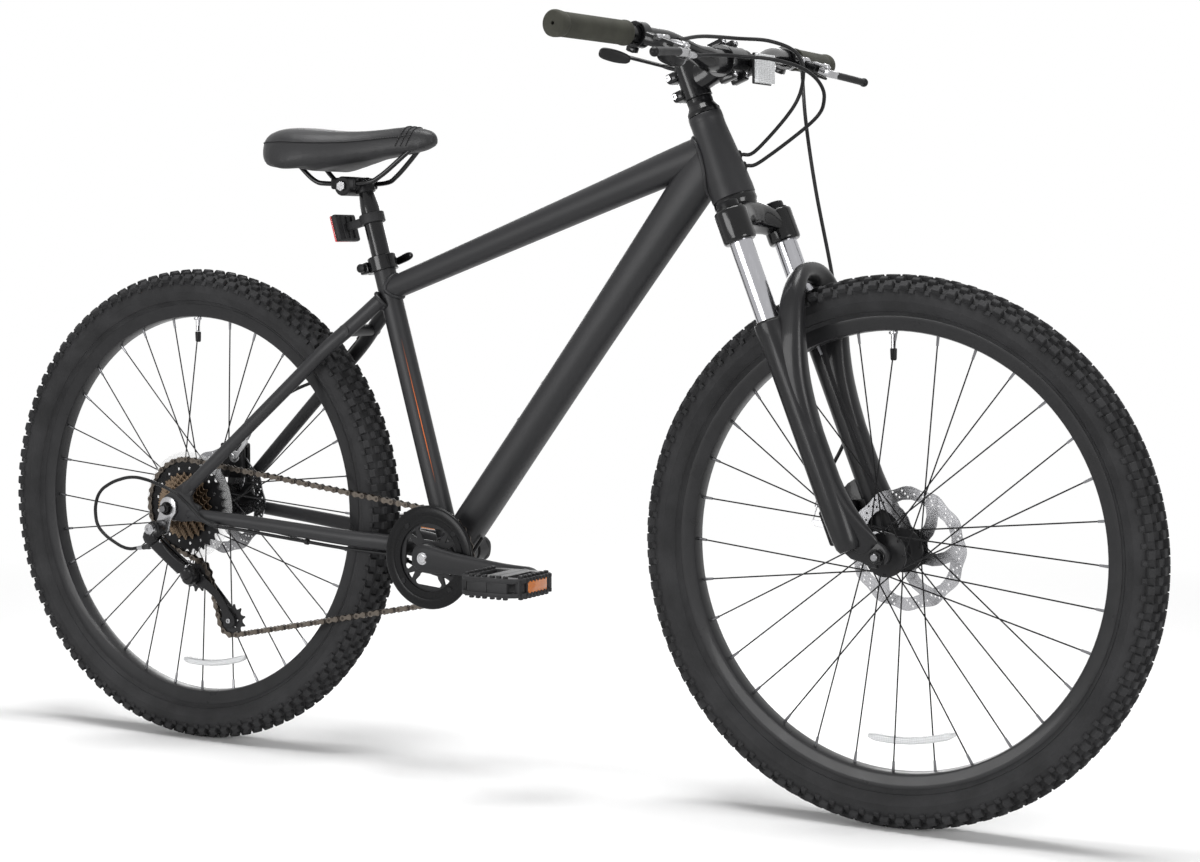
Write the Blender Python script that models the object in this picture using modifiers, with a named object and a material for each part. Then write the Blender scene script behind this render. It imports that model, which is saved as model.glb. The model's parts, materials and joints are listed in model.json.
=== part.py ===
"""Hardtail mountain bike: tubed frame, suspension fork, disc brakes and a seven-speed drivetrain.

Metres. X points forward, Y to the rider's left, Z up. The origin is on the ground, midway between
the axles in the middle plane. The drive side is -Y.
"""
import bpy
import bmesh
from math import atan2, ceil, cos, pi, radians, sin, sqrt
from mathutils import Matrix, Vector

# Stance and frame
WHEELBASE = 1.117
TYRE_RADIUS = 0.350
BB_DROP = 0.045
TYRE_TO_BB = 0.100
SEAT_ANGLE = 74.0
SEAT_TUBE_LENGTH = 0.428
HEAD_ANGLE = 68.2
HEAD_TUBE_LENGTH = 0.1163
HEAD_TUBE_TOP_RADIUS = 0.0225
HEAD_TUBE_FOOT_RADIUS = 0.0290
SEAT_TUBE_RADIUS = 0.0159
BB_SHELL_RADIUS = 0.0205
BB_SHELL_HALF = 0.0365
JOINT_GAP = 0.0003
LOW_BOSS = 0.2200
BOSS_SPACING = 0.0640
DROPOUT_THICKNESS = 0.007
REAR_HUB_HALF = 0.0675

# Fork and steering
FORK_RAKE = 0.047
CROWN_OFFSET = 0.0187
STANCHION_SPREAD = 0.0655
STANCHION_RADIUS = 0.0150
LEG_RADIUS = 0.0190
LEG_BELOW_TYRE = 0.0252
STANCHION_SHOWN = 0.1063
CROWN_HEIGHT = 0.0686
FRONT_HUB_HALF = 0.050
FORK_TIP_THICKNESS = 0.008
STEERER_RADIUS = 0.0143
STEM_REACH = 0.0565
STEM_HEIGHT = 0.0510
BAR_HALF_WIDTH = 0.376
BAR_RISE = 0.0216
BAR_SWEEP = 0.0360
BAR_RADIUS = 0.0111
BAR_CLAMP_RADIUS = 0.0159
GRIP_LENGTH = 0.140
LEVER_DROP_ANGLE = 20.0

# Wheels
TYRE_HALF_WIDTH = 0.0300
TYRE_HEIGHT = 0.0520
RIM_DEPTH = 0.0190
RIM_HALF_WIDTH = 0.0150
WHEEL_SIDES = 28
SPOKES_PER_FLANGE = 16
SPOKE_RADIUS = 0.0010
ROTOR_RADIUS = 0.0800
ROTOR_THICKNESS = 0.0018
FRONT_ROTOR_LEFT = 0.0395
REAR_ROTOR_LEFT = 0.0515
AXLE_RADIUS = 0.0048

# Drivetrain
CHAIN_PITCH = 0.0127
CHAIN_HALF_HEIGHT = 0.0042
CHAINRING_TEETH = 32
SPROCKET_TEETH = (34, 24, 22, 20, 18, 16, 14)
SPROCKET_PITCH = 0.0048
PULLEY_TEETH = 11
CHAINRING_RIGHT = 0.0500
SPROCKET_RIGHT = 0.0335
GUARD_RADIUS = 0.0720
CRANK_LENGTH = 0.170
CRANK_ANGLE = -5.0
SPINDLE_RADIUS = 0.0085
PEDAL_HALF_LENGTH = 0.046
PEDAL_WIDTH = 0.096
CAGE_LENGTH = 0.089
CAGE_ANGLE = -38.0
LINK_LENGTH = 0.054

# Seat
POST_RADIUS = 0.0136
POST_SHOWN = 0.1170
POST_INSERT = 0.2130
RAIL_RADIUS = 0.0035
RAIL_RISE = 0.0141

SIDE = Matrix.Rotation(radians(90), 4, 'X')
REAR = Vector((-WHEELBASE / 2, 0, TYRE_RADIUS))
FRONT = Vector((WHEELBASE / 2, 0, TYRE_RADIUS))
CHAINSTAY_LENGTH = TYRE_RADIUS + TYRE_TO_BB
BB = REAR + Vector((sqrt(CHAINSTAY_LENGTH ** 2 - BB_DROP ** 2), 0, -BB_DROP))


def axes_at(origin, ahead, up):
    """A matrix with its origin at a point, X ahead, Y left and Z up."""
    left = up.cross(ahead)
    rows = Matrix((ahead, left, up)).transposed().to_4x4()
    return Matrix.Translation(origin) @ rows


def leaning(angle):
    """Ahead and up directions of a tube that leans back at an angle from the ground."""
    lean = radians(angle)
    return Vector((sin(lean), 0, cos(lean))), Vector((-cos(lean), 0, sin(lean)))


HEAD_AHEAD, HEAD_UP = leaning(HEAD_ANGLE)
SEAT_AHEAD, SEAT_UP = leaning(SEAT_ANGLE)
STEER = axes_at(FRONT - FORK_RAKE * HEAD_AHEAD, HEAD_AHEAD, HEAD_UP)
SEAT = axes_at(BB, SEAT_AHEAD, SEAT_UP)
REAR_SIDE = Matrix.Translation(REAR) @ SIDE
FRONT_SIDE = Matrix.Translation(FRONT) @ SIDE
BB_SIDE = Matrix.Translation(BB) @ SIDE
LEG_TOP = TYRE_RADIUS - LEG_BELOW_TYRE
CROWN_FOOT = LEG_TOP + STANCHION_SHOWN
HEAD_TUBE_BASE = CROWN_FOOT + CROWN_HEIGHT
HEAD_TUBE_TOP = HEAD_TUBE_BASE + HEAD_TUBE_LENGTH
RIM_FLANGE_RADIUS = TYRE_RADIUS - TYRE_HEIGHT
RIM_BED_RADIUS = RIM_FLANGE_RADIUS - RIM_DEPTH
POST_TOP = SEAT_TUBE_LENGTH + POST_SHOWN
RAIL_HEIGHT = (SEAT @ Vector((0, 0, POST_TOP))).z + RAIL_RISE

for leftover in list(bpy.data.objects):
    bpy.data.objects.remove(leftover, do_unlink=True)

finishes = {}


def finish(name, colour, roughness, metallic):
    """Keeps a named surface finish for the nodes to copy."""
    finishes[name] = (colour, roughness, metallic)


finish("frame_paint", (0.018, 0.018, 0.020), 0.45, 0.0)
finish("black_metal", (0.012, 0.012, 0.013), 0.35, 0.6)
finish("bare_metal", (0.55, 0.55, 0.56), 0.30, 1.0)
finish("chrome", (0.80, 0.80, 0.82), 0.08, 1.0)
finish("bronze_steel", (0.22, 0.15, 0.10), 0.40, 1.0)
finish("rubber", (0.012, 0.012, 0.012), 0.85, 0.0)
finish("black_plastic", (0.014, 0.014, 0.015), 0.50, 0.0)
finish("saddle_cover", (0.013, 0.013, 0.014), 0.55, 0.0)
finish("red_lens", (0.45, 0.01, 0.01), 0.25, 0.0)
finish("clear_lens", (0.75, 0.75, 0.75), 0.20, 0.0)


def shape(mesh):
    """Links a mesh to the scene as a loose piece."""
    piece = bpy.data.objects.new("piece", mesh)
    bpy.context.scene.collection.objects.link(piece)
    return piece


def bake(piece, at=Matrix()):
    """Turns a piece with its modifiers into a plain mesh, moved by a matrix."""
    graph = bpy.context.evaluated_depsgraph_get()
    mesh = bpy.data.meshes.new_from_object(piece.evaluated_get(graph))
    bpy.data.objects.remove(piece)
    work = bmesh.new()
    work.from_mesh(mesh)
    bmesh.ops.remove_doubles(work, verts=work.verts, dist=2e-6)
    bmesh.ops.transform(work, matrix=at, verts=work.verts)
    bmesh.ops.recalc_face_normals(work, faces=work.faces)
    work.to_mesh(mesh)
    work.free()
    return shape(mesh)


def turned(profile, sides, at=Matrix()):
    """A turned piece around Z from (radius, height) points, top to bottom down its outer side."""
    count = len(profile)
    edges = [(index, index + 1) for index in range(count - 1)]
    if profile[0][0] > 0 and profile[-1][0] > 0:
        edges.append((count - 1, 0))
    mesh = bpy.data.meshes.new("profile")
    mesh.from_pydata([(radius, 0, height) for radius, height in profile], edges, [])
    piece = shape(mesh)
    screw = piece.modifiers.new("turn", 'SCREW')
    screw.steps = sides
    screw.render_steps = sides
    screw.use_merge_vertices = True
    screw.merge_threshold = 0.00001
    return bake(piece, at)


def drum(radius, low, high, sides, at=Matrix()):
    """A plain cylinder around Z between two heights."""
    return turned([(0, high), (radius, high), (radius, low), (0, low)], sides, at)


def plate(outlines, thickness, at=Matrix()):
    """A flat plate drawn in XY, with inner outlines as holes, centred on its thickness."""
    curve = bpy.data.curves.new("outline", 'CURVE')
    curve.dimensions = '2D'
    curve.fill_mode = 'BOTH'
    curve.extrude = thickness / 2
    for outline in outlines:
        spline = curve.splines.new('POLY')
        spline.points.add(len(outline) - 1)
        spline.use_cyclic_u = True
        for point, (across, along) in zip(spline.points, outline):
            point.co = (across, along, 0, 1)
    return bake(shape_of(curve), at)


def shape_of(data):
    """Links curve data to the scene as a loose piece."""
    piece = bpy.data.objects.new("piece", data)
    bpy.context.scene.collection.objects.link(piece)
    return piece


def rod(points, radius, resolution=2, radii=None, at=Matrix()):
    """A round bar along points, with its own radius at each point if radii are given."""
    curve = bpy.data.curves.new("path", 'CURVE')
    curve.dimensions = '3D'
    curve.bevel_depth = radius
    curve.bevel_resolution = resolution
    curve.use_fill_caps = True
    spline = curve.splines.new('POLY')
    spline.points.add(len(points) - 1)
    for index, place in enumerate(points):
        spline.points[index].co = (*place, 1)
        if radii:
            spline.points[index].radius = radii[index] / radius
    return bake(shape_of(curve), at)


def smooth_path(knots, count):
    """Evenly counted points on a smooth curve through the knots."""
    spots = [Vector(knot) for knot in knots]
    spots = [2 * spots[0] - spots[1]] + spots + [2 * spots[-1] - spots[-2]]
    spans = len(spots) - 3
    path = []
    for step in range(count):
        place = min(step / (count - 1) * spans, spans - 1e-9)
        span = int(place)
        part = place - span
        a, b, c, d = spots[span:span + 4]
        path.append(0.5 * (2 * b + (c - a) * part + (2 * a - 5 * b + 4 * c - d) * part ** 2
                           + (3 * b - a - 3 * c + d) * part ** 3))
    return path


def loft(rings, at=Matrix()):
    """A skin over closed rings with equal point counts, capped at both ends."""
    work = bmesh.new()
    loops = [[work.verts.new(point) for point in ring] for ring in rings]
    count = len(loops[0])
    for first, second in zip(loops, loops[1:]):
        for index in range(count):
            after = (index + 1) % count
            work.faces.new((first[index], first[after], second[after], second[index]))
    work.faces.new(loops[0])
    work.faces.new(loops[-1])
    mesh = bpy.data.meshes.new("loft")
    work.to_mesh(mesh)
    work.free()
    return bake(shape(mesh), at)


def tube(stations, sides, grow=0.0, at=Matrix()):
    """A shaped tube: each station is a centre, a half width across Y and a half depth in plane."""
    centres = [Vector(station[0]) for station in stations]
    rings = []
    for index, (centre, half_width, half_depth) in enumerate(stations):
        before = centres[max(index - 1, 0)]
        after = centres[min(index + 1, len(centres) - 1)]
        along = (after - before).normalized()
        depth = along.cross(Vector((0, 1, 0))).normalized()
        width = depth.cross(along)
        ring = []
        for step in range(sides):
            turn = 2 * pi * (step + 0.5) / sides
            ring.append(Vector(centre) + (half_width + grow) * cos(turn) * width
                        + (half_depth + grow) * sin(turn) * depth)
        rings.append(ring)
    return loft(rings, at)


def block(low, high, at=Matrix()):
    """A box between two corners."""
    work = bmesh.new()
    bmesh.ops.create_cube(work, size=1)
    size = Vector(high) - Vector(low)
    middle = (Vector(high) + Vector(low)) / 2
    bmesh.ops.scale(work, vec=size, verts=work.verts)
    bmesh.ops.translate(work, vec=middle, verts=work.verts)
    mesh = bpy.data.meshes.new("block")
    work.to_mesh(mesh)
    work.free()
    return bake(shape(mesh), at)


def circle(radius, count, x=0.0, y=0.0, start=0.0):
    """Points of a circle drawn in XY."""
    spots = []
    for step in range(count):
        turn = start + 2 * pi * step / count
        spots.append((x + radius * cos(turn), y + radius * sin(turn)))
    return spots


def place(name, at):
    """An empty on a joint's axis for a moving group's pieces."""
    home = bpy.data.objects.new(name, None)
    home.matrix_world = at
    bpy.context.scene.collection.objects.link(home)
    return home


def node(name, look, home, pieces, cuts=()):
    """Joins loose pieces, cuts others away, and names the result as one part of the bike."""
    body = pieces[0]
    for operation, others in (('UNION', pieces[1:]), ('DIFFERENCE', cuts)):
        for other in others:
            step = body.modifiers.new("join", 'BOOLEAN')
            step.operation = operation
            step.solver = 'EXACT'
            step.object = other
    if body.modifiers:
        body = bake(body)
        for other in (*pieces[1:], *cuts):
            bpy.data.objects.remove(other)
        work = bmesh.new()
        work.from_mesh(body.data)
        bmesh.ops.dissolve_limit(work, angle_limit=radians(0.4), verts=work.verts, edges=work.edges)
        work.to_mesh(body.data)
        work.free()
    body.name = name
    body.data.name = name
    material = bpy.data.materials.new(name)
    material.use_nodes = True
    colour, roughness, metallic = finishes[look]
    surface = material.node_tree.nodes["Principled BSDF"]
    surface.inputs["Base Color"].default_value = (*colour, 1)
    surface.inputs["Roughness"].default_value = roughness
    surface.inputs["Metallic"].default_value = metallic
    body.data.materials.clear()
    body.data.materials.append(material)
    body.data.shade_smooth()
    body.data.set_sharp_from_angle(angle=radians(50))
    body.parent = home
    return body


frame_home = place("frame", Matrix())
steer_home = place("steering_axis", STEER)
lowers_home = place("fork_travel_axis", STEER)
front_home = place("front_wheel_axis", FRONT_SIDE)
rear_home = place("rear_wheel_axis", REAR_SIDE)
crank_home = place("crank_axis", BB_SIDE)
post_home = place("seatpost_axis", SEAT)


# Frame tubes. The seat tube carries the bottom bracket shell, and each tube stops a hair short of
# the tube that it is welded to.
def seat_tube_outside(grow=0.0, foot=0.0):
    return drum(SEAT_TUBE_RADIUS + grow, foot, SEAT_TUBE_LENGTH + grow, 14, SEAT)


def shell_outside(grow=0.0):
    half = BB_SHELL_HALF + grow
    return drum(BB_SHELL_RADIUS + grow, -half, half, 16, BB_SIDE)


def fused(first, *others):
    """One plain piece from several that overlap."""
    for other in others:
        step = first.modifiers.new("join", 'BOOLEAN')
        step.operation = 'UNION'
        step.solver = 'EXACT'
        step.object = other
    whole = bake(first)
    for other in others:
        bpy.data.objects.remove(other)
    return whole


def frame_core():
    """Seat tube and shell with a hair of room, to cut the tubes that meet them."""
    return fused(seat_tube_outside(JOINT_GAP), shell_outside(JOINT_GAP))


def head_tube_outside(grow=0.0):
    top = HEAD_TUBE_TOP_RADIUS + grow
    foot = HEAD_TUBE_FOOT_RADIUS + grow
    middle = (HEAD_TUBE_BASE + HEAD_TUBE_TOP) / 2
    return [(top, HEAD_TUBE_TOP), (top, HEAD_TUBE_TOP - 0.014), ((top + foot) / 2, middle),
            (foot, HEAD_TUBE_BASE + 0.016), (foot, HEAD_TUBE_BASE)]


bore = POST_RADIUS + 0.0004
node("seat_tube", "frame_paint", frame_home, [seat_tube_outside(), shell_outside()],
     [drum(bore, SEAT_TUBE_LENGTH - POST_INSERT - 0.1150, SEAT_TUBE_LENGTH + 0.01, 14, SEAT),
      drum(SPINDLE_RADIUS + 0.0005, -0.05, 0.05, 12, BB_SIDE)])

head_rows = head_tube_outside()
head_bore = STEERER_RADIUS + 0.0035
node("head_tube", "frame_paint", frame_home,
     [turned(head_rows + [(head_bore, HEAD_TUBE_BASE), (head_bore, HEAD_TUBE_TOP)], 16, STEER)])


def head_cutter():
    rows = head_tube_outside(JOINT_GAP)
    return turned([(0, HEAD_TUBE_TOP + 0.03), (rows[0][0], HEAD_TUBE_TOP + 0.03)] + rows[1:-1]
                  + [(rows[-1][0], HEAD_TUBE_BASE - 0.03), (0, HEAD_TUBE_BASE - 0.03)], 16, STEER)


head_join = STEER @ Vector((0, 0, HEAD_TUBE_BASE + 0.58 * HEAD_TUBE_LENGTH))
down_line = head_join - BB
across_down = Vector((-down_line.z, 0, down_line.x)).normalized()


def down_tube_body(grow=0.0):
    stations = [(BB + 0.006 * down_line, 0.0270, 0.0240), (BB + 0.12 * down_line, 0.0265, 0.0245),
                (BB + 0.34 * down_line, 0.0250, 0.0245), (BB + 0.58 * down_line, 0.0245, 0.0255),
                (BB + 0.85 * down_line, 0.0235, 0.0290), (BB + 1.00 * down_line, 0.0215, 0.0320)]
    return tube(stations, 14, grow)


def boss(spacings):
    """Seat of a bottle screw on the tube's upper face, whole spacings above the lower one."""
    spot = BB + down_line.normalized() * (LOW_BOSS + spacings * BOSS_SPACING) + across_down * 0.0245
    return axes_at(spot, down_line.normalized(), across_down)


boss_heads = [drum(0.0055, -0.004, 0.0025, 8, boss(spacings)) for spacings in (0, 1)]
port = axes_at(BB + 0.055 * down_line - across_down * 0.0245, down_line.normalized(), across_down)
node("down_tube", "frame_paint", frame_home, [down_tube_body()] + boss_heads,
     [frame_core(), head_cutter(),
      block((-0.004, -0.012, -0.01), (0.020, 0.012, 0.010), port)])

top_foot = SEAT @ Vector((0, 0, SEAT_TUBE_LENGTH - 0.0460))
top_line = head_join + STEER.to_3x3() @ Vector((0, 0, 0.004)) - top_foot
node("top_tube", "frame_paint", frame_home,
     [tube([(top_foot, 0.0165, 0.0165), (top_foot + 0.10 * top_line, 0.0168, 0.0168),
            (top_foot + 0.64 * top_line, 0.0195, 0.0205), (top_foot + 0.87 * top_line, 0.0205, 0.0228),
            (top_foot + 1.00 * top_line, 0.0200, 0.0230)], 12)],
     [head_cutter(), seat_tube_outside(JOINT_GAP, -0.031), down_tube_body(JOINT_GAP)])

# Stays. Each chainstay ends in its dropout plate, and the seatstays butt on the plates' upper tabs.
stay_top = SEAT @ Vector((-0.006, 0, SEAT_TUBE_LENGTH - 0.0580))
stay_line = Vector((stay_top.x, 0, stay_top.z)) - REAR
stay_unit = stay_line.normalized()
tab_reach = 0.052
plate_left = REAR_HUB_HALF + DROPOUT_THICKNESS / 2


def dropout(extra):
    """Dropout outline around the axle: chainstay tab, axle slot, seatstay tab."""
    along = Vector((stay_unit.x, stay_unit.z))
    across = Vector((-along.y, along.x))
    tab_a = tab_reach * along + 0.0105 * across
    tab_b = tab_reach * along - 0.0105 * across
    slot = AXLE_RADIUS + 0.0008
    return [(0.056, 0.006), (0.056, -0.015), (0.022, -0.019), (slot, -0.017), (slot, 0.0),
            (slot * 0.5, slot * 0.87), (-slot * 0.5, slot * 0.87), (-slot, 0.0), (-slot, -0.016),
            (-0.012, -0.013), (-0.016, 0.004), (-0.008, 0.018), *extra, tuple(tab_a), tuple(tab_b),
            (0.038, 0.012)]


def chainstay(side):
    """Stations of one chainstay, from the shell out past the tyre to its dropout."""
    run = REAR - BB
    stations = []
    for share, left, half_width, half_depth, drop in (
            (0.03, 0.0280, 0.0090, 0.0125, 0.000), (0.12, 0.0315, 0.0085, 0.0122, 0.004),
            (0.22, 0.0385, 0.0080, 0.0118, 0.004), (0.34, 0.0465, 0.0080, 0.0112, 0.002),
            (0.65, 0.0590, 0.0080, 0.0100, 0.000), (0.905, 0.0705, 0.0075, 0.0092, -0.003)):
        spot = BB + share * run
        stations.append(((spot.x, side * left, spot.z + drop), half_width, half_depth))
    return stations


node("chainstay_right", "frame_paint", frame_home,
     [tube(chainstay(-1), 8),
      plate([dropout([])], DROPOUT_THICKNESS, REAR_SIDE @ Matrix.Translation((0, 0, plate_left)))],
     [frame_core()])
brake_tab = [(0.004, 0.060), (0.022, 0.072)]
node("chainstay_left", "frame_paint", frame_home,
     [tube(chainstay(1), 8),
      plate([dropout(brake_tab)], DROPOUT_THICKNESS, REAR_SIDE @ Matrix.Translation((0, 0, -plate_left)))],
     [frame_core()])


def seatstay(side):
    """Stations of one seatstay, from the seat tube's flank to the dropout's tab."""
    foot = REAR + (tab_reach + JOINT_GAP) * stay_unit
    top = Vector((stay_top.x, 0, stay_top.z))
    stations = []
    for share, left, half_width, half_depth in (
            (0.00, 0.0165, 0.0085, 0.0110), (0.12, 0.0270, 0.0085, 0.0108),
            (0.25, 0.0420, 0.0082, 0.0105), (0.40, 0.0480, 0.0080, 0.0100),
            (0.75, 0.0610, 0.0075, 0.0095), (1.03, 0.0712, 0.0070, 0.0092)):
        spot = top + share * (foot - top)
        stations.append(((spot.x, side * left, spot.z), half_width, half_depth))
    return stations


bridge = REAR + 0.393 * stay_unit
node("seatstays", "frame_paint", frame_home,
     [tube(seatstay(-1), 8), tube(seatstay(1), 8),
      rod([bridge + Vector((0, left, 0)) for left in (-0.030, 0.030)], 0.0085)],
     [seat_tube_outside(JOINT_GAP, -0.031),
      block((-0.1, -0.1, -0.02), (0.1, 0.1, tab_reach + JOINT_GAP),
            axes_at(REAR, Vector((stay_unit.z, 0, -stay_unit.x)), stay_unit))])

hanger_right = REAR_HUB_HALF + DROPOUT_THICKNESS + JOINT_GAP + 0.0024
hanger_bolt = Vector((-0.0102, -0.0285))
node("derailleur_hanger", "bare_metal", frame_home,
     [plate([[(0.015, 0.010), (0.016, -0.006), (0.006, -0.018), (0.001, -0.034), (-0.006, -0.0395),
              (-0.015, -0.0395), (-0.0215, -0.033), (-0.021, -0.022), (-0.015, -0.008), (-0.012, 0.010),
              (-0.002, 0.017), (0.008, 0.016)],
             circle(AXLE_RADIUS + 0.0006, 8), circle(0.0046, 8, hanger_bolt.x, hanger_bolt.y)],
            0.0048, REAR_SIDE @ Matrix.Translation((0, 0, hanger_right)))])

# Wheels. One tyre, rim and spoke pattern serves both ends, the hubs differ.
channel = RIM_FLANGE_RADIUS - 0.0075
rim_profile = [(RIM_FLANGE_RADIUS, RIM_HALF_WIDTH), (RIM_BED_RADIUS, RIM_HALF_WIDTH - 0.0030),
               (RIM_BED_RADIUS, 0.0030 - RIM_HALF_WIDTH), (RIM_FLANGE_RADIUS, -RIM_HALF_WIDTH),
               (channel, 0.0038 - RIM_HALF_WIDTH), (channel, RIM_HALF_WIDTH - 0.0038)]
half_side = Matrix.Rotation(pi / WHEEL_SIDES, 4, 'Z')


def tyre():
    """A knobbly tyre: casing rings around Z with blocks drawn out of the tread faces."""
    bead = RIM_FLANGE_RADIUS - 0.0072
    wide = TYRE_HALF_WIDTH
    height = TYRE_RADIUS - RIM_FLANGE_RADIUS
    crown = TYRE_RADIUS - 0.0040
    half = [(bead, RIM_HALF_WIDTH - 0.0043), (RIM_FLANGE_RADIUS + 0.0004, RIM_HALF_WIDTH - 0.0002),
            (RIM_FLANGE_RADIUS + 0.21 * height, 0.88 * wide), (RIM_FLANGE_RADIUS + 0.48 * height, wide),
            (RIM_FLANGE_RADIUS + 0.75 * height, 0.87 * wide), (crown, 0.49 * wide)]
    profile = half + [(crown, 0.0)] + [(radius, -out) for radius, out in reversed(half)]
    count = len(profile)
    work = bmesh.new()
    rings = []
    for step in range(WHEEL_SIDES):
        turn = 2 * pi * (step + 0.5) / WHEEL_SIDES
        rings.append([work.verts.new((radius * cos(turn), radius * sin(turn), out))
                      for radius, out in profile])
    blocks = []
    for step in range(WHEEL_SIDES):
        ring, after = rings[step], rings[(step + 1) % WHEEL_SIDES]
        for row in range(count):
            up = (row + 1) % count
            face = work.faces.new((ring[row], after[row], after[up], ring[up]))
            left_row, right_row = len(half), len(half) - 1
            if row in (len(half) - 2, len(half) + 1):
                blocks.append(face)
            if row == (right_row if step % 2 else left_row):
                blocks.append(face)
    bmesh.ops.recalc_face_normals(work, faces=work.faces)
    work.normal_update()
    for face in blocks:
        normal = face.normal.copy()
        middle = face.calc_center_median()
        radial = Vector((middle.x, middle.y, 0)).length
        flat = crown * cos(pi / WHEEL_SIDES)
        rise = TYRE_RADIUS - flat if radial > flat - 0.001 else 0.0045
        drawn = bmesh.ops.extrude_discrete_faces(work, faces=[face])["faces"][0]
        for vert in drawn.verts:
            vert.co = middle + 0.74 * (vert.co - middle) + rise * normal
    mesh = bpy.data.meshes.new("tyre")
    work.to_mesh(mesh)
    work.free()
    return bake(shape(mesh))


def bars(ends, radius):
    """Three-sided straight bars between pairs of points, as one loose set."""
    work = bmesh.new()
    for first, second in ends:
        first, second = Vector(first), Vector(second)
        along = second - first
        turn = along.to_track_quat('Z', 'X').to_matrix().to_4x4()
        at = Matrix.Translation((first + second) / 2) @ turn
        bmesh.ops.create_cone(work, cap_ends=True, segments=3, radius1=radius, radius2=radius,
                              depth=along.length, matrix=at)
    mesh = bpy.data.meshes.new("bars")
    work.to_mesh(mesh)
    work.free()
    return bake(shape(mesh))


def spokes(right_flange, left_flange, hole_radius):
    """Three-cross spokes: the leading and the trailing set pass each other on opposite sides."""
    leading, trailing = [], []
    step = 2 * pi / SPOKES_PER_FLANGE
    tip = RIM_BED_RADIUS * cos(pi / WHEEL_SIDES) - 0.0005
    for flange, out, offset in ((right_flange, 0.0030, 0.0), (left_flange, -0.0030, step / 2)):
        for index in range(SPOKES_PER_FLANGE):
            hole = index * step + offset
            lead = index % 2 == 0
            end = hole + (3 * step if lead else -3 * step)
            shift = 0.0012 if lead else -0.0012
            pair = ((hole_radius * cos(hole), hole_radius * sin(hole), flange + shift),
                    (tip * cos(end), tip * sin(end), out + shift))
            (leading if lead else trailing).append(pair)
    return [bars(leading, SPOKE_RADIUS), bars(trailing, SPOKE_RADIUS)]


def rotor_outlines():
    """A wavy brake disc with six swirled windows and its hub hole."""
    outer = []
    for step in range(24):
        turn = 2 * pi * step / 24
        radius = ROTOR_RADIUS - 0.0016 + 0.0016 * cos(12 * turn)
        outer.append((radius * cos(turn), radius * sin(turn)))
    outlines = [outer, circle(0.0120, 10)]
    for arm in range(6):
        start = 2 * pi * arm / 6
        window = [(0.0640, 0.10), (0.0655, 0.46), (0.0640, 0.82), (0.0270, 0.34), (0.0270, -0.16)]
        outlines.append([(radius * cos(start + turn), radius * sin(start + turn)) for radius, turn in window])
    return outlines


for wheel, home in (("front", front_home), ("rear", rear_home)):
    node(wheel + "_tyre", "rubber", home, [tyre()])
    node(wheel + "_rim", "black_metal", home, [turned(rim_profile, WHEEL_SIDES, half_side)])

hub_bore = AXLE_RADIUS + 0.0007
front_face = FRONT_ROTOR_LEFT - ROTOR_THICKNESS / 2 - JOINT_GAP
node("front_hub", "black_metal", front_home,
     [turned([(0.0105, FRONT_HUB_HALF - 0.004), (0.0110, 0.0350), (0.0285, 0.0340), (0.0285, 0.0300),
              (0.0135, 0.0275), (0.0135, -0.0175), (0.0285, -0.0200), (0.0285, -0.0240),
              (0.0200, -0.0260), (0.0200, -front_face), (hub_bore, -front_face),
              (hub_bore, FRONT_HUB_HALF - 0.004)], 10)] + spokes(0.0320, -0.0220, 0.0255))
rear_face = REAR_ROTOR_LEFT - ROTOR_THICKNESS / 2 - JOINT_GAP
node("rear_hub", "black_metal", rear_home,
     [turned([(0.0150, 0.0625), (0.0150, 0.0225), (0.0290, 0.0205), (0.0290, 0.0165), (0.0150, 0.0140),
              (0.0150, -0.0280), (0.0290, -0.0305), (0.0290, -0.0345), (0.0200, -0.0365),
              (0.0200, -rear_face), (hub_bore, -rear_face), (hub_bore, 0.0625)], 10)]
     + spokes(0.0185, -0.0325, 0.0260))
node("front_rotor", "bare_metal", front_home,
     [plate(rotor_outlines(), ROTOR_THICKNESS, Matrix.Translation((0, 0, -FRONT_ROTOR_LEFT)))])
node("rear_rotor", "bare_metal", rear_home,
     [plate(rotor_outlines(), ROTOR_THICKNESS, Matrix.Translation((0, 0, -REAR_ROTOR_LEFT)))])


def axle(right_out, left_out):
    """A solid axle with hexagon nuts outside the dropouts."""
    nut = 0.0085
    return [(0, right_out + 0.011), (AXLE_RADIUS, right_out + 0.011), (AXLE_RADIUS, right_out + 0.0065),
            (nut, right_out + 0.0065), (nut, right_out), (AXLE_RADIUS, right_out), (AXLE_RADIUS, -left_out),
            (nut, -left_out), (nut, -left_out - 0.0065), (AXLE_RADIUS, -left_out - 0.0065),
            (AXLE_RADIUS, -left_out - 0.011), (0, -left_out - 0.011)]


tip_out = FRONT_HUB_HALF + FORK_TIP_THICKNESS + JOINT_GAP
node("front_axle", "bare_metal", lowers_home,
     [turned(axle(tip_out, tip_out), 6, Matrix.Translation((FORK_RAKE, 0, 0)) @ SIDE)])
node("rear_axle", "bare_metal", frame_home,
     [turned(axle(hanger_right + 0.0024 + JOINT_GAP, REAR_HUB_HALF + DROPOUT_THICKNESS + JOINT_GAP), 6,
             REAR_SIDE)])

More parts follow.
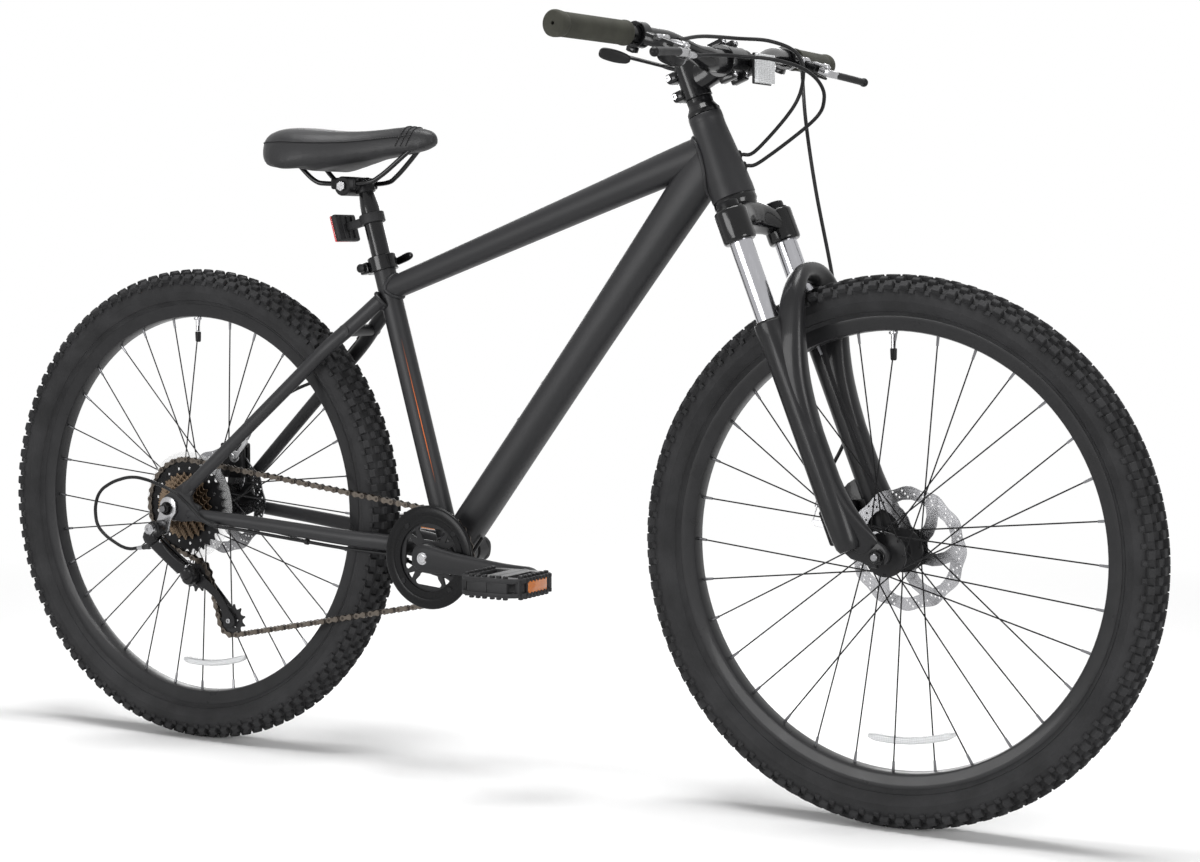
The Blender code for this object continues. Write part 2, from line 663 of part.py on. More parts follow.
# Fork. The crown carries steerer and stanchions as one pressed unit, the lowers are one casting.
sockets = []
for side in (-1, 1):
    leg = Matrix.Translation((CROWN_OFFSET, side * STANCHION_SPREAD, 0))
    sockets.append(turned([(0, CROWN_FOOT + 0.055), (0.0160, CROWN_FOOT + 0.055),
                           (0.0165, CROWN_FOOT + 0.047), (0.0215, CROWN_FOOT + 0.046),
                           (0.0215, CROWN_FOOT + 0.004), (0.0200, CROWN_FOOT),
                           (STANCHION_RADIUS, CROWN_FOOT), (STANCHION_RADIUS, LEG_TOP - 0.1748),
                           (0, LEG_TOP - 0.1748)], 12, leg))
crown_rings = []
for left, ahead, high, half_depth, half_height in (
        (-0.0650, CROWN_OFFSET, 0.024, 0.0140, 0.0170), (-0.0430, 0.0120, 0.033, 0.0190, 0.0165),
        (-0.0150, 0.0030, 0.042, 0.0245, 0.0185), (0.0150, 0.0030, 0.042, 0.0245, 0.0185),
        (0.0430, 0.0120, 0.033, 0.0190, 0.0165), (0.0650, CROWN_OFFSET, 0.024, 0.0140, 0.0170)):
    crown_rings.append([Vector((ahead + half_depth * x, left, CROWN_FOOT + high + half_height * y))
                        for x, y in circle(1.0, 10, start=pi / 10)])
node("fork_upper", "black_metal", steer_home,
     [turned([(0, HEAD_TUBE_TOP + 0.074), (STEERER_RADIUS, HEAD_TUBE_TOP + 0.074),
              (STEERER_RADIUS, HEAD_TUBE_BASE + 0.013), (STEERER_RADIUS + 0.0029, HEAD_TUBE_BASE + 0.013),
              (STEERER_RADIUS + 0.0029, HEAD_TUBE_BASE - JOINT_GAP), (0.0285, HEAD_TUBE_BASE - JOINT_GAP),
              (0.0285, HEAD_TUBE_BASE - 0.012), (0.0230, HEAD_TUBE_BASE - 0.040),
              (0, HEAD_TUBE_BASE - 0.040)], 12),
      loft(crown_rings)] + sockets)

legs, leg_bores = [], []
for side in (-1, 1):
    leg = Matrix.Translation((CROWN_OFFSET, side * STANCHION_SPREAD, 0))
    legs.append(turned([(0, LEG_TOP), (LEG_RADIUS + 0.0014, LEG_TOP), (LEG_RADIUS + 0.0022, LEG_TOP - 0.014),
                        (LEG_RADIUS, LEG_TOP - 0.030), (LEG_RADIUS, 0.070), (LEG_RADIUS - 0.0025, 0.020),
                        (0, 0.018)], 12, leg))
    leg_bores.append(drum(STANCHION_RADIUS + 0.0004, 0.055, LEG_TOP + 0.010, 12, leg))
    tip = [(0.002, 0.078), (0.004, 0.022), (0.024, 0.000), (FORK_RAKE - 0.0130, -0.0100),
           (FORK_RAKE - AXLE_RADIUS - 0.0006, -0.0135), (FORK_RAKE - AXLE_RADIUS - 0.0006, 0.000),
           (FORK_RAKE - 0.0027, 0.0047), (FORK_RAKE + 0.0027, 0.0047),
           (FORK_RAKE + AXLE_RADIUS + 0.0006, 0.000), (FORK_RAKE + AXLE_RADIUS + 0.0006, -0.0125),
           (FORK_RAKE + 0.0120, -0.0085),
           (FORK_RAKE + 0.0145, 0.003), (FORK_RAKE + 0.0080, 0.0155), (0.0370, 0.040), (0.0345, 0.078)]
    tip_middle = side * (FRONT_HUB_HALF + FORK_TIP_THICKNESS / 2)
    legs.append(plate([tip], FORK_TIP_THICKNESS, Matrix.Translation((0, tip_middle, 0)) @ SIDE))
arch_half = [(0.0240, 0.0655, -0.0628), (0.0420, 0.0650, -0.0248), (0.0560, 0.0560, 0.0152),
             (0.0620, 0.0330, 0.0402)]
arch_path = [(ahead, -left, LEG_TOP + high) for ahead, left, high in arch_half]
arch_path += [(0.0635, 0.0, LEG_TOP + 0.0472)]
arch_path += [(ahead, left, LEG_TOP + high) for ahead, left, high in reversed(arch_half)]
arch = rod(arch_path, 0.0115, radii=[0.010, 0.0115, 0.0125, 0.0120, 0.0115, 0.0120, 0.0125, 0.0115, 0.010])
tab_left = STANCHION_SPREAD - 0.0042
caliper_tab = plate([[(0.012, 0.034), (-0.010, 0.030), (-0.030, 0.036), (-0.032, 0.052), (-0.026, 0.092),
                      (-0.010, 0.106), (0.010, 0.110)]], 0.007, Matrix.Translation((0, tab_left, 0)) @ SIDE)
node("fork_lowers", "frame_paint", lowers_home, [legs[0], legs[1], arch, legs[2], legs[3], caliper_tab],
     leg_bores)

# Headset cover, stem, bar and grips.
cover_bore = STEERER_RADIUS + JOINT_GAP
stem_foot = HEAD_TUBE_TOP + 0.0240
node("headset_cover", "black_metal", steer_home,
     [turned([(0.0178, stem_foot - JOINT_GAP), (0.0178, HEAD_TUBE_TOP + 0.0135),
              (0.0225, HEAD_TUBE_TOP + 0.0060), (0.0225, HEAD_TUBE_TOP + JOINT_GAP),
              (STEERER_RADIUS + 0.0029, HEAD_TUBE_TOP + JOINT_GAP),
              (STEERER_RADIUS + 0.0029, HEAD_TUBE_TOP - 0.011), (cover_bore, HEAD_TUBE_TOP - 0.011),
              (cover_bore, stem_foot - JOINT_GAP)], 12)])
bar_spot = Vector((STEM_REACH, 0, HEAD_TUBE_TOP + STEM_HEIGHT))
neck = ((0.004, 0.0165, 0.0195), (0.030, 0.0150, 0.0165), (STEM_REACH - 0.006, 0.0205, 0.0175))
node("stem", "black_metal", steer_home,
     [drum(0.0190, stem_foot, stem_foot + 0.050, 12),
      loft([[Vector((ahead, half * x, bar_spot.z - 0.002 + tall * y)) for x, y in circle(1, 10)]
            for ahead, half, tall in neck]),
      drum(0.0212, -0.0235, 0.0235, 12, Matrix.Translation(bar_spot) @ SIDE),
      block((-0.0300, -0.0150, stem_foot + 0.005), (-0.0120, 0.0150, stem_foot + 0.019)),
      block((-0.0300, -0.0150, stem_foot + 0.031), (-0.0120, 0.0150, stem_foot + 0.045))],
     [drum(STEERER_RADIUS + JOINT_GAP, stem_foot - 0.01, stem_foot + 0.0505, 12),
      drum(BAR_CLAMP_RADIUS + 0.0012, -0.05, 0.05, 12, Matrix.Translation(bar_spot) @ SIDE)])

into_steer = STEER.inverted()
bar_centre = STEER @ bar_spot


def bar_point(left):
    """Bar centre line in the bike's frame at a distance left of the middle."""
    out = abs(left)
    share = out / BAR_HALF_WIDTH
    bend = min(max((share - 0.13) / 0.30, 0.0), 1.0)
    bend = bend * bend * (3 - 2 * bend)
    tail = min(max((share - 0.25) / 0.75, 0.0), 1.0)
    back = BAR_SWEEP * (0.10 * bend + 0.90 * tail)
    return bar_centre + Vector((-back, left, BAR_RISE * (0.88 * bend + 0.12 * tail)))


bar_lefts = [share * BAR_HALF_WIDTH for share in (1.0, 0.44, 0.39, 0.33, 0.27, 0.21, 0.15, 0.08)]
bar_lefts = bar_lefts + [-left for left in reversed(bar_lefts)]
bar_radii = [BAR_RADIUS, BAR_RADIUS, BAR_RADIUS, BAR_RADIUS, BAR_RADIUS + 0.0006, BAR_RADIUS + 0.0028,
             BAR_CLAMP_RADIUS, BAR_CLAMP_RADIUS]
bar_radii = bar_radii + list(reversed(bar_radii))
node("handlebar", "black_metal", steer_home,
     [rod([bar_point(left) for left in bar_lefts], BAR_RADIUS, radii=bar_radii, at=into_steer)])


def bar_axes(left, turn):
    """A frame on the bar: Y along the bar to the left, X ahead and down by an angle, Z up."""
    along = (bar_point(left + 0.02) - bar_point(left - 0.02)).normalized()
    ahead = Vector((cos(radians(turn)), 0, -sin(radians(turn))))
    up = ahead.cross(along).normalized()
    return axes_at(bar_point(left), along.cross(up), up)


for name, side in (("grip_right", -1), ("grip_left", 1)):
    end = bar_axes(side * (BAR_HALF_WIDTH - 0.03), 0)
    end.translation = bar_point(side * BAR_HALF_WIDTH)
    inward = end @ Matrix.Rotation(radians(90 * side), 4, 'X')
    hole = BAR_RADIUS + 0.0010
    node(name, "rubber", steer_home,
         [turned([(0, -JOINT_GAP), (hole, -JOINT_GAP), (hole, GRIP_LENGTH), (0.0170, GRIP_LENGTH),
                  (0.0170, GRIP_LENGTH - 0.004), (0.0150, GRIP_LENGTH - 0.008), (0.0150, 0.006),
                  (0.0162, 0.003), (0.0162, -0.002), (0.0130, -0.0040), (0, -0.0040)],
                 10, into_steer @ inward)])

control_left = BAR_HALF_WIDTH - GRIP_LENGTH - 0.0265
right_control = into_steer @ bar_axes(-control_left, LEVER_DROP_ANGLE)
left_control = into_steer @ bar_axes(control_left, LEVER_DROP_ANGLE)
pivot_ahead = 0.062
blade_pivot_in = 0.012


def perch(at, side):
    """Lever bracket: clamp ring on the bar, body ahead of it, ear over the lever and cable barrel."""
    inward = -side * blade_pivot_in
    bore = BAR_RADIUS + 0.0006
    return [turned([(0.0165, 0.008), (0.0165, -0.008), (bore, -0.008), (bore, 0.008)], 12, at @ SIDE),
            plate([[(0.0130, -0.008), (0.0500, inward - 0.0080),
                    (0.0500, inward + 0.0080), (0.0130, 0.008)]], 0.0170, at),
            block((0.0470, inward - 0.0075, 0.0057), (0.0690, inward + 0.0075, 0.0094), at),
            drum(0.0045, -0.024, 0.002, 8, at @ Matrix.Translation((0.0300, inward - side * 0.006, 0.0060))
                 @ Matrix.Rotation(radians(90 * side), 4, 'X'))]


pod_low, pod_high = (0.0140, 0.0225, -0.0270), (0.0470, 0.0600, 0.0030)
node("control_right", "black_plastic", steer_home,
     perch(right_control, -1)
     + [block((0.0150, 0.0060, -0.0080), (0.0250, 0.0240, 0.0020), right_control),
        block(pod_low, pod_high, right_control),
        drum(0.0050, -0.022, 0.001, 8, right_control @ Matrix.Translation((0.0330, pod_high[1], -0.010))
             @ Matrix.Rotation(radians(90), 4, 'X'))])
node("lever_mount_left", "black_plastic", steer_home, perch(left_control, 1))


def blade(side):
    """Brake lever outline in its own plane, pivot at the origin, reaching outward."""
    return [(0.0080 * cos(turn), 0.0080 * sin(turn) * side) for turn in (-2.2, -2.9, 2.6, 2.0)] + [
        (0.0040, 0.020 * side), (0.0070, 0.040 * side), (0.0150, 0.075 * side), (0.0230, 0.098 * side),
        (0.0290, 0.104 * side), (0.0330, 0.101 * side), (0.0310, 0.085 * side), (0.0210, 0.050 * side),
        (0.0150, 0.020 * side), (0.0100, -0.002 * side)]


for name, control, side in (("brake_lever_right", right_control, -1), ("brake_lever_left", left_control, 1)):
    pivot = control @ Matrix.Translation((pivot_ahead, -side * blade_pivot_in, 0))
    home = place(name + "_axis", STEER @ pivot)
    node(name, "black_metal", home, [plate([blade(side)], 0.0100)])

thumb = right_control @ Matrix.Translation((0.0320, 0.0370, pod_low[2] - 0.0023))
paddle = [(-0.0430 + 0.0120 * x - 0.0080 * y, -0.0580 + 0.0200 * y) for x, y in circle(1, 10)]
node("shift_lever", "black_plastic", place("shift_lever_axis", STEER @ thumb),
     [plate([circle(0.0090, 10)], 0.0038), plate([paddle], 0.0062, Matrix.Translation((0, 0, -0.0012))),
      plate([[(0.0070, 0.0040), (-0.0050, 0.0070), (-0.0420, -0.0420), (-0.0370, -0.0500), (-0.0280, -0.0480)]],
            0.0038)])

lamp = into_steer @ Matrix.Translation(bar_centre + Vector((0.0, 0.0350, 0.0)))
node("front_reflector", "clear_lens", steer_home,
     [turned([(0.0190, 0.0055), (0.0190, -0.0055), (BAR_CLAMP_RADIUS + 0.0008, -0.0055),
              (BAR_CLAMP_RADIUS + 0.0008, 0.0055)], 12, lamp @ SIDE),
      block((0.0170, -0.0050, -0.0060), (0.0320, 0.0050, 0.0060), lamp),
      block((0.0300, -0.0250, -0.0270), (0.0390, 0.0250, 0.0110), lamp)])

# Seat: post with its rail clamp, rails, cushion, clamp collar with lever, rear reflector.
rail_seat = SEAT @ Vector((0, 0, POST_TOP))


def rails(radius):
    """Both saddle rails, joined by their bend at the nose."""
    ahead = rail_seat.x
    half = [(-0.112, 0.0300, 0.0290), (-0.090, 0.0290, 0.0060), (-0.066, 0.0265, -0.0150),
            (-0.045, 0.0235, -0.0200), (0.020, 0.0225, -0.0195), (0.046, 0.0190, -0.0090),
            (0.088, 0.0100, 0.0250)]
    run = half + [(0.094, 0.0, 0.0265)] + [(x, -y, z) for x, y, z in reversed(half)]
    return rod([(ahead + x, y, RAIL_HEIGHT + z) for x, y, z in run], radius, 1, at=SEAT.inverted())


node("saddle_rails", "black_metal", post_home, [rails(RAIL_RADIUS)])
level = SEAT.inverted() @ Matrix.Translation((rail_seat.x, 0, RAIL_HEIGHT))
node("seatpost", "black_metal", post_home,
     [turned([(0, POST_TOP), (0.0105, POST_TOP), (0.0105, POST_TOP - 0.018), (POST_RADIUS, POST_TOP - 0.042),
              (POST_RADIUS, SEAT_TUBE_LENGTH - POST_INSERT),
              (0, SEAT_TUBE_LENGTH - POST_INSERT)], 14),
      drum(0.0140, -0.0300, 0.0300, 14, level @ Matrix.Translation((-0.0150, 0, -0.0240)) @ SIDE),
      block((-0.0360, -0.0285, -0.0270), (0.0060, 0.0285, -0.0130), level)],
     [rails(RAIL_RADIUS + JOINT_GAP)])

saddle_rows = [(-0.1510, 0.034, 0.040, 0.016), (-0.1420, 0.058, 0.054, 0.006),
               (-0.1150, 0.074, 0.0615, -0.004), (-0.0800, 0.077, 0.0600, -0.006),
               (-0.0400, 0.066, 0.0545, 0.000), (0.0000, 0.047, 0.0520, 0.009),
               (0.0450, 0.032, 0.0545, 0.014), (0.0850, 0.024, 0.0585, 0.020),
               (0.1150, 0.018, 0.0580, 0.025), (0.1300, 0.009, 0.0500, 0.032)]


def saddle():
    """Crowned cushion with side skirts and a hollow underside for the rails."""
    rings = []
    for ahead, half, top, skirt in saddle_rows:
        rise = top - skirt
        thick = min(0.011, 0.45 * half)
        ceiling = max(skirt + 0.004, min(top - 0.020, 0.0345))
        outer = [(1.00, 0.0), (0.995, 0.45), (0.90, 0.80), (0.62, 0.96), (0.0, 1.0)]
        ring = [(half * x, skirt + rise * y) for x, y in outer]
        ring += [(-x, y) for x, y in reversed(ring[:-1])]
        inside = half - thick
        inner = [(inside, skirt + 0.001), (inside, ceiling - 0.003), (0.5 * inside, ceiling)]
        ring += [(-x, y) for x, y in inner]
        ring += list(reversed(inner))
        rings.append([Vector((rail_seat.x + ahead, x, RAIL_HEIGHT + y)) for x, y in ring])
    cushion = loft(rings, SEAT.inverted())
    smooth = cushion.modifiers.new("cushion", 'SUBSURF')
    smooth.levels = 1
    smooth.render_levels = 1
    return bake(cushion)


node("saddle", "saddle_cover", post_home, [saddle()])

collar_low, collar_high = SEAT_TUBE_LENGTH - 0.0180, SEAT_TUBE_LENGTH + 0.0035
collar = [(0.0205, collar_high), (0.0205, collar_low), (SEAT_TUBE_RADIUS + 0.0005, collar_low),
          (SEAT_TUBE_RADIUS + 0.0005, collar_high - 0.0030), (POST_RADIUS + 0.0006, collar_high - 0.0028),
          (POST_RADIUS + 0.0006, collar_high)]
clamp_home = place("seat_clamp_home", SEAT)
node("seat_clamp", "black_metal", clamp_home,
     [turned(collar, 14),
      block((-0.0320, -0.0150, collar_low + 0.002), (-0.0175, 0.0160, collar_high - 0.003))],
     [block((-0.0400, -0.0012, collar_low - 0.01), (-0.0210, 0.0012, collar_high + 0.01))])
lever_spot = Matrix.Translation((-0.0250, 0.0215, (collar_low + collar_high) / 2))
node("seat_clamp_lever", "black_metal", place("seat_clamp_lever_axis", SEAT @ lever_spot),
     [rod([(-0.0010, 0.0, 0.0), (0.0080, 0.0020, 0.0), (0.0300, 0.0052, 0.001), (0.0580, 0.0020, 0.003)],
          0.0045, radii=[0.0048, 0.0050, 0.0045, 0.0050])])

reflector_high = SEAT_TUBE_LENGTH + 0.0590
node("rear_reflector", "red_lens", post_home,
     [turned([(0.0180, reflector_high + 0.007), (0.0180, reflector_high - 0.007),
              (POST_RADIUS + 0.0005, reflector_high - 0.007),
              (POST_RADIUS + 0.0005, reflector_high + 0.007)], 14),
      block((-0.0450, -0.0050, reflector_high - 0.0060), (-0.0160, 0.0050, reflector_high + 0.0060)),
      block((-0.0550, -0.0250, reflector_high - 0.0200), (-0.0440, 0.0250, reflector_high + 0.0200))])


# Chain loop. The cage's angle takes up the slack, so that the loop holds a whole even count of links.
def pitch_radius(teeth):
    return teeth * CHAIN_PITCH / (2 * pi)


wheel_centre = Vector((REAR.x, REAR.z))
ring_centre = Vector((BB.x, BB.z))
guide_centre = wheel_centre + Vector((0.0190, -0.1030))


def tension_centre(angle):
    return guide_centre + CAGE_LENGTH * Vector((cos(angle), sin(angle)))


def chain_loop(angle):
    """Arcs and straight runs of the loop: chainring, tension pulley, guide pulley, sprocket."""
    rounds = [(ring_centre, pitch_radius(CHAINRING_TEETH), -1, -CHAINRING_RIGHT),
              (tension_centre(angle), pitch_radius(PULLEY_TEETH), -1, -SPROCKET_RIGHT),
              (guide_centre, pitch_radius(PULLEY_TEETH), 1, -SPROCKET_RIGHT),
              (wheel_centre, pitch_radius(SPROCKET_TEETH[0]), -1, -SPROCKET_RIGHT)]
    leave, arrive = [], []
    for index, (centre, radius, spin, left) in enumerate(rounds):
        other, other_radius, other_spin, other_left = rounds[(index + 1) % 4]
        gap = other - centre
        lean = (radius * spin - other_radius * other_spin) / gap.length
        turn = sqrt(max(1 - lean * lean, 0))
        unit = gap / gap.length
        side = Vector((unit.y, -unit.x))
        direction = lean * unit + turn * side
        leave.append(centre + radius * spin * direction)
        arrive.append(other + other_radius * other_spin * direction)
    pieces = []
    for index, (centre, radius, spin, left) in enumerate(rounds):
        start = arrive[index - 1] - centre
        end = leave[index] - centre
        first = atan2(start.y, start.x)
        last = atan2(end.y, end.x)
        sweep = (last - first) * spin % (2 * pi)
        pieces.append(("arc", index, centre, radius, spin, first, sweep, radius * sweep))
        other = (index + 1) % 4
        pieces.append(("run", index, leave[index], arrive[index], rounds[index][3], rounds[other][3], 0,
                       (arrive[index] - leave[index]).length))
    return pieces, rounds


def loop_length(angle):
    pieces, rounds = chain_loop(angle)
    return sum(piece[-1] for piece in pieces)


nominal = radians(CAGE_ANGLE)
links = 2 * round(loop_length(nominal) / CHAIN_PITCH / 2)
low, high = nominal - 0.6, nominal + 0.6
grows = loop_length(high) > loop_length(low)
for attempt in range(60):
    cage_angle = (low + high) / 2
    if (loop_length(cage_angle) < links * CHAIN_PITCH) == grows:
        low = cage_angle
    else:
        high = cage_angle
loop_pieces, loop_rounds = chain_loop(cage_angle)


def chain_spot(distance):
    """Centre, outward direction, left offset and wrapped wheel at a distance along the loop."""
    distance %= links * CHAIN_PITCH
    for piece in loop_pieces:
        if distance <= piece[-1] + 1e-9:
            break
        distance -= piece[-1]
    if piece[0] == "arc":
        kind, index, centre, radius, spin, first, sweep, length = piece
        turn = first + spin * distance / radius
        outward = Vector((cos(turn), sin(turn)))
        spot = centre + radius * outward
        return spot, outward * -spin, loop_rounds[index][3], index
    kind, index, start, end, left_a, left_b, unused, length = piece
    share = distance / length
    along = (end - start) / length
    return start + share * (end - start), Vector((-along.y, along.x)), left_a + share * (left_b - left_a), None


chain_rings = []
for half_link in range(2 * links):
    spot, outward, left, wheel = chain_spot(half_link * CHAIN_PITCH / 2)
    tall = CHAIN_HALF_HEIGHT
    if half_link % 2 == 0:
        low, high, wide = -tall, tall, 0.0039 if half_link % 4 else 0.0030
    else:
        wide = 0.0034
        steps = sorted(range(-5, 6), key=abs)
        near = [chain_spot((half_link + step) * CHAIN_PITCH / 2)[3] for step in steps]
        met = next((index for index in near if index is not None), None)
        if met is None:
            continue
        if met == 2:
            low, high = -tall, -0.0016
        else:
            low, high = 0.0016, tall
    ring = []
    for height, half in ((high, wide), (high, -wide), (low, -wide), (low, wide)):
        flat = spot + height * outward
        ring.append(Vector((flat.x, left + half, flat.y)))
    chain_rings.append(ring)


def chain():
    """The closed loop of links: tall at each pin, waisted between, wide and narrow by turns."""
    work = bmesh.new()
    loops = [[work.verts.new(point) for point in ring] for ring in chain_rings]
    for index, first in enumerate(loops):
        second = loops[(index + 1) % len(loops)]
        for corner in range(4):
            after = (corner + 1) % 4
            work.faces.new((first[corner], first[after], second[after], second[corner]))
    mesh = bpy.data.meshes.new("chain")
    work.to_mesh(mesh)
    work.free()
    return bake(shape(mesh))


node("chain", "bronze_steel", frame_home, [chain()])


def phase(index):
    """Angle of one pin on the wheel, so that the teeth stand between the pins."""
    travelled = 0.0
    for piece in loop_pieces:
        if piece[0] == "arc" and piece[1] == index:
            kind, index, centre, radius, spin, first, sweep, length = piece
            before = ceil(travelled / CHAIN_PITCH - 1e-9) * CHAIN_PITCH - travelled
            return first + spin * before / radius
        travelled += piece[-1]


def gear(teeth, start, reach=0.0010):
    """Sprocket outline: a root at each pin and a tooth between neighbours."""
    radius = pitch_radius(teeth)
    spots = []
    for tooth in range(teeth):
        for half, size in ((0.0, radius - CHAIN_HALF_HEIGHT - 0.0005), (0.5, radius + reach)):
            turn = start + 2 * pi * (tooth + half) / teeth
            spots.append((size * cos(turn), size * sin(turn)))
    return spots


# Freewheel, chainring with guard, cranks and pedals.
sprockets = []
for index, teeth in enumerate(SPROCKET_TEETH):
    right = SPROCKET_RIGHT + index * SPROCKET_PITCH
    at = Matrix.Translation((0, 0, right))
    sprockets.append(plate([gear(teeth, phase(3)), circle(0.0180, 8)], 0.0019, at))
core_low, core_high = SPROCKET_RIGHT - 0.0030, SPROCKET_RIGHT + 6 * SPROCKET_PITCH + 0.0014
node("freewheel", "bronze_steel", place("freewheel_axis", REAR_SIDE),
     [turned([(0.0205, core_high), (0.0205, core_low), (0.0163, core_low), (0.0163, core_high)], 8),
      *sprockets])

rivets = [drum(0.0042, CHAINRING_RIGHT - 0.0012, CHAINRING_RIGHT + 0.0075, 8, Matrix.Translation((x, y, 0)))
          for x, y in circle(0.0545, 4, start=pi / 4 + radians(CRANK_ANGLE))]
guard_middle = CHAINRING_RIGHT + 0.0072
node("chainring", "black_metal", crank_home,
     [plate([gear(CHAINRING_TEETH, phase(0)), circle(0.0465, 16)], 0.0030,
            Matrix.Translation((0, 0, CHAINRING_RIGHT))),
      plate([circle(GUARD_RADIUS, 28), circle(0.0475, 16)], 0.0032, Matrix.Translation((0, 0, guard_middle)))]
     + rivets)

swing = Matrix.Rotation(radians(CRANK_ANGLE), 4, 'Z')
arm_in, arm_out = CHAINRING_RIGHT + 0.0120, CHAINRING_RIGHT + 0.0245


def crank_arm():
    """Arm outline from the spindle boss to the pedal eye."""
    hub = [(0.0190 * cos(turn), 0.0190 * sin(turn)) for turn in (1.3, 1.9, 2.6, pi, -2.6, -1.9, -1.3)]
    eye = [(CRANK_LENGTH + 0.0140 * cos(turn), 0.0140 * sin(turn)) for turn in (-1.5, -0.75, 0.0, 0.75, 1.5)]
    return hub + eye


def spider():
    """Pierced disc: four broad windows, and a small three-sided one in each of the arms between them."""
    broad = [(0.0440, -0.36), (0.0445, 0.0), (0.0440, 0.36), (0.0390, 0.52),
             (0.0270, 0.30), (0.0250, 0.0), (0.0270, -0.30), (0.0390, -0.52)]
    slim = [(0.0335, 0.0), (0.0445, 0.11), (0.0445, -0.11)]
    outlines = [circle(0.0494, 28)]
    for arm in range(4):
        for middle, corners in ((arm * pi / 2, broad), ((arm + 0.5) * pi / 2, slim)):
            outlines.append([(radius * cos(middle + turn), radius * sin(middle + turn))
                             for radius, turn in corners])
    return outlines


node("crank_right", "black_metal", crank_home,
     [plate([crank_arm()], arm_out - arm_in, swing @ Matrix.Translation((0, 0, (arm_in + arm_out) / 2))),
      plate(spider(), 0.0030, swing @ Matrix.Translation((0, 0, CHAINRING_RIGHT + 0.0035))),
      drum(0.0190, CHAINRING_RIGHT - 0.0080, arm_out - 0.002, 14),
      drum(0.0060, arm_in + 0.004, arm_out + PEDAL_WIDTH + 0.003, 10,
           swing @ Matrix.Translation((CRANK_LENGTH, 0, 0)))],
     [drum(SPINDLE_RADIUS + 0.0004, CHAINRING_RIGHT - 0.02, CHAINRING_RIGHT + 0.0160, 12)])
node("crank_left", "black_metal", crank_home,
     [plate([crank_arm()], arm_out - arm_in,
            swing @ Matrix.Rotation(pi, 4, 'Z') @ Matrix.Translation((0, 0, -(arm_in + arm_out) / 2))),
      drum(0.0190, -arm_out + 0.002, -BB_SHELL_HALF - 0.0080, 14),
      drum(SPINDLE_RADIUS, -arm_in, CHAINRING_RIGHT + 0.0155, 12),
      drum(0.0060, -arm_out - PEDAL_WIDTH - 0.003, -arm_in - 0.004, 10,
           swing @ Matrix.Translation((-CRANK_LENGTH, 0, 0)))])

for name, side in (("pedal_right", 1), ("pedal_left", -1)):
    inner_end = arm_out + 0.0050
    outer_end = inner_end + PEDAL_WIDTH
    long = PEDAL_HALF_LENGTH
    outline = [(-long, inner_end + 0.010), (-long + 0.012, inner_end), (long - 0.012, inner_end),
               (long, inner_end + 0.010)]
    for step in range(1, 6):
        across = inner_end + 0.010 + (PEDAL_WIDTH - 0.024) * step / 6
        outline.append((long + (0.003 if step % 2 else -0.001), across))
    outline += [(long, outer_end - 0.014), (long - 0.014, outer_end), (-long + 0.014, outer_end),
                (-long, outer_end - 0.014)]
    for step in range(5, 0, -1):
        across = inner_end + 0.010 + (PEDAL_WIDTH - 0.024) * step / 6
        outline.append((-long - (0.003 if step % 2 else -0.001), across))
    windows = [[(sign * 0.0160, inner_end + 0.012), (sign * (long - 0.011), inner_end + 0.014),
                (sign * (long - 0.011), outer_end - 0.020), (sign * 0.0160, outer_end - 0.0165)]
               for sign in (-1, 1)]
    flat = Matrix.Rotation(radians(90), 4, 'X')
    flip = Matrix.Scale(side, 4, Vector((0, 0, 1)))
    eye = swing @ Vector((side * CRANK_LENGTH, 0, 0))
    home = place(name + "_axis", BB_SIDE @ Matrix.Translation((eye.x, eye.y, 0)))
    body = plate([outline] + windows, 0.0200, flip @ flat)
    barrel_low, barrel_high = sorted((side * (inner_end - 0.0042), side * (outer_end - 0.0040)))
    barrel = drum(0.0130, barrel_low, barrel_high, 10)
    bore_low, bore_high = sorted((side * (inner_end - 0.01), side * (arm_out + PEDAL_WIDTH + 0.0033)))
    node(name, "black_plastic", home, [body, barrel], [drum(0.0065, bore_low, bore_high, 10)])

# Rear derailleur. The links swing about slanted pins and carry the lower knuckle sideways across
# the sprockets, the cage turns about the guide pulley's bolt.
guide = guide_centre - wheel_centre
tension = tension_centre(cage_angle) - wheel_centre
upper_pin = Vector((-0.0070, -0.0510, 0.0960))
fall = Vector((guide.x - 0.0030 - upper_pin.x, guide.y + 0.0130 - upper_pin.y, 0))
reach_in = sqrt(max(LINK_LENGTH ** 2 - fall.length ** 2, 0.0001))
link_along = (fall - Vector((0, 0, reach_in))).normalized()
link_axis = link_along.cross(Vector((0, 0, 1))).normalized()
link_out = link_along.cross(link_axis)
if link_out.z < 0:
    link_axis, link_out = -link_axis, -link_out
LINK = Matrix((link_along, link_axis, link_out)).transposed().to_4x4()
LINK.translation = upper_pin
pin_gap = 0.0120
plate_gap = 0.0085


def link_bar():
    """One link: round-ended bar along X, thick in Z, drawn along the pins in Y."""
    half = 0.0030
    ends = [(half * cos(turn), half * sin(turn)) for turn in (pi / 2, 2.36, pi, -2.36, -pi / 2)]
    far = [(LINK_LENGTH + half * cos(turn), half * sin(turn)) for turn in (-pi / 2, -0.79, 0, 0.79, pi / 2)]
    return plate([ends + far], 0.0150, Matrix.Rotation(radians(90), 4, 'X'))


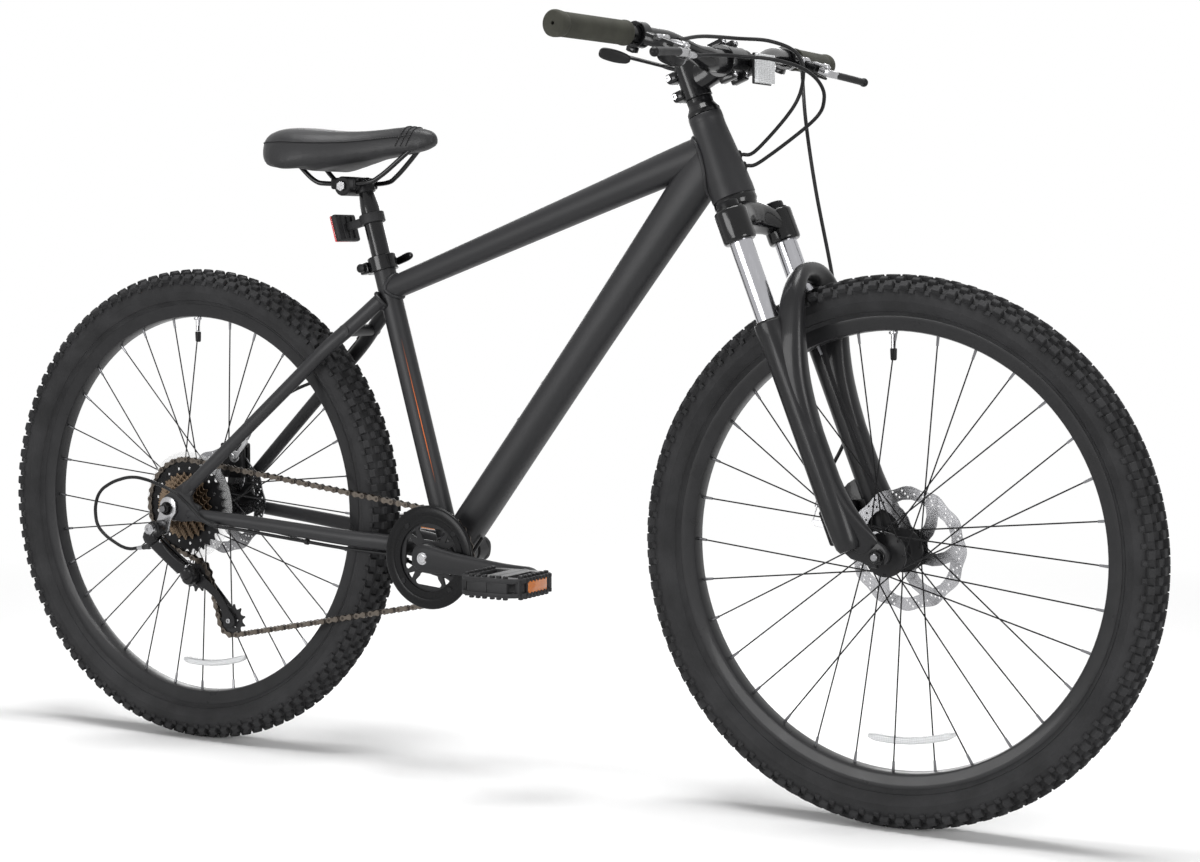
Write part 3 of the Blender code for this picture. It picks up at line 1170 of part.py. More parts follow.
outer_home = place("outer_link_axis", REAR_SIDE @ LINK)
inner_home = place("inner_link_axis", REAR_SIDE @ LINK @ Matrix.Translation((0, 0, -pin_gap)))
node("derailleur_outer_link", "black_metal", outer_home, [link_bar()])
node("derailleur_inner_link", "black_metal", inner_home, [link_bar()])
bolt_at = Matrix.Translation((hanger_bolt.x, hanger_bolt.y, 0))
knuckle_in = hanger_right + 0.0024 + JOINT_GAP
node("derailleur_upper_knuckle", "black_metal", frame_home,
     [drum(0.0112, knuckle_in, knuckle_in + 0.0200, 10, REAR_SIDE @ bolt_at),
      drum(0.0042, hanger_right - 0.0060, knuckle_in + 0.002, 8, REAR_SIDE @ bolt_at),
      block((-0.0190, -0.0080, -pin_gap - 0.0030), (-0.0036, 0.0080, 0.0030), REAR_SIDE @ LINK)])
knuckle_out = SPROCKET_RIGHT + plate_gap + 0.0015
far_pins = LINK @ Matrix.Translation((LINK_LENGTH, 0, 0))
lower_home = place("lower_knuckle_axis", REAR_SIDE @ far_pins)
into_far = far_pins.inverted()
guide_at = Matrix.Translation((guide.x, guide.y, 0))
node("derailleur_lower_knuckle", "black_metal", lower_home,
     [drum(0.0120, knuckle_out, knuckle_out + 0.0160, 12, into_far @ guide_at),
      block((0.0036, -0.0078, -pin_gap - 0.0030), (0.0150, 0.0078, 0.0030))])
cage_home = place("cage_axis", REAR_SIDE @ guide_at)
to_tension = tension - guide
cage_turn = Matrix.Rotation(atan2(to_tension.y, to_tension.x), 4, 'Z')


def cage_plate(bow):
    """Outline of a cage plate: round at both pulleys, with a slim waist that bows ahead of them."""
    waist = [(0.16, 0.40, 0.0085), (0.34, 0.85, 0.0066), (0.52, 1.0, 0.0058),
             (0.70, 0.85, 0.0062), (0.86, 0.40, 0.0084)]
    upper = [(share * CAGE_LENGTH, rise * bow + half) for share, rise, half in waist]
    lower = [(share * CAGE_LENGTH, rise * bow - half) for share, rise, half in reversed(waist)]
    near = [(0.0125 * cos(turn), 0.0125 * sin(turn)) for turn in (-1.6, -2.4, pi, 2.4, 1.6)]
    far = [(CAGE_LENGTH + 0.0115 * cos(turn), 0.0115 * sin(turn)) for turn in (1.4, 0.7, 0.0, -0.7, -1.4)]
    return near + upper + far + lower


node("derailleur_cage", "black_metal", cage_home,
     [plate([cage_plate(0.0110)], 0.0020, cage_turn @ Matrix.Translation((0, 0, SPROCKET_RIGHT + plate_gap))),
      plate([cage_plate(0.0040)], 0.0020, cage_turn @ Matrix.Translation((0, 0, SPROCKET_RIGHT - plate_gap))),
      drum(0.0030, SPROCKET_RIGHT - plate_gap, SPROCKET_RIGHT + plate_gap, 8),
      drum(0.0030, SPROCKET_RIGHT - plate_gap, SPROCKET_RIGHT + plate_gap, 8,
           Matrix.Translation((to_tension.x, to_tension.y, 0)))])


def pulley(index):
    """Toothed jockey wheel on its bolt."""
    at = Matrix.Translation((0, 0, SPROCKET_RIGHT))
    return [plate([gear(PULLEY_TEETH, phase(index)), circle(0.0034, 8)], 0.0028, at)]


node("guide_pulley", "black_plastic", place("guide_pulley_axis", REAR_SIDE @ guide_at), pulley(2))
node("tension_pulley", "black_plastic",
     place("tension_pulley_axis", REAR_SIDE @ Matrix.Translation((tension.x, tension.y, 0))), pulley(1))

# Brake calipers with their cable arms, and the housings.
front_slot = block((-0.036, FRONT_ROTOR_LEFT - 0.0019, 0.0), (0.06, FRONT_ROTOR_LEFT + 0.0019, 0.0780))
caliper_out = tab_left - 0.0035 - JOINT_GAP
node("front_caliper", "black_metal", lowers_home,
     [block((-0.0520, 0.0290, 0.0340), (-0.0030, caliper_out, 0.0840)),
      drum(0.0105, -caliper_out - 0.0040, -0.0500, 10, Matrix.Translation((-0.0465, 0, 0.0560)) @ SIDE)],
     [front_slot])
front_arm = Matrix.Translation((-0.0465, 0, 0.0560)) @ SIDE
arm_shape = [(0.0070 * cos(turn), 0.0070 * sin(turn)) for turn in (0.9, 0.0, -0.9, -1.8)] + [
    (-0.0070, -0.0010), (-0.0300, 0.0130), (-0.0330, 0.0180), (-0.0290, 0.0220), (-0.0020, 0.0085)]
node("front_caliper_arm", "bare_metal", place("front_caliper_arm_axis", STEER @ front_arm),
     [plate([arm_shape], 0.0040, Matrix.Translation((0, 0, -caliper_out - 0.0065)))])

rear_out = REAR_HUB_HALF - JOINT_GAP
rear_caliper_at = REAR_SIDE @ Matrix.Translation((0.0250, 0.0560, 0))
node("rear_caliper", "black_metal", frame_home,
     [block((-0.0230, -0.0200, -0.0612), (0.0210, 0.0330, -0.0400), rear_caliper_at),
      block((-0.0200, -0.0080, -rear_out), (-0.0040, 0.0120, -0.0600), rear_caliper_at)],
     [block((-0.05, -0.08, -REAR_ROTOR_LEFT - 0.0019), (0.05, 0.0255, -REAR_ROTOR_LEFT + 0.0019),
            rear_caliper_at)])
rear_arm = REAR_SIDE @ Matrix.Translation((0.0300, 0.0690, 0))
rear_arm_shape = [(0.0070 * cos(turn), 0.0070 * sin(turn)) for turn in (-2.2, 3.1, 2.2, 1.3)] + [
    (0.0080, 0.0080), (0.0240, 0.0270), (0.0270, 0.0260), (0.0270, 0.0220), (0.0080, -0.0020)]
node("rear_caliper_arm", "bare_metal", place("rear_caliper_arm_axis", rear_arm),
     [plate([rear_arm_shape], 0.0036, Matrix.Translation((0, 0, -0.0375)))])

HOUSING = 0.0025


def steer_point(ahead, left, high):
    return STEER @ Vector((ahead, left, high))


port_turn = radians(36)


def port_points(high):
    """The last two points of a housing that goes straight into the head tube's port."""
    share = (high - HEAD_TUBE_BASE - 0.016) / (0.5 * HEAD_TUBE_LENGTH - 0.016)
    port_reach = HEAD_TUBE_FOOT_RADIUS - 0.5 * share * (HEAD_TUBE_FOOT_RADIUS - HEAD_TUBE_TOP_RADIUS) + 0.0012
    return [steer_point(reach * cos(port_turn), reach * sin(port_turn), high)
            for reach in (port_reach + 0.022, port_reach)]


lever_barrel = STEER @ right_control @ Vector((0.0300, blade_pivot_in + 0.0305, 0.0060))
pod_barrel = STEER @ right_control @ Vector((0.0330, pod_high[1] + 0.0226, -0.010))
left_barrel = STEER @ left_control @ Vector((0.0300, -blade_pivot_in - 0.0305, 0.0060))
node("rear_brake_cable", "rubber", steer_home,
     [rod([into_steer @ Vector(spot) for spot in smooth_path(
         [lever_barrel, lever_barrel + Vector((0.002, 0.060, 0.009)),
          bar_centre + Vector((0.030, -0.030, 0.027)),
          bar_centre + Vector((0.058, 0.005, 0.025)), bar_centre + Vector((0.080, 0.035, 0.012)),
          bar_centre + Vector((0.086, 0.046, -0.015)), bar_centre + Vector((0.070, 0.052, -0.056)),
          *port_points(HEAD_TUBE_BASE + 0.0523)], 19)], HOUSING, 1)])
node("shift_cable", "rubber", steer_home,
     [rod([into_steer @ Vector(spot) for spot in smooth_path(
         [pod_barrel, pod_barrel + Vector((0.008, 0.036, 0.003)), bar_centre + Vector((0.046, -0.060, 0.002)),
          bar_centre + Vector((0.076, -0.028, -0.001)), bar_centre + Vector((0.099, 0.010, -0.010)),
          bar_centre + Vector((0.111, 0.038, -0.026)), bar_centre + Vector((0.111, 0.056, -0.048)),
          bar_centre + Vector((0.092, 0.064, -0.075)), *port_points(HEAD_TUBE_BASE + 0.0363)],
         20)], HOUSING, 1)])
arm_end = STEER @ front_arm @ Vector((-0.0300, 0.0215, -caliper_out - 0.0065))
node("front_brake_cable", "rubber", lowers_home,
     [rod([into_steer @ Vector(spot) for spot in smooth_path(
         [left_barrel, left_barrel + Vector((0.020, -0.030, -0.006)),
          bar_centre + Vector((0.0700, 0.088, -0.073)), bar_centre + Vector((0.0880, 0.082, -0.165)),
          bar_centre + Vector((0.1125, 0.084, -0.283)), steer_point(0.030, 0.0920, LEG_TOP - 0.0548),
          steer_point(0.006, 0.0920, LEG_TOP - 0.1448), steer_point(-0.050, 0.0740, 0.118),
          arm_end + 0.0022 * HEAD_UP], 17)], HOUSING, 1)])
under_port = BB + 0.075 * down_line - across_down * 0.0275
node("shift_cable_tail", "rubber", frame_home,
     [rod(smooth_path([under_port + Vector((0, -0.004, 0)), BB + Vector((0.012, -0.010, -0.0285)),
                       BB + Vector((-0.030, -0.020, -0.0245)),
                       BB + 0.16 * (REAR - BB) + Vector((0, -0.0345, -0.0125)),
                       BB + 0.36 * (REAR - BB) + Vector((0, -0.0475, -0.0135)),
                       BB + 0.70 * (REAR - BB) + Vector((0, -0.0610, -0.0135)),
                       BB + 0.83 * (REAR - BB) + Vector((0, -0.0790, -0.0100)),
                       REAR + Vector((0.046, -0.0850, 0.0080)), REAR + Vector((0.020, -0.0960, 0.030)),
                       REAR + Vector((-0.050, -0.0975, 0.045)), REAR + Vector((-0.112, -0.0975, 0.020)),
                       REAR + Vector((-0.118, -0.0960, -0.030)), REAR + Vector((-0.072, -0.0930, -0.060)),
                       REAR + Vector((-0.034, -0.0920, -0.0580))], 25), HOUSING, 1)])
stay_foot = REAR + stay_unit * (stay_line.length - 0.030)
node("rear_brake_cable_tail", "rubber", frame_home,
     [rod(smooth_path([stay_foot + Vector((0.019, 0.0280, 0.028)), stay_foot + Vector((0.000, 0.0355, 0.0130)),
                       REAR + 0.340 * stay_unit + Vector((-0.0081, 0.0490, 0.0098)),
                       REAR + 0.280 * stay_unit + Vector((-0.0076, 0.0550, 0.0101)),
                       REAR + Vector((0.125, 0.0560, 0.168)), REAR + Vector((0.078, 0.0440, 0.134)),
                       REAR + Vector((0.0558, 0.0378, 0.0962))], 14), HOUSING, 1)])
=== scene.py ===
"""Looks of a hardtail mountain bike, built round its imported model.

Metres. X points forward, Y to the rider's left, Z up, and the drive side is -Y.
"""
import json
from math import atan2, ceil, cos, pi, radians, sin, sqrt

import bmesh
import bpy
from mathutils import Matrix, Vector
from mathutils.bvhtree import BVHTree


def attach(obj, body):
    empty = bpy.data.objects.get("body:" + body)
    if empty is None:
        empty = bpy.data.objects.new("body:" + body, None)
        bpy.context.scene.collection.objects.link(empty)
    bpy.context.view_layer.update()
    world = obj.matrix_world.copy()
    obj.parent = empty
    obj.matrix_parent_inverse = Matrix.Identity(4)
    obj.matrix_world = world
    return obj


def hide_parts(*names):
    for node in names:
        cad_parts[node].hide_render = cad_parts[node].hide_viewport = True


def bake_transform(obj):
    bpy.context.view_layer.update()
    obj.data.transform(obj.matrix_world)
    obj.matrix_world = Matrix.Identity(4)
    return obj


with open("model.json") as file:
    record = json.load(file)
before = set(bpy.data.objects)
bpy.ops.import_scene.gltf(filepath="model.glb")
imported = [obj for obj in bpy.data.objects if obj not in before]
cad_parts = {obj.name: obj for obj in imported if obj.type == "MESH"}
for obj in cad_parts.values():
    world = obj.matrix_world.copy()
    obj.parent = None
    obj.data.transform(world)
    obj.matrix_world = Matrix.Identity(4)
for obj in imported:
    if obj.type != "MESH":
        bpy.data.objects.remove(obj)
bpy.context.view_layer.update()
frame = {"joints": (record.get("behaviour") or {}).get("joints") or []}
joints = {joint["name"]: joint for joint in frame["joints"]}

# The frame is welded from hydroformed aluminium tubes and powder-coated in one satin charcoal.
# The coat has a fine orange-peel skin, and is a shade uneven over the length of a tube.
rear_axle = Vector(joints["rear_wheel_spin"]["pos_m"])
front_axle = Vector(joints["front_wheel_spin"]["pos_m"])
crank_axle = Vector(joints["crank_spin"]["pos_m"])


class Wire:
    """A socket in a finish. Python's operators on it add Math nodes."""

    def __init__(self, finish, socket):
        self.finish = finish
        self.socket = socket

    def maths(self, operation, first, second=0.0):
        return self.finish.node("Math", {"operation": operation}, {0: first, 1: second})

    def __add__(self, other):
        return self.maths('ADD', self, other)

    def __sub__(self, other):
        return self.maths('SUBTRACT', self, other)

    def __mul__(self, other):
        return self.maths('MULTIPLY', self, other)

    def __lt__(self, other):
        return self.maths('LESS_THAN', self, other)

    def __mod__(self, other):
        return self.maths('FLOORED_MODULO', self, other)

    def __abs__(self):
        return self.maths('ABSOLUTE', self)


class Finish:
    """A procedural material on one Principled surface."""

    def __init__(self, name, slot, **fixed):
        self.slot = slot
        self.material = bpy.data.materials.new(name)
        self.material.use_nodes = True
        self.tree = self.material.node_tree
        self.surface = self.tree.nodes["Principled BSDF"]
        for socket, value in fixed.items():
            self.feed(self.surface.inputs[socket.replace("_", " ")], value)

    def feed(self, socket, value):
        if isinstance(value, Wire):
            self.tree.links.new(value.socket, socket)
        else:
            socket.default_value = value

    def node(self, kind, settings, inputs, output=0):
        made = self.tree.nodes.new("ShaderNode" + kind)
        for setting, value in settings.items():
            setattr(made, setting, value)
        for socket, value in inputs.items():
            self.feed(made.inputs[socket], value)
        return Wire(self, made.outputs[output])

    def position(self, axis=None):
        spot = self.node("TexCoord", {}, {}, "Object")
        if axis is None:
            return spot
        return self.node("VectorMath", {"operation": 'DOT_PRODUCT'}, {0: spot, 1: axis}, "Value")

    def noise(self, scale, detail=3.0, stretch=(1, 1, 1)):
        spot = self.node("VectorMath", {"operation": 'MULTIPLY'}, {0: self.position(), 1: stretch})
        return self.node("TexNoise", {}, {"Vector": spot, "Scale": scale, "Detail": detail}, "Fac")

    def between(self, share, low, high):
        """A colour between two, by a value from 0 to 1."""
        return self.node("Mix", {"data_type": 'RGBA'}, {0: share, 6: (*low, 1), 7: (*high, 1)}, 2)

    def spread(self, wire, low, high, to_low, to_high):
        """A value moved from one range to another and kept inside it."""
        return self.node("MapRange", {}, {0: wire, 1: low, 2: high, 3: to_low, 4: to_high})

    def coat(self, colour=None, roughness=None, height=None, depth=0.0002):
        if colour is not None:
            self.feed(self.surface.inputs["Base Color"], colour)
        if roughness is not None:
            self.feed(self.surface.inputs["Roughness"], roughness)
        if height is not None:
            bump = self.node("Bump", {}, {"Height": height, "Strength": 1.0, "Distance": depth})
            self.feed(self.surface.inputs["Normal"], bump)
        return self


def charcoal(name):
    """Satin charcoal powder coat."""
    finish = Finish(name, "frame_paint", Specular_IOR_Level=0.25)
    cloud = finish.noise(9, 2)
    peel = finish.noise(1400, 2)
    return finish.coat(finish.between(cloud, (0.013, 0.013, 0.0141), (0.0178, 0.0178, 0.0191)),
        finish.spread(peel, 0.3, 0.7, 0.36, 0.48), peel, 0.00012)


frame_paint = charcoal("charcoal_paint")


def axes_at(origin, ahead, up):
    """A matrix with its origin at a point, X ahead, Y left and Z up."""
    turned_axes = Matrix((ahead, up.cross(ahead), up)).transposed().to_4x4()
    return Matrix.Translation(origin) @ turned_axes


head_up = Vector(joints["steering"]["axis"])
seat_up = Vector(joints["seatpost_slide"]["axis"])
steer = axes_at(Vector(joints["steering"]["pos_m"]), Vector((head_up.z, 0, -head_up.x)), head_up)
seat = axes_at(crank_axle, Vector((seat_up.z, 0, -seat_up.x)), seat_up)


def at_point(x, y, z=0.0):
    return Matrix.Translation((x, y, z))


def swung(degrees, axis):
    return Matrix.Rotation(radians(degrees), 4, axis)


side_on = swung(90, 'X')


def sideways(axle):
    """A matrix whose Z runs to the right through an axle, X ahead and Y up."""
    return at_point(axle.x, 0, axle.z) @ side_on


bb_side, rear_side, front_side = sideways(crank_axle), sideways(rear_axle), sideways(front_axle)


def polar(radius, turn, x=0.0, y=0.0):
    return (x + radius * cos(turn), y + radius * sin(turn))


def moved(work, at):
    bmesh.ops.transform(work, matrix=at, verts=work.verts)
    return work


def soften(work, edges, size, segments=1):
    """Rounds or breaks edges."""
    bmesh.ops.bevel(work, geom=edges, offset=size, offset_type='OFFSET', segments=segments, profile=0.5,
        affect='EDGES', material=-1)


def put(name, data):
    """A new object in the scene."""
    made = bpy.data.objects.new(name, data)
    bpy.context.scene.collection.objects.link(made)
    return made


def shown_mesh(thing):
    """A mesh of an object with all its settings and modifiers at work."""
    return bpy.data.meshes.new_from_object(thing.evaluated_get(bpy.context.evaluated_depsgraph_get()))


def flow(knots, count, straight=False):
    """Evenly counted points on a smooth curve through knots of any number of values."""
    rows = [knots[0]] + list(knots) + [knots[-1]]
    if straight:
        rows[0] = 2 * knots[0] - knots[1]
        rows[-1] = 2 * knots[-1] - knots[-2]
    spans = len(knots) - 1
    path = []
    for step in range(count):
        place = min(step / (count - 1) * spans, spans - 1e-9)
        span = int(place)
        part = place - span
        row = []
        for a, b, c, d in zip(*rows[span:span + 4]):
            row.append(0.5 * (2 * b + (c - a) * part + (2 * a - 5 * b + 4 * c - d) * part ** 2
                + (3 * b - a - 3 * c + d) * part ** 3))
        path.append(tuple(row))
    return path


def ring_places(stations, across, closed=False):
    """A matrix for each station (x, y, z, half width, half depth), its Z along the run."""
    centres = [Vector(row[:3]) for row in stations]
    last = len(centres) - 1
    places = []
    for index, row in enumerate(stations):
        before = centres[index - 1] if index or closed else centres[0]
        after = centres[(index + 1) % len(centres)] if index < last or closed else centres[last]
        along = (after - before).normalized()
        depth = along.cross(Vector(across)).normalized()
        width = depth.cross(along)
        turn = Matrix((width, depth, along)).transposed().to_4x4()
        places.append(Matrix.Translation(centres[index]) @ turn @ Matrix.Diagonal((row[3], row[4], 1, 1)))
    return places


def drawn(stations, sides=32, across=(0, 1, 0), square=2.0, closed=False):
    """A tube drawn through stations; square above 2 flattens its sides towards a rounded box."""
    places = ring_places(stations, across, closed)
    work = bmesh.new()
    bmesh.ops.create_circle(work, cap_ends=False, segments=sides, radius=1)
    for vert in work.verts:
        reach = (abs(vert.co.x) ** square + abs(vert.co.y) ** square) ** (1 / square)
        vert.co = vert.co / reach
    bmesh.ops.transform(work, matrix=places[0], verts=work.verts)
    first = list(work.edges)
    ring = first
    for before, after in zip(places, places[1:]):
        made = bmesh.ops.extrude_edge_only(work, edges=ring)["geom"]
        ring = [item for item in made if isinstance(item, bmesh.types.BMEdge)]
        verts = [item for item in made if isinstance(item, bmesh.types.BMVert)]
        bmesh.ops.transform(work, matrix=after @ before.inverted(), verts=verts)
    if closed:
        bmesh.ops.bridge_loops(work, edges=first + ring)
    else:
        bmesh.ops.contextual_create(work, geom=first)
        bmesh.ops.contextual_create(work, geom=ring)
    return work


def rod(points, radius, sides=16, across=(0, 1, 0)):
    """A round bar of one thickness through points."""
    return drawn([(*spot, radius, radius) for spot in points], sides, across)


def turned(profile, at=Matrix(), steps=48, closed=False):
    """A piece turned round Z from (radius, height) points, then put in place."""
    work = bmesh.new()
    verts = [work.verts.new((radius, 0, height)) for radius, height in profile]
    edges = [work.edges.new(pair) for pair in zip(verts, verts[1:])]
    if closed:
        edges.append(work.edges.new((verts[-1], verts[0])))
    bmesh.ops.spin(work, geom=verts + edges, cent=(0, 0, 0), axis=(0, 0, 1), angle=2 * pi, steps=steps,
        use_merge=True)
    bmesh.ops.remove_doubles(work, verts=work.verts, dist=1e-6)
    return moved(work, at)


def drum(radius, low, high, at=Matrix(), steps=32, edge=0.0006):
    """A cylinder round Z with its rims broken."""
    return turned([(0, high), (radius - edge, high), (radius, high - edge), (radius, low + edge),
        (radius - edge, low), (0, low)], at, steps)


def slab(outlines, thickness, at=Matrix(), edge=0.0006, segments=1):
    """A flat plate cut to outlines drawn in XY, the later ones as holes, with its edges broken."""
    curve = bpy.data.curves.new("outline", 'CURVE')
    curve.dimensions = '2D'
    curve.fill_mode = 'BOTH'
    curve.extrude = thickness / 2 - edge
    curve.bevel_depth = edge
    curve.bevel_resolution = segments - 1
    curve.offset = -edge
    for outline in outlines:
        spline = curve.splines.new('POLY')
        spline.points.add(len(outline) - 1)
        spline.use_cyclic_u = True
        for point, spot in zip(spline.points, outline):
            point.co = (*spot, 0, 1)
    loose = put("outline", curve)
    mesh = shown_mesh(loose)
    bpy.data.objects.remove(loose)
    work = bmesh.new()
    work.from_mesh(mesh)
    bpy.data.meshes.remove(mesh)
    bmesh.ops.remove_doubles(work, verts=work.verts, dist=2e-6)
    return moved(work, at)


def brick(low, high, at=Matrix(), edge=0.0015, segments=2):
    """A block between two corners with rounded edges."""
    work = bmesh.new()
    bmesh.ops.create_cube(work, size=1)
    bmesh.ops.scale(work, vec=Vector(high) - Vector(low), verts=work.verts)
    bmesh.ops.translate(work, vec=(Vector(high) + Vector(low)) / 2, verts=work.verts)
    soften(work, work.edges, edge, segments)
    return moved(work, at)


def ring_of(radius, count, x=0.0, y=0.0, start=0.0):
    """Points of a circle drawn in XY."""
    return [polar(radius, start + 2 * pi * step / count, x, y) for step in range(count)]


def piece(name, body, parts, stands_for=(), sharp=38):
    """One object of the bike from worked shapes, each with its finish, riding on a body."""
    whole = bmesh.new()
    finishes = []
    for work, finish in parts:
        if finish not in finishes:
            finishes.append(finish)
        bmesh.ops.recalc_face_normals(work, faces=work.faces)
        for face in work.faces:
            face.material_index = finishes.index(finish)
        part = bpy.data.meshes.new("part")
        work.to_mesh(part)
        work.free()
        whole.from_mesh(part)
        bpy.data.meshes.remove(part)
    mesh = bpy.data.meshes.new(name)
    whole.to_mesh(mesh)
    whole.free()
    for finish in finishes:
        mesh.materials.append(finish.material)
    mesh.shade_smooth()
    mesh.set_sharp_from_angle(angle=radians(sharp))
    made = put(name, mesh)
    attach(made, body)
    if stands_for:
        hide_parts(*stands_for)
    return made


# Head tube: tapered, wide at the lower bearing, with a plain front and a cable port on its left.
head_base, head_top = 0.4997, 0.616
head_rows = [(0.0222, head_top), (0.0228, head_top - 0.0008), (0.0228, head_top - 0.009),
    (0.0225, head_top - 0.01), (0.0227, head_top - 0.02), (0.0236, 0.586), (0.025, 0.569), (0.0266, 0.55),
    (0.028, 0.53), (0.0287, 0.516), (0.0292, 0.512), (0.0292, head_base + 0.001), (0.0284, head_base)]
head_wall = [(0.0185, head_base), (0.0185, head_top)]
piece("head_tube_shell", "frame", [(turned(head_rows + head_wall, steer, 64, closed=True), frame_paint)],
    ["head_tube"])


# Main tubes: a big down tube swollen towards the head, a flatter top tube, a round seat tube in
# the threaded bracket shell. A thin stripe in faded orange runs down the seat tube's flank.
def mirrored(half):
    """Half of a section with its mirror image."""
    return half + [(reach, -out) for reach, out in reversed(half)]


head_join = steer @ Vector((0, 0, head_base + 0.58 * (head_top - head_base)))
down_line = head_join - crank_axle
across_down = Vector((-down_line.z, 0, down_line.x)).normalized()
down_rows = [(*(crank_axle + share * down_line), wide, deep) for share, wide,
    deep in ((0.006, 0.027, 0.024), (0.12, 0.0265, 0.0245), (0.34, 0.025, 0.0245), (0.58, 0.0245, 0.0255),
    (0.85, 0.0235, 0.029), (1.0, 0.0215, 0.032))]
top_foot = seat @ Vector((0, 0, 0.382))
top_line = head_join + 0.004 * head_up - top_foot
top_rows = [(*(top_foot + share * top_line), wide, deep) for share, wide,
    deep in ((0.0, 0.0165, 0.0165), (0.1, 0.0168, 0.0168), (0.64, 0.0195, 0.0205), (0.87, 0.0205, 0.0228),
    (1.0, 0.02, 0.023))]
down_rows = flow(down_rows, 40)
top_rows = flow(top_rows, 40)
shell_radius, shell_half = 0.0205, 0.0365
seat_tube_radius, seat_tube_length = 0.0159, 0.428
striped = charcoal("striped_charcoal")
seat_ahead = Vector((seat_up.z, 0, -seat_up.x))
up_tube = striped.position(seat_up) - seat_up.dot(crank_axle)
flank = striped.node("Math", {"operation": 'ARCTAN2'}, {0: striped.position((0, -1, 0)),
    1: striped.position(seat_ahead) - seat_ahead.dot(crank_axle)})
on_stripe = abs(flank - 0.95) < 0.035
fade = striped.spread(up_tube, 0.1, 0.16, 0.0, 1.0) * striped.spread(up_tube, 0.2, 0.31, 1.0, 0.0)
old_colour = Wire(striped, striped.surface.inputs["Base Color"].links[0].from_socket)
stripe_mix = striped.node("Mix", {"data_type": 'RGBA'}, {0: on_stripe * fade, 6: old_colour,
    7: (0.55, 0.13, 0.03, 1)}, 2)
striped.coat(stripe_mix)
piece("down_tube_hydroformed", "frame", [(drawn(down_rows, 48, square=2.3), frame_paint)], ["down_tube"])
piece("top_tube_hydroformed", "frame", [(drawn(top_rows, 40, square=2.2), frame_paint)], ["top_tube"])
seat_tube_rows = [(seat_tube_radius, 0.0), (seat_tube_radius, seat_tube_length - 0.001),
    (seat_tube_radius - 0.0008, seat_tube_length), (0.014, seat_tube_length),
    (0.014, seat_tube_length - 0.02), (0.0, seat_tube_length - 0.02)]
shell_rows = mirrored([(0.0095, shell_half), (shell_radius - 0.001, shell_half),
    (shell_radius, shell_half - 0.001)])
piece("seat_tube_and_shell", "frame", [(turned(seat_tube_rows, seat, 48), striped),
    (turned(shell_rows, bb_side, 48, closed=True), frame_paint)], ["seat_tube"])

# Stays: slim tapered tubes that run out into forged dropout plates; a round bridge ties the
# seatstays behind the seat tube.
stay_top = seat @ Vector((-0.006, 0, 0.37))
stay_line = Vector((stay_top.x, 0, stay_top.z)) - rear_axle
stay_unit = stay_line.normalized()
tab_reach = 0.052
hub_half, plate_thick = 0.0675, 0.007
chain_run = rear_axle - crank_axle


def chainstay_rows(side):
    rows = []
    for share, left, wide, deep, drop in ((0.02, 0.028, 0.009, 0.0125, 0.0),
            (0.12, 0.0315, 0.0085, 0.0122, 0.004), (0.22, 0.0385, 0.008, 0.0118, 0.004),
            (0.34, 0.0465, 0.008, 0.0112, 0.002), (0.65, 0.059, 0.008, 0.01, 0.0),
            (0.88, 0.0695, 0.0072, 0.0095, -0.003), (0.93, 0.071, 0.0042, 0.0088, -0.003)):
        spot = crank_axle + share * chain_run
        rows.append((spot.x, side * left, spot.z + drop, wide, deep))
    return flow(rows, 36)


def seatstay_rows(side):
    foot = rear_axle + tab_reach * stay_unit
    rows = []
    for share, left, wide, deep in ((0.0, 0.0165, 0.0085, 0.011), (0.12, 0.027, 0.0085, 0.0108),
            (0.25, 0.042, 0.0082, 0.0105), (0.4, 0.048, 0.008, 0.01), (0.75, 0.061, 0.0075, 0.0095),
            (0.97, 0.07, 0.007, 0.0095), (1.04, 0.071, 0.004, 0.0085)):
        spot = Vector((stay_top.x, 0, stay_top.z)).lerp(foot, share)
        rows.append((spot.x, side * left, spot.z, wide, deep))
    return flow(rows, 40)


def dropout_outline(extra):
    """Forged plate round the axle: chainstay tab, axle slot, seatstay tab and a hollow web."""
    along = Vector((stay_unit.x, stay_unit.z))
    over = Vector((-along.y, along.x))
    slot = 0.0056
    return [(0.056, 0.006), (0.056, -0.014), (0.038, -0.0175), (0.022, -0.019), (slot, -0.017),
        (slot, 0.0), (slot * 0.5, slot * 0.87), (-slot * 0.5, slot * 0.87), (-slot, 0.0), (-slot, -0.016),
        (-0.012, -0.013), (-0.0155, -0.005), (-0.016, 0.004), (-0.013, 0.012), (-0.008, 0.018), *extra,
        tuple(tab_reach * along + 0.01 * over), tuple(tab_reach * along - 0.01 * over), (0.0395, 0.019),
        (0.042, 0.011)]


plate_middle = hub_half + plate_thick / 2
brake_tab = [(0.004, 0.06), (0.022, 0.072)]
for name, side, tab in (("right", -1, []), ("left", 1, brake_tab)):
    plate_at = rear_side @ at_point(0, 0, -side * plate_middle)
    piece("chainstay_" + name + "_forged", "frame", [(drawn(chainstay_rows(side), 28), frame_paint),
        (slab([dropout_outline(tab)], plate_thick, plate_at, 0.0012, 2), frame_paint)],
        ["chainstay_" + name])
bridge = rear_axle + 0.393 * stay_unit
bridge_half, bridge_radius = 0.04, 0.0085
bridge_rod = rod([bridge + Vector((0, share * bridge_half, 0)) for share in (-1, 1)], bridge_radius, 24,
    (1, 0, 0))
piece("seatstays_tapered", "frame", [(drawn(seatstay_rows(-1), 28), frame_paint),
    (drawn(seatstay_rows(1), 28), frame_paint), (bridge_rod, frame_paint)], ["seatstays"])


# Welds: a rippled bead of filler lies in the corner all round each joint of the frame.
def from_line(point, origin, direction):
    offset = point - origin
    return (offset - offset.dot(direction) * direction).length


def head_radius(high):
    for (low_radius, low), (high_radius, top) in zip(reversed(head_rows), list(reversed(head_rows))[1:]):
        if low <= high <= top and top > low:
            return low_radius + (high_radius - low_radius) * (high - low) / (top - low)
    return 0.0292


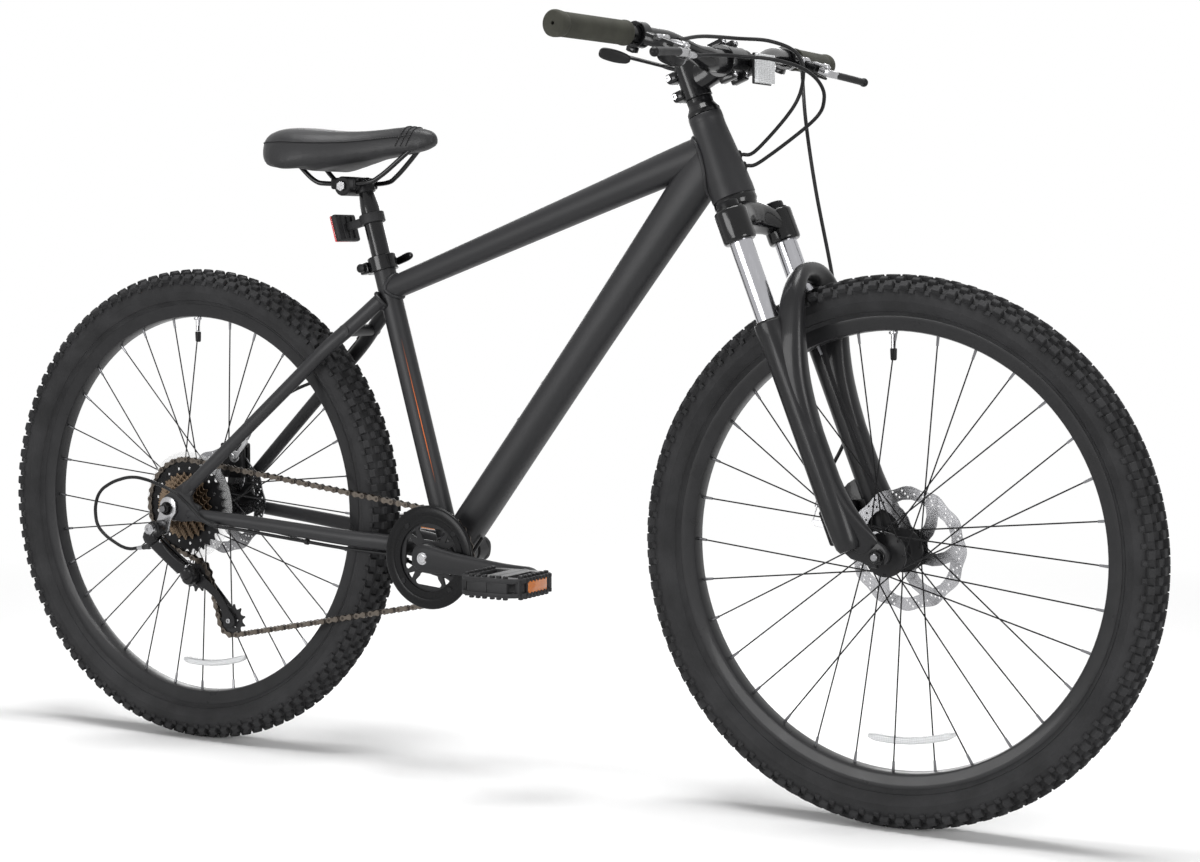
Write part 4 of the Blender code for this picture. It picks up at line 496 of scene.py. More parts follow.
def off_head(point):
    high = (point - steer.translation).dot(head_up)
    return from_line(point, steer.translation, head_up) - head_radius(high)


def off_seat_tube(point):
    return from_line(point, crank_axle, seat_up) - seat_tube_radius


def off_shell(point):
    return from_line(point, crank_axle, Vector((0, 1, 0))) - shell_radius


def bead(rows, from_share, to_share, off, square=2.0, across=(0, 1, 0), count=96):
    """A weld bead where a tube's skin, followed outward along each of its lines, leaves another."""
    places = ring_places(rows, across)
    last = len(places) - 1
    axis = (Vector(rows[-1][:3]) - Vector(rows[0][:3])).normalized()
    spots = []
    for step in range(count):
        turn = 2 * pi * step / count
        flat = Vector((cos(turn), sin(turn), 0))
        flat = flat / (abs(flat.x) ** square + abs(flat.y) ** square) ** (1 / square)
        near, far = from_share * last, to_share * last
        for attempt in range(24):
            middle = (near + far) / 2
            low = min(int(middle), last - 1)
            skin = (places[low] @ flat).lerp(places[low + 1] @ flat, middle - low)
            if off(skin) < 0.0012:
                near = middle
            else:
                far = middle
        spots.append(skin)
    stations = []
    for index, spot in enumerate(spots):
        thick = 0.0026 if index % 2 else 0.0031
        stations.append((*spot, thick, thick))
    return drawn(stations, 8, axis, closed=True)


def placed(at, rows):
    """Stations given in the axes of a matrix, moved to the bike's."""
    return [(*(at @ Vector(row[:3])), *row[3:]) for row in rows]


weld_paint = charcoal("weld_charcoal")
top_back = list(reversed(top_rows))
down_back = list(reversed(down_rows))
seat_rows = placed(seat, [(0, 0, high, seat_tube_radius, seat_tube_radius)
    for high in (0.0, 0.03, 0.06, 0.1)])
beads = [bead(down_back, 0.0, 0.3, off_head, 2.3), bead(top_back, 0.0, 0.3, off_head, 2.2),
    bead(top_rows, 0.0, 0.3, off_seat_tube, 2.2), bead(down_rows, 0.0, 0.3, off_shell, 2.3),
    bead(seat_rows, 0.0, 0.9, off_shell)]
for side in (-1, 1):
    beads.append(bead(chainstay_rows(side), 0.0, 0.4, off_shell, count=60))
    beads.append(bead(seatstay_rows(side), 0.0, 0.3, off_seat_tube, count=60))
piece("frame_welds", "frame", [(work, weld_paint) for work in beads], sharp=80)


# Bottle bosses, axle nuts and the silver hanger: small turned and stamped parts fixed to the frame.
def dark_metal(name, slot, roughness, coat=0.0, colour=(0.0065, 0.0065, 0.007)):
    """Black anodised or lacquered metal with a faint cloud in its gloss."""
    finish = Finish(name, slot, Specular_IOR_Level=0.14, Coat_Weight=coat, Coat_Roughness=0.08)
    cloud = finish.noise(38, 3)
    brighter = tuple(1.5 * part for part in colour)
    return finish.coat(finish.between(cloud, colour, brighter),
        finish.spread(cloud, 0.3, 0.7, roughness - 0.05, roughness + 0.06), finish.noise(2200, 1), 0.00004)


def steel(name, slot, colour, roughness, stretch=(1, 1, 1)):
    """Bare metal with fine grinding marks."""
    finish = Finish(name, slot, Metallic=1.0)
    grain = finish.noise(900, 3, stretch)
    stain = finish.noise(45, 3)
    darker = tuple(0.78 * part for part in colour)
    return finish.coat(finish.between(stain, darker, colour),
        finish.spread(grain, 0.3, 0.7, roughness - 0.07, roughness + 0.09), grain, 0.00006)


satin_black = dark_metal("satin_black_metal", "black_metal", 0.36)
gloss_black = dark_metal("gloss_black_metal", "black_metal", 0.2, 0.3, (0.004, 0.004, 0.0044))
plain_steel = steel("plain_steel", "bare_metal", (0.42, 0.42, 0.43), 0.26)
axle_steel = steel("axle_steel", "bare_metal", (0.15, 0.15, 0.155), 0.34)


def socket_screw(at, radius=0.0038, tall=0.0024):
    """Head of a socket screw, its hexagon sunk in the top."""
    socket, floor_high, edge = radius * 0.48, tall - 0.0018, 0.0006
    return turned([(0, floor_high), (socket, floor_high), (socket, tall), (radius - edge, tall),
        (radius, tall - edge), (radius, -0.0005), (0, -0.0005)], at, 18)


def pin(work, radius, long, at, sides=8, tip=None):
    """Adds a bar round Z, with its middle at a matrix."""
    bmesh.ops.create_cone(work, cap_ends=True, segments=sides, radius1=radius, radius2=tip or radius,
        depth=long, matrix=at)


def hex_nut(at, half_flat, low, high):
    """Hexagon nut round Z with its corners turned off."""
    work = bmesh.new()
    pin(work, half_flat * 1.155, high - low, at_point(0, 0, (low + high) / 2), 6)
    ends = [edge for edge in work.edges if abs(edge.verts[0].co.z - edge.verts[1].co.z) < 1e-6]
    soften(work, ends, 0.0009)
    return moved(work, at)


def mm(*rows):
    """Rows of lengths written in millimetres."""
    return [tuple(length / 1000 for length in row) for row in rows]


boss_parts = []
for up_line in (0.22, 0.284):
    spot = crank_axle + down_line.normalized() * up_line + across_down * 0.024
    at = axes_at(spot, down_line.normalized(), across_down)
    boss_parts.append((turned(mm((0, 1.2), (4.8, 1.2), (5.6, 0.4), (6, -3)), at, 24), frame_paint))
    boss_parts.append((socket_screw(at @ at_point(0, 0, 0.0008), 0.0042, 0.0022), gloss_black))
piece("bottle_bosses", "frame", boss_parts)

hanger_right = hub_half + plate_thick + 0.0003 + 0.0024
hanger_outline = mm((15, 10), (16.5, 2), (16, -6), (10.5, -12.5), (6, -18), (3, -26.5), (1, -34),
    (-2, -37.5), (-6, -39.5), (-10.5, -40.3), (-15, -39.5), (-19, -37), (-21.5, -33), (-22, -27.5),
    (-21, -22), (-17.5, -15), (-15, -8), (-14, 2), (-12, 10), (-7.5, 14.8), (-2, 17), (3.5, 17.1),
    (8, 16), (12.2, 13.8))
hanger_work = slab([hanger_outline, ring_of(0.0054, 20), ring_of(0.0046, 20, -0.0102, -0.0285)], 0.0048,
    rear_side @ at_point(0, 0, hanger_right), 0.0007, 2)
hanger_screw = socket_screw(rear_side @ at_point(0.0105, -0.0035, hanger_right + 0.0024), 0.0028, 0.0012)
piece("hanger_stamping", "frame", [(hanger_work, plain_steel), (hanger_screw, plain_steel)],
    ["derailleur_hanger"])


def axle_parts(side, right_out, left_out):
    """Threaded axle ends with a flanged nut and a washer at each side."""
    parts = [(drum(0.0048, -left_out - 0.011, right_out + 0.011, side, 20, 0.0008), axle_steel)]
    for spin, out in ((Matrix(), right_out), (swung(180, 'X'), left_out)):
        parts.append((drum(0.01, out, out + 0.0016, side @ spin, 32, 0.0003), gloss_black))
        parts.append((hex_nut(side @ spin, 0.0072, out + 0.0014, out + 0.0078), gloss_black))
    return parts


rear_nuts = axle_parts(rear_side, hanger_right + 0.0027, hub_half + plate_thick + 0.0003)
piece("rear_axle_nuts", "frame", rear_nuts, ["rear_axle"])

# Fork crown, steerer base and stanchions: a gloss black forging presses two chromed tubes; a plastic
# cap closes each socket on top.
chrome = Finish("hard_chrome", "fork_upper", Metallic=1.0)
wipe = chrome.noise(260, 2, (1, 1, 0.06))
chrome.coat((0.4, 0.4, 0.42, 1), chrome.spread(wipe, 0.35, 0.7, 0.14, 0.22))
crown_foot, leg_top = 0.4311, 0.3248
leg_ahead, leg_spread = 0.0187, 0.0655


def both_sides(half, middle=()):
    """Stations from the right side over the middle to the left, from those of the left side."""
    return [(row[0], -row[1], *row[2:]) for row in half] + list(middle) + list(reversed(half))


crown_half = [(leg_ahead, 0.065, 0.024, 0.015, 0.017), (0.0125, 0.043, 0.033, 0.019, 0.0165),
    (0.003, 0.015, 0.041, 0.025, 0.019)]
crown_rows = placed(steer @ at_point(0, 0, crown_foot), both_sides(crown_half))
crown_parts = [(drawn(flow(crown_rows, 36), 32, steer.to_3x3() @ Vector((1, 0, 0)), 2.8), gloss_black)]
race_rows = mm((0, 0.3), (18.6, 6), (18.6, 0), (28.4, -0.4), (29, -1.6), (29, -8), (27, -12), (25, -24),
    (23.5, -42), (0, -42))
crown_parts.append((turned(race_rows, steer @ at_point(0, 0, head_base), 48), gloss_black))
for side in (-1, 1):
    leg = steer @ at_point(leg_ahead, side * leg_spread)
    crown_parts.append((turned(mm((0, 44), (16.5, 44), (19.8, 43.5), (21.2, 42), (21.5, 39), (21.5, 5),
        (21, 2), (19.5, 0.4), (15, 0)), leg @ at_point(0, 0, crown_foot), 40), gloss_black))
    crown_parts.append((turned(mm((0, 54.8), (12, 54.8), (13.6, 54), (14.2, 52), (14.2, 47), (16.8, 46.2),
        (16.8, 43), (0, 43)), leg @ at_point(0, 0, crown_foot), 40), satin_black))
    crown_parts.append((turned([(0.015, crown_foot + 0.002), (0.015, 0.15), (0, 0.15)], leg, 48), chrome))
piece("fork_crown_and_stanchions", "steerer", crown_parts, ["fork_upper"])

# Fork lowers: one magnesium casting painted like the frame but blacker, with a forward arch,
# open axle tips, a brake tab at the left and a rubber wiper on each leg.
lower_paint = dark_metal("lower_leg_paint", "frame_paint", 0.33, 0.1, (0.0105, 0.0105, 0.0112))


def rubber(name, slot, colour=(0.0135, 0.0135, 0.0135), roughness=0.72, grain=700, depth=0.00016):
    """Matt moulded rubber, a little dusty in random patches."""
    finish = Finish(name, slot, Specular_IOR_Level=0.14)
    dust = finish.noise(26, 4)
    skin = finish.noise(grain, 3)
    lighter = tuple(1.6 * part for part in colour)
    return finish.coat(finish.between(finish.spread(dust, 0.35, 0.75, 0.0, 1.0), colour, lighter),
        finish.spread(skin, 0.3, 0.7, roughness - 0.08, roughness + 0.1), skin, depth)


seal_rubber = rubber("wiper_rubber", "rubber")
leg_parts = []
for side in (-1, 1):
    leg = steer @ at_point(leg_ahead, side * leg_spread)
    leg_parts.append((turned([(0.0158, leg_top - 0.002), (0.019, leg_top - 0.002),
        (0.0204, leg_top - 0.0035), (0.0208, leg_top - 0.012), (0.0203, leg_top - 0.02),
        (0.0192, leg_top - 0.033), (0.019, leg_top - 0.06), (0.019, 0.09), (0.0186, 0.062),
        (0.0176, 0.036), (0.016, 0.024), (0.013, 0.0185), (0.0, 0.0175)], leg, 48), lower_paint))
    wiper_rows = mm((15.1, 0.2), (17.2, -0.2), (19.4, -1.2), (19.8, -3), (15, -3.4))
    leg_parts.append((turned(wiper_rows, leg @ at_point(0, 0, leg_top), 40), seal_rubber))
    tip = mm((2, 80), (2.2, 50), (4, 22), (12, 8.5), (24, 0), (34, -10), (41.6, -13.5), (41.6, 0),
        (44.3, 4.7), (49.7, 4.7), (52.4, 0), (52.4, -12.5), (59, -8.5), (61.8, -3), (61.5, 3), (59, 10),
        (55, 15.5), (44, 26), (37, 40), (34.8, 58), (34.5, 80))
    leg_parts.append((slab([tip], 0.008, steer @ at_point(0, side * 0.054) @ side_on, 0.0014, 2),
        lower_paint))
    web = mm((18.8, 65.5, 130, 17.2, 17.2), (20.5, 65, 95, 17.8, 16.8), (24, 63.4, 66, 18.6, 14.6),
        (30.5, 60.6, 40, 18.6, 10.6), (38, 57.4, 20, 17.2, 6.4), (41, 55.6, 12, 15, 3.6))
    web = placed(steer @ Matrix.Scale(side, 4, (0, 1, 0)), web)
    leg_parts.append((drawn(flow(web, 30), 28, steer.to_3x3() @ Vector((1, 0, 0)), 2.3), lower_paint))
arch_half = mm((19.5, 65.5, 165, 17.2, 16.5), (21.2, 65.5, 205, 18.4, 17.2), (25, 65.5, 240, 19.4, 17.2),
    (32.5, 65.2, 272, 19.6, 16), (43, 64, 302, 18.6, 13.8), (56, 56, 340, 16.5, 11.5),
    (62, 33, 365, 15, 11))
arch_top = (0.0635, 0, 0.372, 0.0145, 0.011)
arch_rows = placed(steer, both_sides(arch_half, [arch_top]))
leg_parts.append((drawn(flow(arch_rows, 72), 28, steer.to_3x3() @ Vector((1, 0, 0.35)), 2.6), lower_paint))
tab_outline = mm((12, 34), (0, 30.5), (-10, 30), (-22, 32), (-30, 36), (-32.5, 43), (-32, 52), (-30, 72),
    (-26, 92), (-20, 101), (-10, 106), (10, 110))
leg_parts.append((slab([tab_outline], 0.007, steer @ at_point(0, 0.0613) @ side_on, 0.0012, 2), lower_paint))
piece("fork_lower_casting", "lowers", leg_parts, ["fork_lowers"])
piece("front_axle_nuts", "lowers", axle_parts(front_side, 0.0583, 0.0583), ["front_axle"])

# Headset cover, stem and its face plate: black aluminium, held by small silver socket screws.
stem_foot = head_top + 0.024
stem_reach, stem_high = 0.0565, head_top + 0.051
bar_clamp = steer @ at_point(stem_reach, 0, stem_high)
piece("headset_cover_turned", "steerer", [(turned(mm((16.5, 23.6), (17.6, 23.2), (17.8, 19), (17.8, 15),
    (18.6, 13), (21.8, 7.2), (22.5, 5.6), (22.5, 1), (21.8, 0.4), (16, 0.4)),
    steer @ at_point(0, 0, head_top), 48), gloss_black)], ["headset_cover"])
stem_rows = placed(steer @ at_point(0, 0, stem_high - 0.002),
    mm((4, 0, 0, 16.5, 20), (18, 0, 0, 15.2, 18.2), (30, 0, 0, 15, 16.8), (40, 0, 0, 17.2, 17),
    (50, 0, 0, 20.5, 17.8)))
stem_parts = [(drawn(flow(stem_rows, 20), 32, (0, 1, 0), 2.8), gloss_black),
    (turned(mm((14.6, 49.8), (18, 49.8), (19, 48.8), (19, 1), (18, 0), (14.6, 0)),
    steer @ at_point(0, 0, stem_foot), 48), gloss_black), (turned(mm((0, 54.5), (12, 54.5), (16.5, 53.5),
    (17.8, 51.5), (17.8, 49.8), (0, 49.8)), steer @ at_point(0, 0, stem_foot), 40), gloss_black),
    (socket_screw(steer @ at_point(0, 0, stem_foot + 0.054), 0.0042, 0.002), plain_steel)]
for low in (0.005, 0.031):
    stem_parts.append((brick((-0.03, -0.015, stem_foot + low), (-0.012, 0.015, stem_foot + low + 0.014),
        steer, 0.004, 3), gloss_black))
    screw_spot = steer @ at_point(-0.0245, -0.015, stem_foot + low + 0.007) @ side_on
    stem_parts.append((socket_screw(screw_spot, 0.004, 0.0032), plain_steel))
clamp_side = bar_clamp @ side_on
ring_rows = mirrored(mm((16, 23.5), (20.4, 23.5), (21.2, 22.6)))
stem_parts.append((turned(ring_rows, clamp_side, 48, closed=True), gloss_black))
for across, high in ((-0.0165, 0.0225), (0.0165, 0.0225), (-0.0165, -0.0225), (0.0165, -0.0225)):
    lug = bar_clamp @ at_point(0, across, high)
    stem_parts.append((brick((-0.011, -0.0062, -0.0055), (0.011, 0.0062, 0.0055), lug, 0.0022, 2),
        gloss_black))
    front_screw = lug @ at_point(0.0108, 0, 0) @ swung(90, 'Y')
    stem_parts.append((socket_screw(front_screw, 0.0036, 0.003), plain_steel))
piece("stem_and_face_plate", "steerer", stem_parts, ["stem"])

# Riser bar: one bent aluminium tube, swaged thick in the stem, with rubber grips pushed on.
bar_half, bar_rise, bar_sweep = 0.376, 0.0216, 0.036
bar_radius, bar_thick = 0.0111, 0.0159
bar_middle = bar_clamp.translation


def bar_point(left):
    """Centre line of the bar at a distance left of the middle."""
    share = abs(left) / bar_half
    bend = min(max((share - 0.13) / 0.3, 0.0), 1.0)
    bend = bend * bend * (3 - 2 * bend)
    tail = min(max((share - 0.25) / 0.75, 0.0), 1.0)
    back = bar_sweep * (0.1 * bend + 0.9 * tail)
    return bar_middle + Vector((-back, left, bar_rise * (0.88 * bend + 0.12 * tail)))


def bar_axes(left, drop):
    """A matrix on the bar: Y along it to the left, X ahead and down by an angle."""
    along = (bar_point(left + 0.02) - bar_point(left - 0.02)).normalized()
    ahead = Vector((cos(radians(drop)), 0, -sin(radians(drop))))
    up = ahead.cross(along).normalized()
    return axes_at(bar_point(left), along.cross(up), up)


bar_rows = []
for step in range(-48, 49):
    left = bar_half * step / 48
    swage = min(max((abs(step) / 48 - 0.15) / 0.11, 0.0), 1.0)
    swage = swage * swage * (3 - 2 * swage)
    thick = bar_thick + (bar_radius - bar_thick) * swage
    bar_rows.append((*bar_point(left), thick, thick))
piece("riser_bar", "steerer", [(drawn(bar_rows, 32, (0, 0, 1)), gloss_black)], ["handlebar"])

grip_rubber = rubber("grip_rubber", "rubber", (0.033, 0.033, 0.0268), 0.7, 1300, 0.0002)
grip_long = 0.14
for name, side in (("right", -1), ("left", 1)):
    end = bar_axes(side * (bar_half - 0.03), 0)
    end.translation = bar_point(side * bar_half)
    inward = end @ swung(90 * side, 'X')
    rows = [(0.0112, grip_long), (0.0152, grip_long), (0.0158, grip_long - 0.0008),
        (0.0158, grip_long - 0.0042), (0.0152, grip_long - 0.005), (0.015, grip_long - 0.009),
        (0.015, 0.015), (0.0144, 0.0142), (0.0144, 0.0128), (0.0152, 0.012), (0.016, 0.006),
        (0.0164, 0.001), (0.0161, -0.0022), (0.015, -0.0036), (0.0132, -0.0041), (0.0026, -0.0041),
        (0.0023, -0.0036), (0.0023, 0.006), (0.0, 0.006)]
    piece("grip_" + name + "_moulded", "steerer", [(turned(rows, inward, 36), grip_rubber)], ["grip_" + name])

# Tyres: a smooth rubber casing with six rows of moulded knobs, each knob a tapered block that is
# made once for a pitch and repeated round the wheel.
tyre_radius, tyre_half, rim_flange, rim_half = 0.35, 0.03, 0.298, 0.015
knob_count = 100
tyre_rubber = rubber("tyre_rubber", "tyre", (0.019, 0.019, 0.0198), 0.68, 520, 0.00022)


def knob(work, turn, out, tilt, sizes, foot_radius):
    """One tapered tread block standing on the casing at an angle round the wheel."""
    wide, long, tall = sizes
    lean = radians(tilt)
    up = Vector((cos(lean), 0, sin(lean)))
    along = Vector((-sin(lean), 0, cos(lean)))
    stand = Matrix((along, Vector((0, -1, 0)), up)).transposed().to_4x4()
    stand.translation = Vector((foot_radius, 0, out))
    at = Matrix.Rotation(turn, 4, 'Z') @ stand
    made = bmesh.ops.create_cube(work, size=1, matrix=at @ at_point(0, 0, tall / 2 - 0.001)
        @ Matrix.Diagonal((wide, long, tall + 0.002, 1)))["verts"]
    top = at.to_3x3() @ Vector((0, 0, 1))
    foot = at.translation
    for vert in made:
        if (vert.co - foot).dot(top) > tall / 2:
            centre = foot + top * tall
            vert.co = centre + 0.86 * (vert.co - centre)
    crown = [edge for edge in {edge for vert in made for edge in vert.link_edges}
        if all((vert.co - foot).dot(top) > tall / 2 for vert in edge.verts)]
    soften(work, crown, 0.0007)


def tyre_casing(at):
    """Casing section from bead to bead, with two thin mould lines on each wall."""
    high = tyre_radius - rim_flange
    bead_rows = mm((-7, -4.3), (0.6, -0.1), (4, 4.2), (5.2, 6.2), (6, 5.8))
    wall_rows = ((0.2, 0.865), (0.34, 0.95), (0.36, 0.972), (0.38, 0.963), (0.5, 0.975), (0.61, 0.925),
        (0.71, 0.815), (0.795, 0.645), (0.858, 0.42), (0.888, 0.17))
    half = [(rim_flange + rise, rim_half + out) for rise, out in bead_rows]
    half += [(rim_flange + rise * high, wide * tyre_half) for rise, wide in wall_rows]
    return turned(mirrored(half), at, 144, closed=True)


def tread(at):
    """All the knobs of one tyre, as one mesh."""
    work = bmesh.new()
    half = pi / knob_count
    for side in (-1, 1):
        first, second = (0.0, half) if side > 0 else (half, 0.0)
        for turn, out, tilt, sizes, foot in ((first, 0.0058, 6, (0.0088, 0.0122, 0.0046), 0.345),
                (second, 0.0148, 24, (0.0078, 0.0114, 0.0058), 0.3413),
                (first, 0.0236, 50, (0.0094, 0.0124, 0.008), 0.3343),
                (second, 0.027, 66, (0.0066, 0.0076, 0.004), 0.329)):
            knob(work, turn, side * out, side * tilt, sizes, foot)
    whole = list(work.verts) + list(work.edges) + list(work.faces)
    bmesh.ops.spin(work, geom=whole, cent=(0, 0, 0), axis=(0, 0, 1),
        angle=2 * pi * (knob_count - 1) / knob_count, steps=knob_count - 1, use_duplicate=True)
    return moved(work, at)


# Rims, valves and wheel reflectors: a black box-section extrusion with a valve at the top and a clear
# reflector clipped between the spokes at the bottom.
rim_bed = 0.279
rim_black = dark_metal("rim_black", "black_metal", 0.32, 0.1, (0.013, 0.013, 0.0138))
cap_plastic = rubber("cap_plastic", "black_plastic", (0.0115, 0.0115, 0.012), 0.46, 900, 0.00005)


def prism_lens(name, slot, axes, cells, low, high, roughness, depth, **fixed):
    """Moulded lens with a grid of small pyramids in it, so many cells to a metre."""
    lens = Finish(name, slot, **fixed)
    first, second = [abs(lens.position(axis) * cells % 1.0 - 0.5) for axis in axes]
    prism = first + second
    return lens.coat(lens.between(prism, low, high), roughness, prism, depth)


ahead_axis, left_axis, up_axis = (1, 0, 0), (0, 1, 0), (0, 0, 1)
clear_lens = prism_lens("clear_prism_lens", "clear_lens", (ahead_axis, up_axis), 420, (0.5, 0.51, 0.52),
    (0.82, 0.83, 0.84), 0.16, 0.0006, Alpha=0.88, Coat_Weight=0.5, Coat_Roughness=0.05)


def rim_parts(at):
    """Rim section with its hooked edges, and the valve through it at the top."""
    wall = [(rim_flange, rim_half), (rim_flange - 0.004, rim_half),
        (rim_flange - 0.006, rim_half - 0.0006), (rim_bed + 0.0045, rim_half - 0.0018),
        (rim_bed + 0.0012, rim_half - 0.0032), (rim_bed, rim_half - 0.006)]
    well = [(rim_flange - 0.0074, 0.0038 - rim_half), (rim_flange - 0.0074, rim_half - 0.0038)]
    return [(turned(mirrored(wall) + well, at, 144, closed=True), rim_black)]


def valve_parts(at):
    """Schrader valve that points to the hub, with a nut at the rim and a plastic cap."""
    stem = at @ swung(91, 'Z') @ at_point(rim_bed - 0.0005, 0) @ swung(-90, 'Y')
    return [(turned(mm((3, 0), (3, 23.5), (0, 23.5)), stem, 16), plain_steel),
        (turned(mm((3, 4), (5, 4), (5.8, 3), (5.8, 0.6), (3, 0.6)), stem, 20), plain_steel),
        (turned(mm((0, 37), (3, 37), (4, 35.2), (4.4, 22.6), (3.8, 21.8), (0, 21.8)), stem, 20),
        cap_plastic)]


def wheel_reflector(at):
    """Clear bar along the rim between three spokes, narrowed at each end."""
    rows = []
    for step in range(-6, 7):
        end = 1.0 if abs(step) < 6 else 0.55
        rows.append((*polar(0.2385, radians(-84 + 14.2 * step / 6)), 0.0008, 0.0058 * end, 0.0046 * end))
    return [(drawn(flow(placed(at, rows), 30), 20, (0, 1, 0), 4.0), clear_lens)]


# Hubs, spokes and nipples: black turned hubs laced three cross, so each set of spokes leans one way;
# silver nipples hold them in the rim.
spoke_steel = dark_metal("spoke_black", "black_metal", 0.28)
nipple_steel = steel("nipple_steel", "bare_metal", (0.2, 0.2, 0.21), 0.32)


def lacing(flanges, hole_radius):
    """Inner and outer end of each spoke in the wheel's axes, flange by flange."""
    step = 2 * pi / 16
    tip = rim_bed + 0.001
    for flange, out, offset in ((flanges[0], 0.003, 0.0), (flanges[1], -0.003, step / 2)):
        for index in range(16):
            hole = index * step + offset
            lead = 1 if index % 2 == 0 else -1
            end = hole + lead * 3 * step
            yield (Vector((*polar(hole_radius, hole), flange + lead * 0.0014)),
                Vector((*polar(tip, end), out + lead * 0.0012)))


def spoke_parts(at, flanges, hole_radius):
    """Spokes with their heads, and the nipples."""
    wires, nipples = bmesh.new(), bmesh.new()
    for inner, outer in lacing(flanges, hole_radius):
        run = outer - inner
        stand = run.to_track_quat('Z', 'X').to_matrix().to_4x4()
        pin(wires, 0.001, run.length, at @ Matrix.Translation((inner + outer) / 2) @ stand)
        bmesh.ops.create_uvsphere(wires, u_segments=8, v_segments=6, radius=0.002,
            matrix=at @ Matrix.Translation(inner))
        foot = outer - run.normalized() * 0.0075
        pin(nipples, 0.0017, 0.013, at @ Matrix.Translation(foot) @ stand, tip=0.0021)
    return [(wires, spoke_steel), (nipples, nipple_steel)]


def six_screws(at, radius, high):
    """Ring of six rotor screws."""
    return [(socket_screw(at @ swung(60 * step + 15, 'Z') @ at_point(radius, 0, high), 0.004, 0.0022),
        plain_steel) for step in range(6)]


front_hub_rows = mm((10.5, 46), (11.2, 36.2), (16, 34.5), (27.8, 34), (28.5, 33.3), (28.5, 30.7),
    (27.8, 30), (17.5, 28.2), (14, 25), (13.5, 18), (13.5, -8), (14.2, -16), (18, -18.5), (27.8, -20),
    (28.5, -20.7), (28.5, -23.3), (27.6, -24), (21.5, -25.8), (20, -28), (20, -38.3), (5.5, -38.3),
    (5.5, 46))
rear_hub_rows = mm((15, 62.5), (15, 24), (18, 21.5), (28.2, 20.5), (29, 19.8), (29, 17.2), (28.2, 16.5),
    (18, 15), (15.3, 12), (15, 6), (15, -20), (15.8, -26.5), (19, -29), (28.2, -30.5), (29, -31.2),
    (29, -33.8), (28, -34.5), (21.5, -36.2), (20, -38.5), (20, -50.3), (5.5, -50.3), (5.5, 62.5))

# Brake discs: stainless steel, stamped with a wavy edge, swirled arms and slanted rows of cooling
# holes, on six screws at the left of each hub.
disc_steel = steel("disc_steel", "bare_metal", (0.3, 0.3, 0.31), 0.24)
disc_radius, disc_thick = 0.08, 0.0018


def disc_outlines():
    """Wavy edge, hub hole, six arm windows and the drilled brake track."""
    wave = 0.0016
    turns = [2 * pi * step / 144 for step in range(144)]
    outlines = [[polar(disc_radius - wave + wave * cos(12 * turn), turn) for turn in turns],
        ring_of(0.015, 32)]
    for arm in range(6):
        start = 2 * pi * arm / 6
        window = [(0.06, 0.1), (0.0622, 0.28), (0.0628, 0.46), (0.0622, 0.64), (0.06, 0.82), (0.05, 0.66),
            (0.04, 0.51), (0.031, 0.39), (0.0285, 0.31), (0.028, 0.1), (0.0285, -0.09), (0.031, -0.13),
            (0.04, -0.1), (0.05, -0.02)]
        outlines.append([polar(radius, start + turn) for radius, turn in window])
    for column in range(36):
        for radius, lag in ((0.0662, 0.0), (0.0702, 0.055), (0.0742, 0.11)):
            turn = 2 * pi * column / 36 + lag
            if column % 3 < 2 or radius == 0.0702:
                outlines.append(ring_of(0.0014, 10, *polar(radius, turn)))
    return outlines


disc_places = {"front": 0.0395, "rear": 0.0515}
hub_shapes = {"front": (front_hub_rows, (0.032, -0.022), 0.0255),
    "rear": (rear_hub_rows, (0.0185, -0.0325), 0.026)}
for wheel, at in (("front", front_side), ("rear", rear_side)):
    body = wheel + "_wheel"
    hub_rows, flanges, hole_radius = hub_shapes[wheel]
    disc_left = disc_places[wheel]
    hub_face = at @ swung(180, 'X')
    piece(wheel + "_tyre_rubber", body, [(tyre_casing(at), tyre_rubber), (tread(at), tyre_rubber)],
        [wheel + "_tyre"])
    piece(wheel + "_rim_extrusion", body, rim_parts(at) + valve_parts(at), [wheel + "_rim"])
    piece(wheel + "_wheel_reflector", body, wheel_reflector(at))
    piece(wheel + "_hub_and_spokes", body, [(turned(hub_rows, at, 48, closed=True), satin_black)]
        + spoke_parts(at, flanges, hole_radius), [wheel + "_hub"])
    disc_work = slab(disc_outlines(), disc_thick, at @ at_point(0, 0, -disc_left), 0.0)
    piece(wheel + "_brake_disc", body, [(disc_work, disc_steel)]
        + six_screws(hub_face, 0.0215, disc_left + 0.0011), [wheel + "_rotor"])

# Spoke protector: a clear plastic disc behind the biggest sprocket.
clear_plastic = Finish("clear_plastic", "clear_lens", Roughness=0.12, Alpha=0.2, Coat_Weight=0.6,
    Coat_Roughness=0.06)
clear_plastic.coat(clear_plastic.between(clear_plastic.noise(60, 2), (0.6, 0.6, 0.6), (0.75, 0.75, 0.75)),
    0.12)
guard_rows = mm((80, 29.2), (80, 28), (23, 27.2), (23, 28.4))
piece("spoke_protector", "rear_wheel", [(turned(guard_rows, rear_side, 72, closed=True), clear_plastic)])

# Chain: brown-grey steel links, outer and inner plates by turns on pressed pins, led round the chainring,
# the two pulleys of the derailleur and the biggest sprocket.
pitch = 0.0127
ring_teeth, pulley_teeth, sprocket_teeth = 32, 11, (34, 24, 22, 20, 18, 16, 14)
ring_right, sprocket_right, sprocket_step = 0.05, 0.0335, 0.0048
guide_axle = Vector(joints["guide_pulley_spin"]["pos_m"])
tension_axle = Vector(joints["tension_pulley_spin"]["pos_m"])
chain_steel = steel("chain_steel", "bronze_steel", (0.125, 0.108, 0.092), 0.32)


def pitch_radius(teeth):
    """Radius at which the pins of the chain ride."""
    return teeth * pitch / (2 * pi)


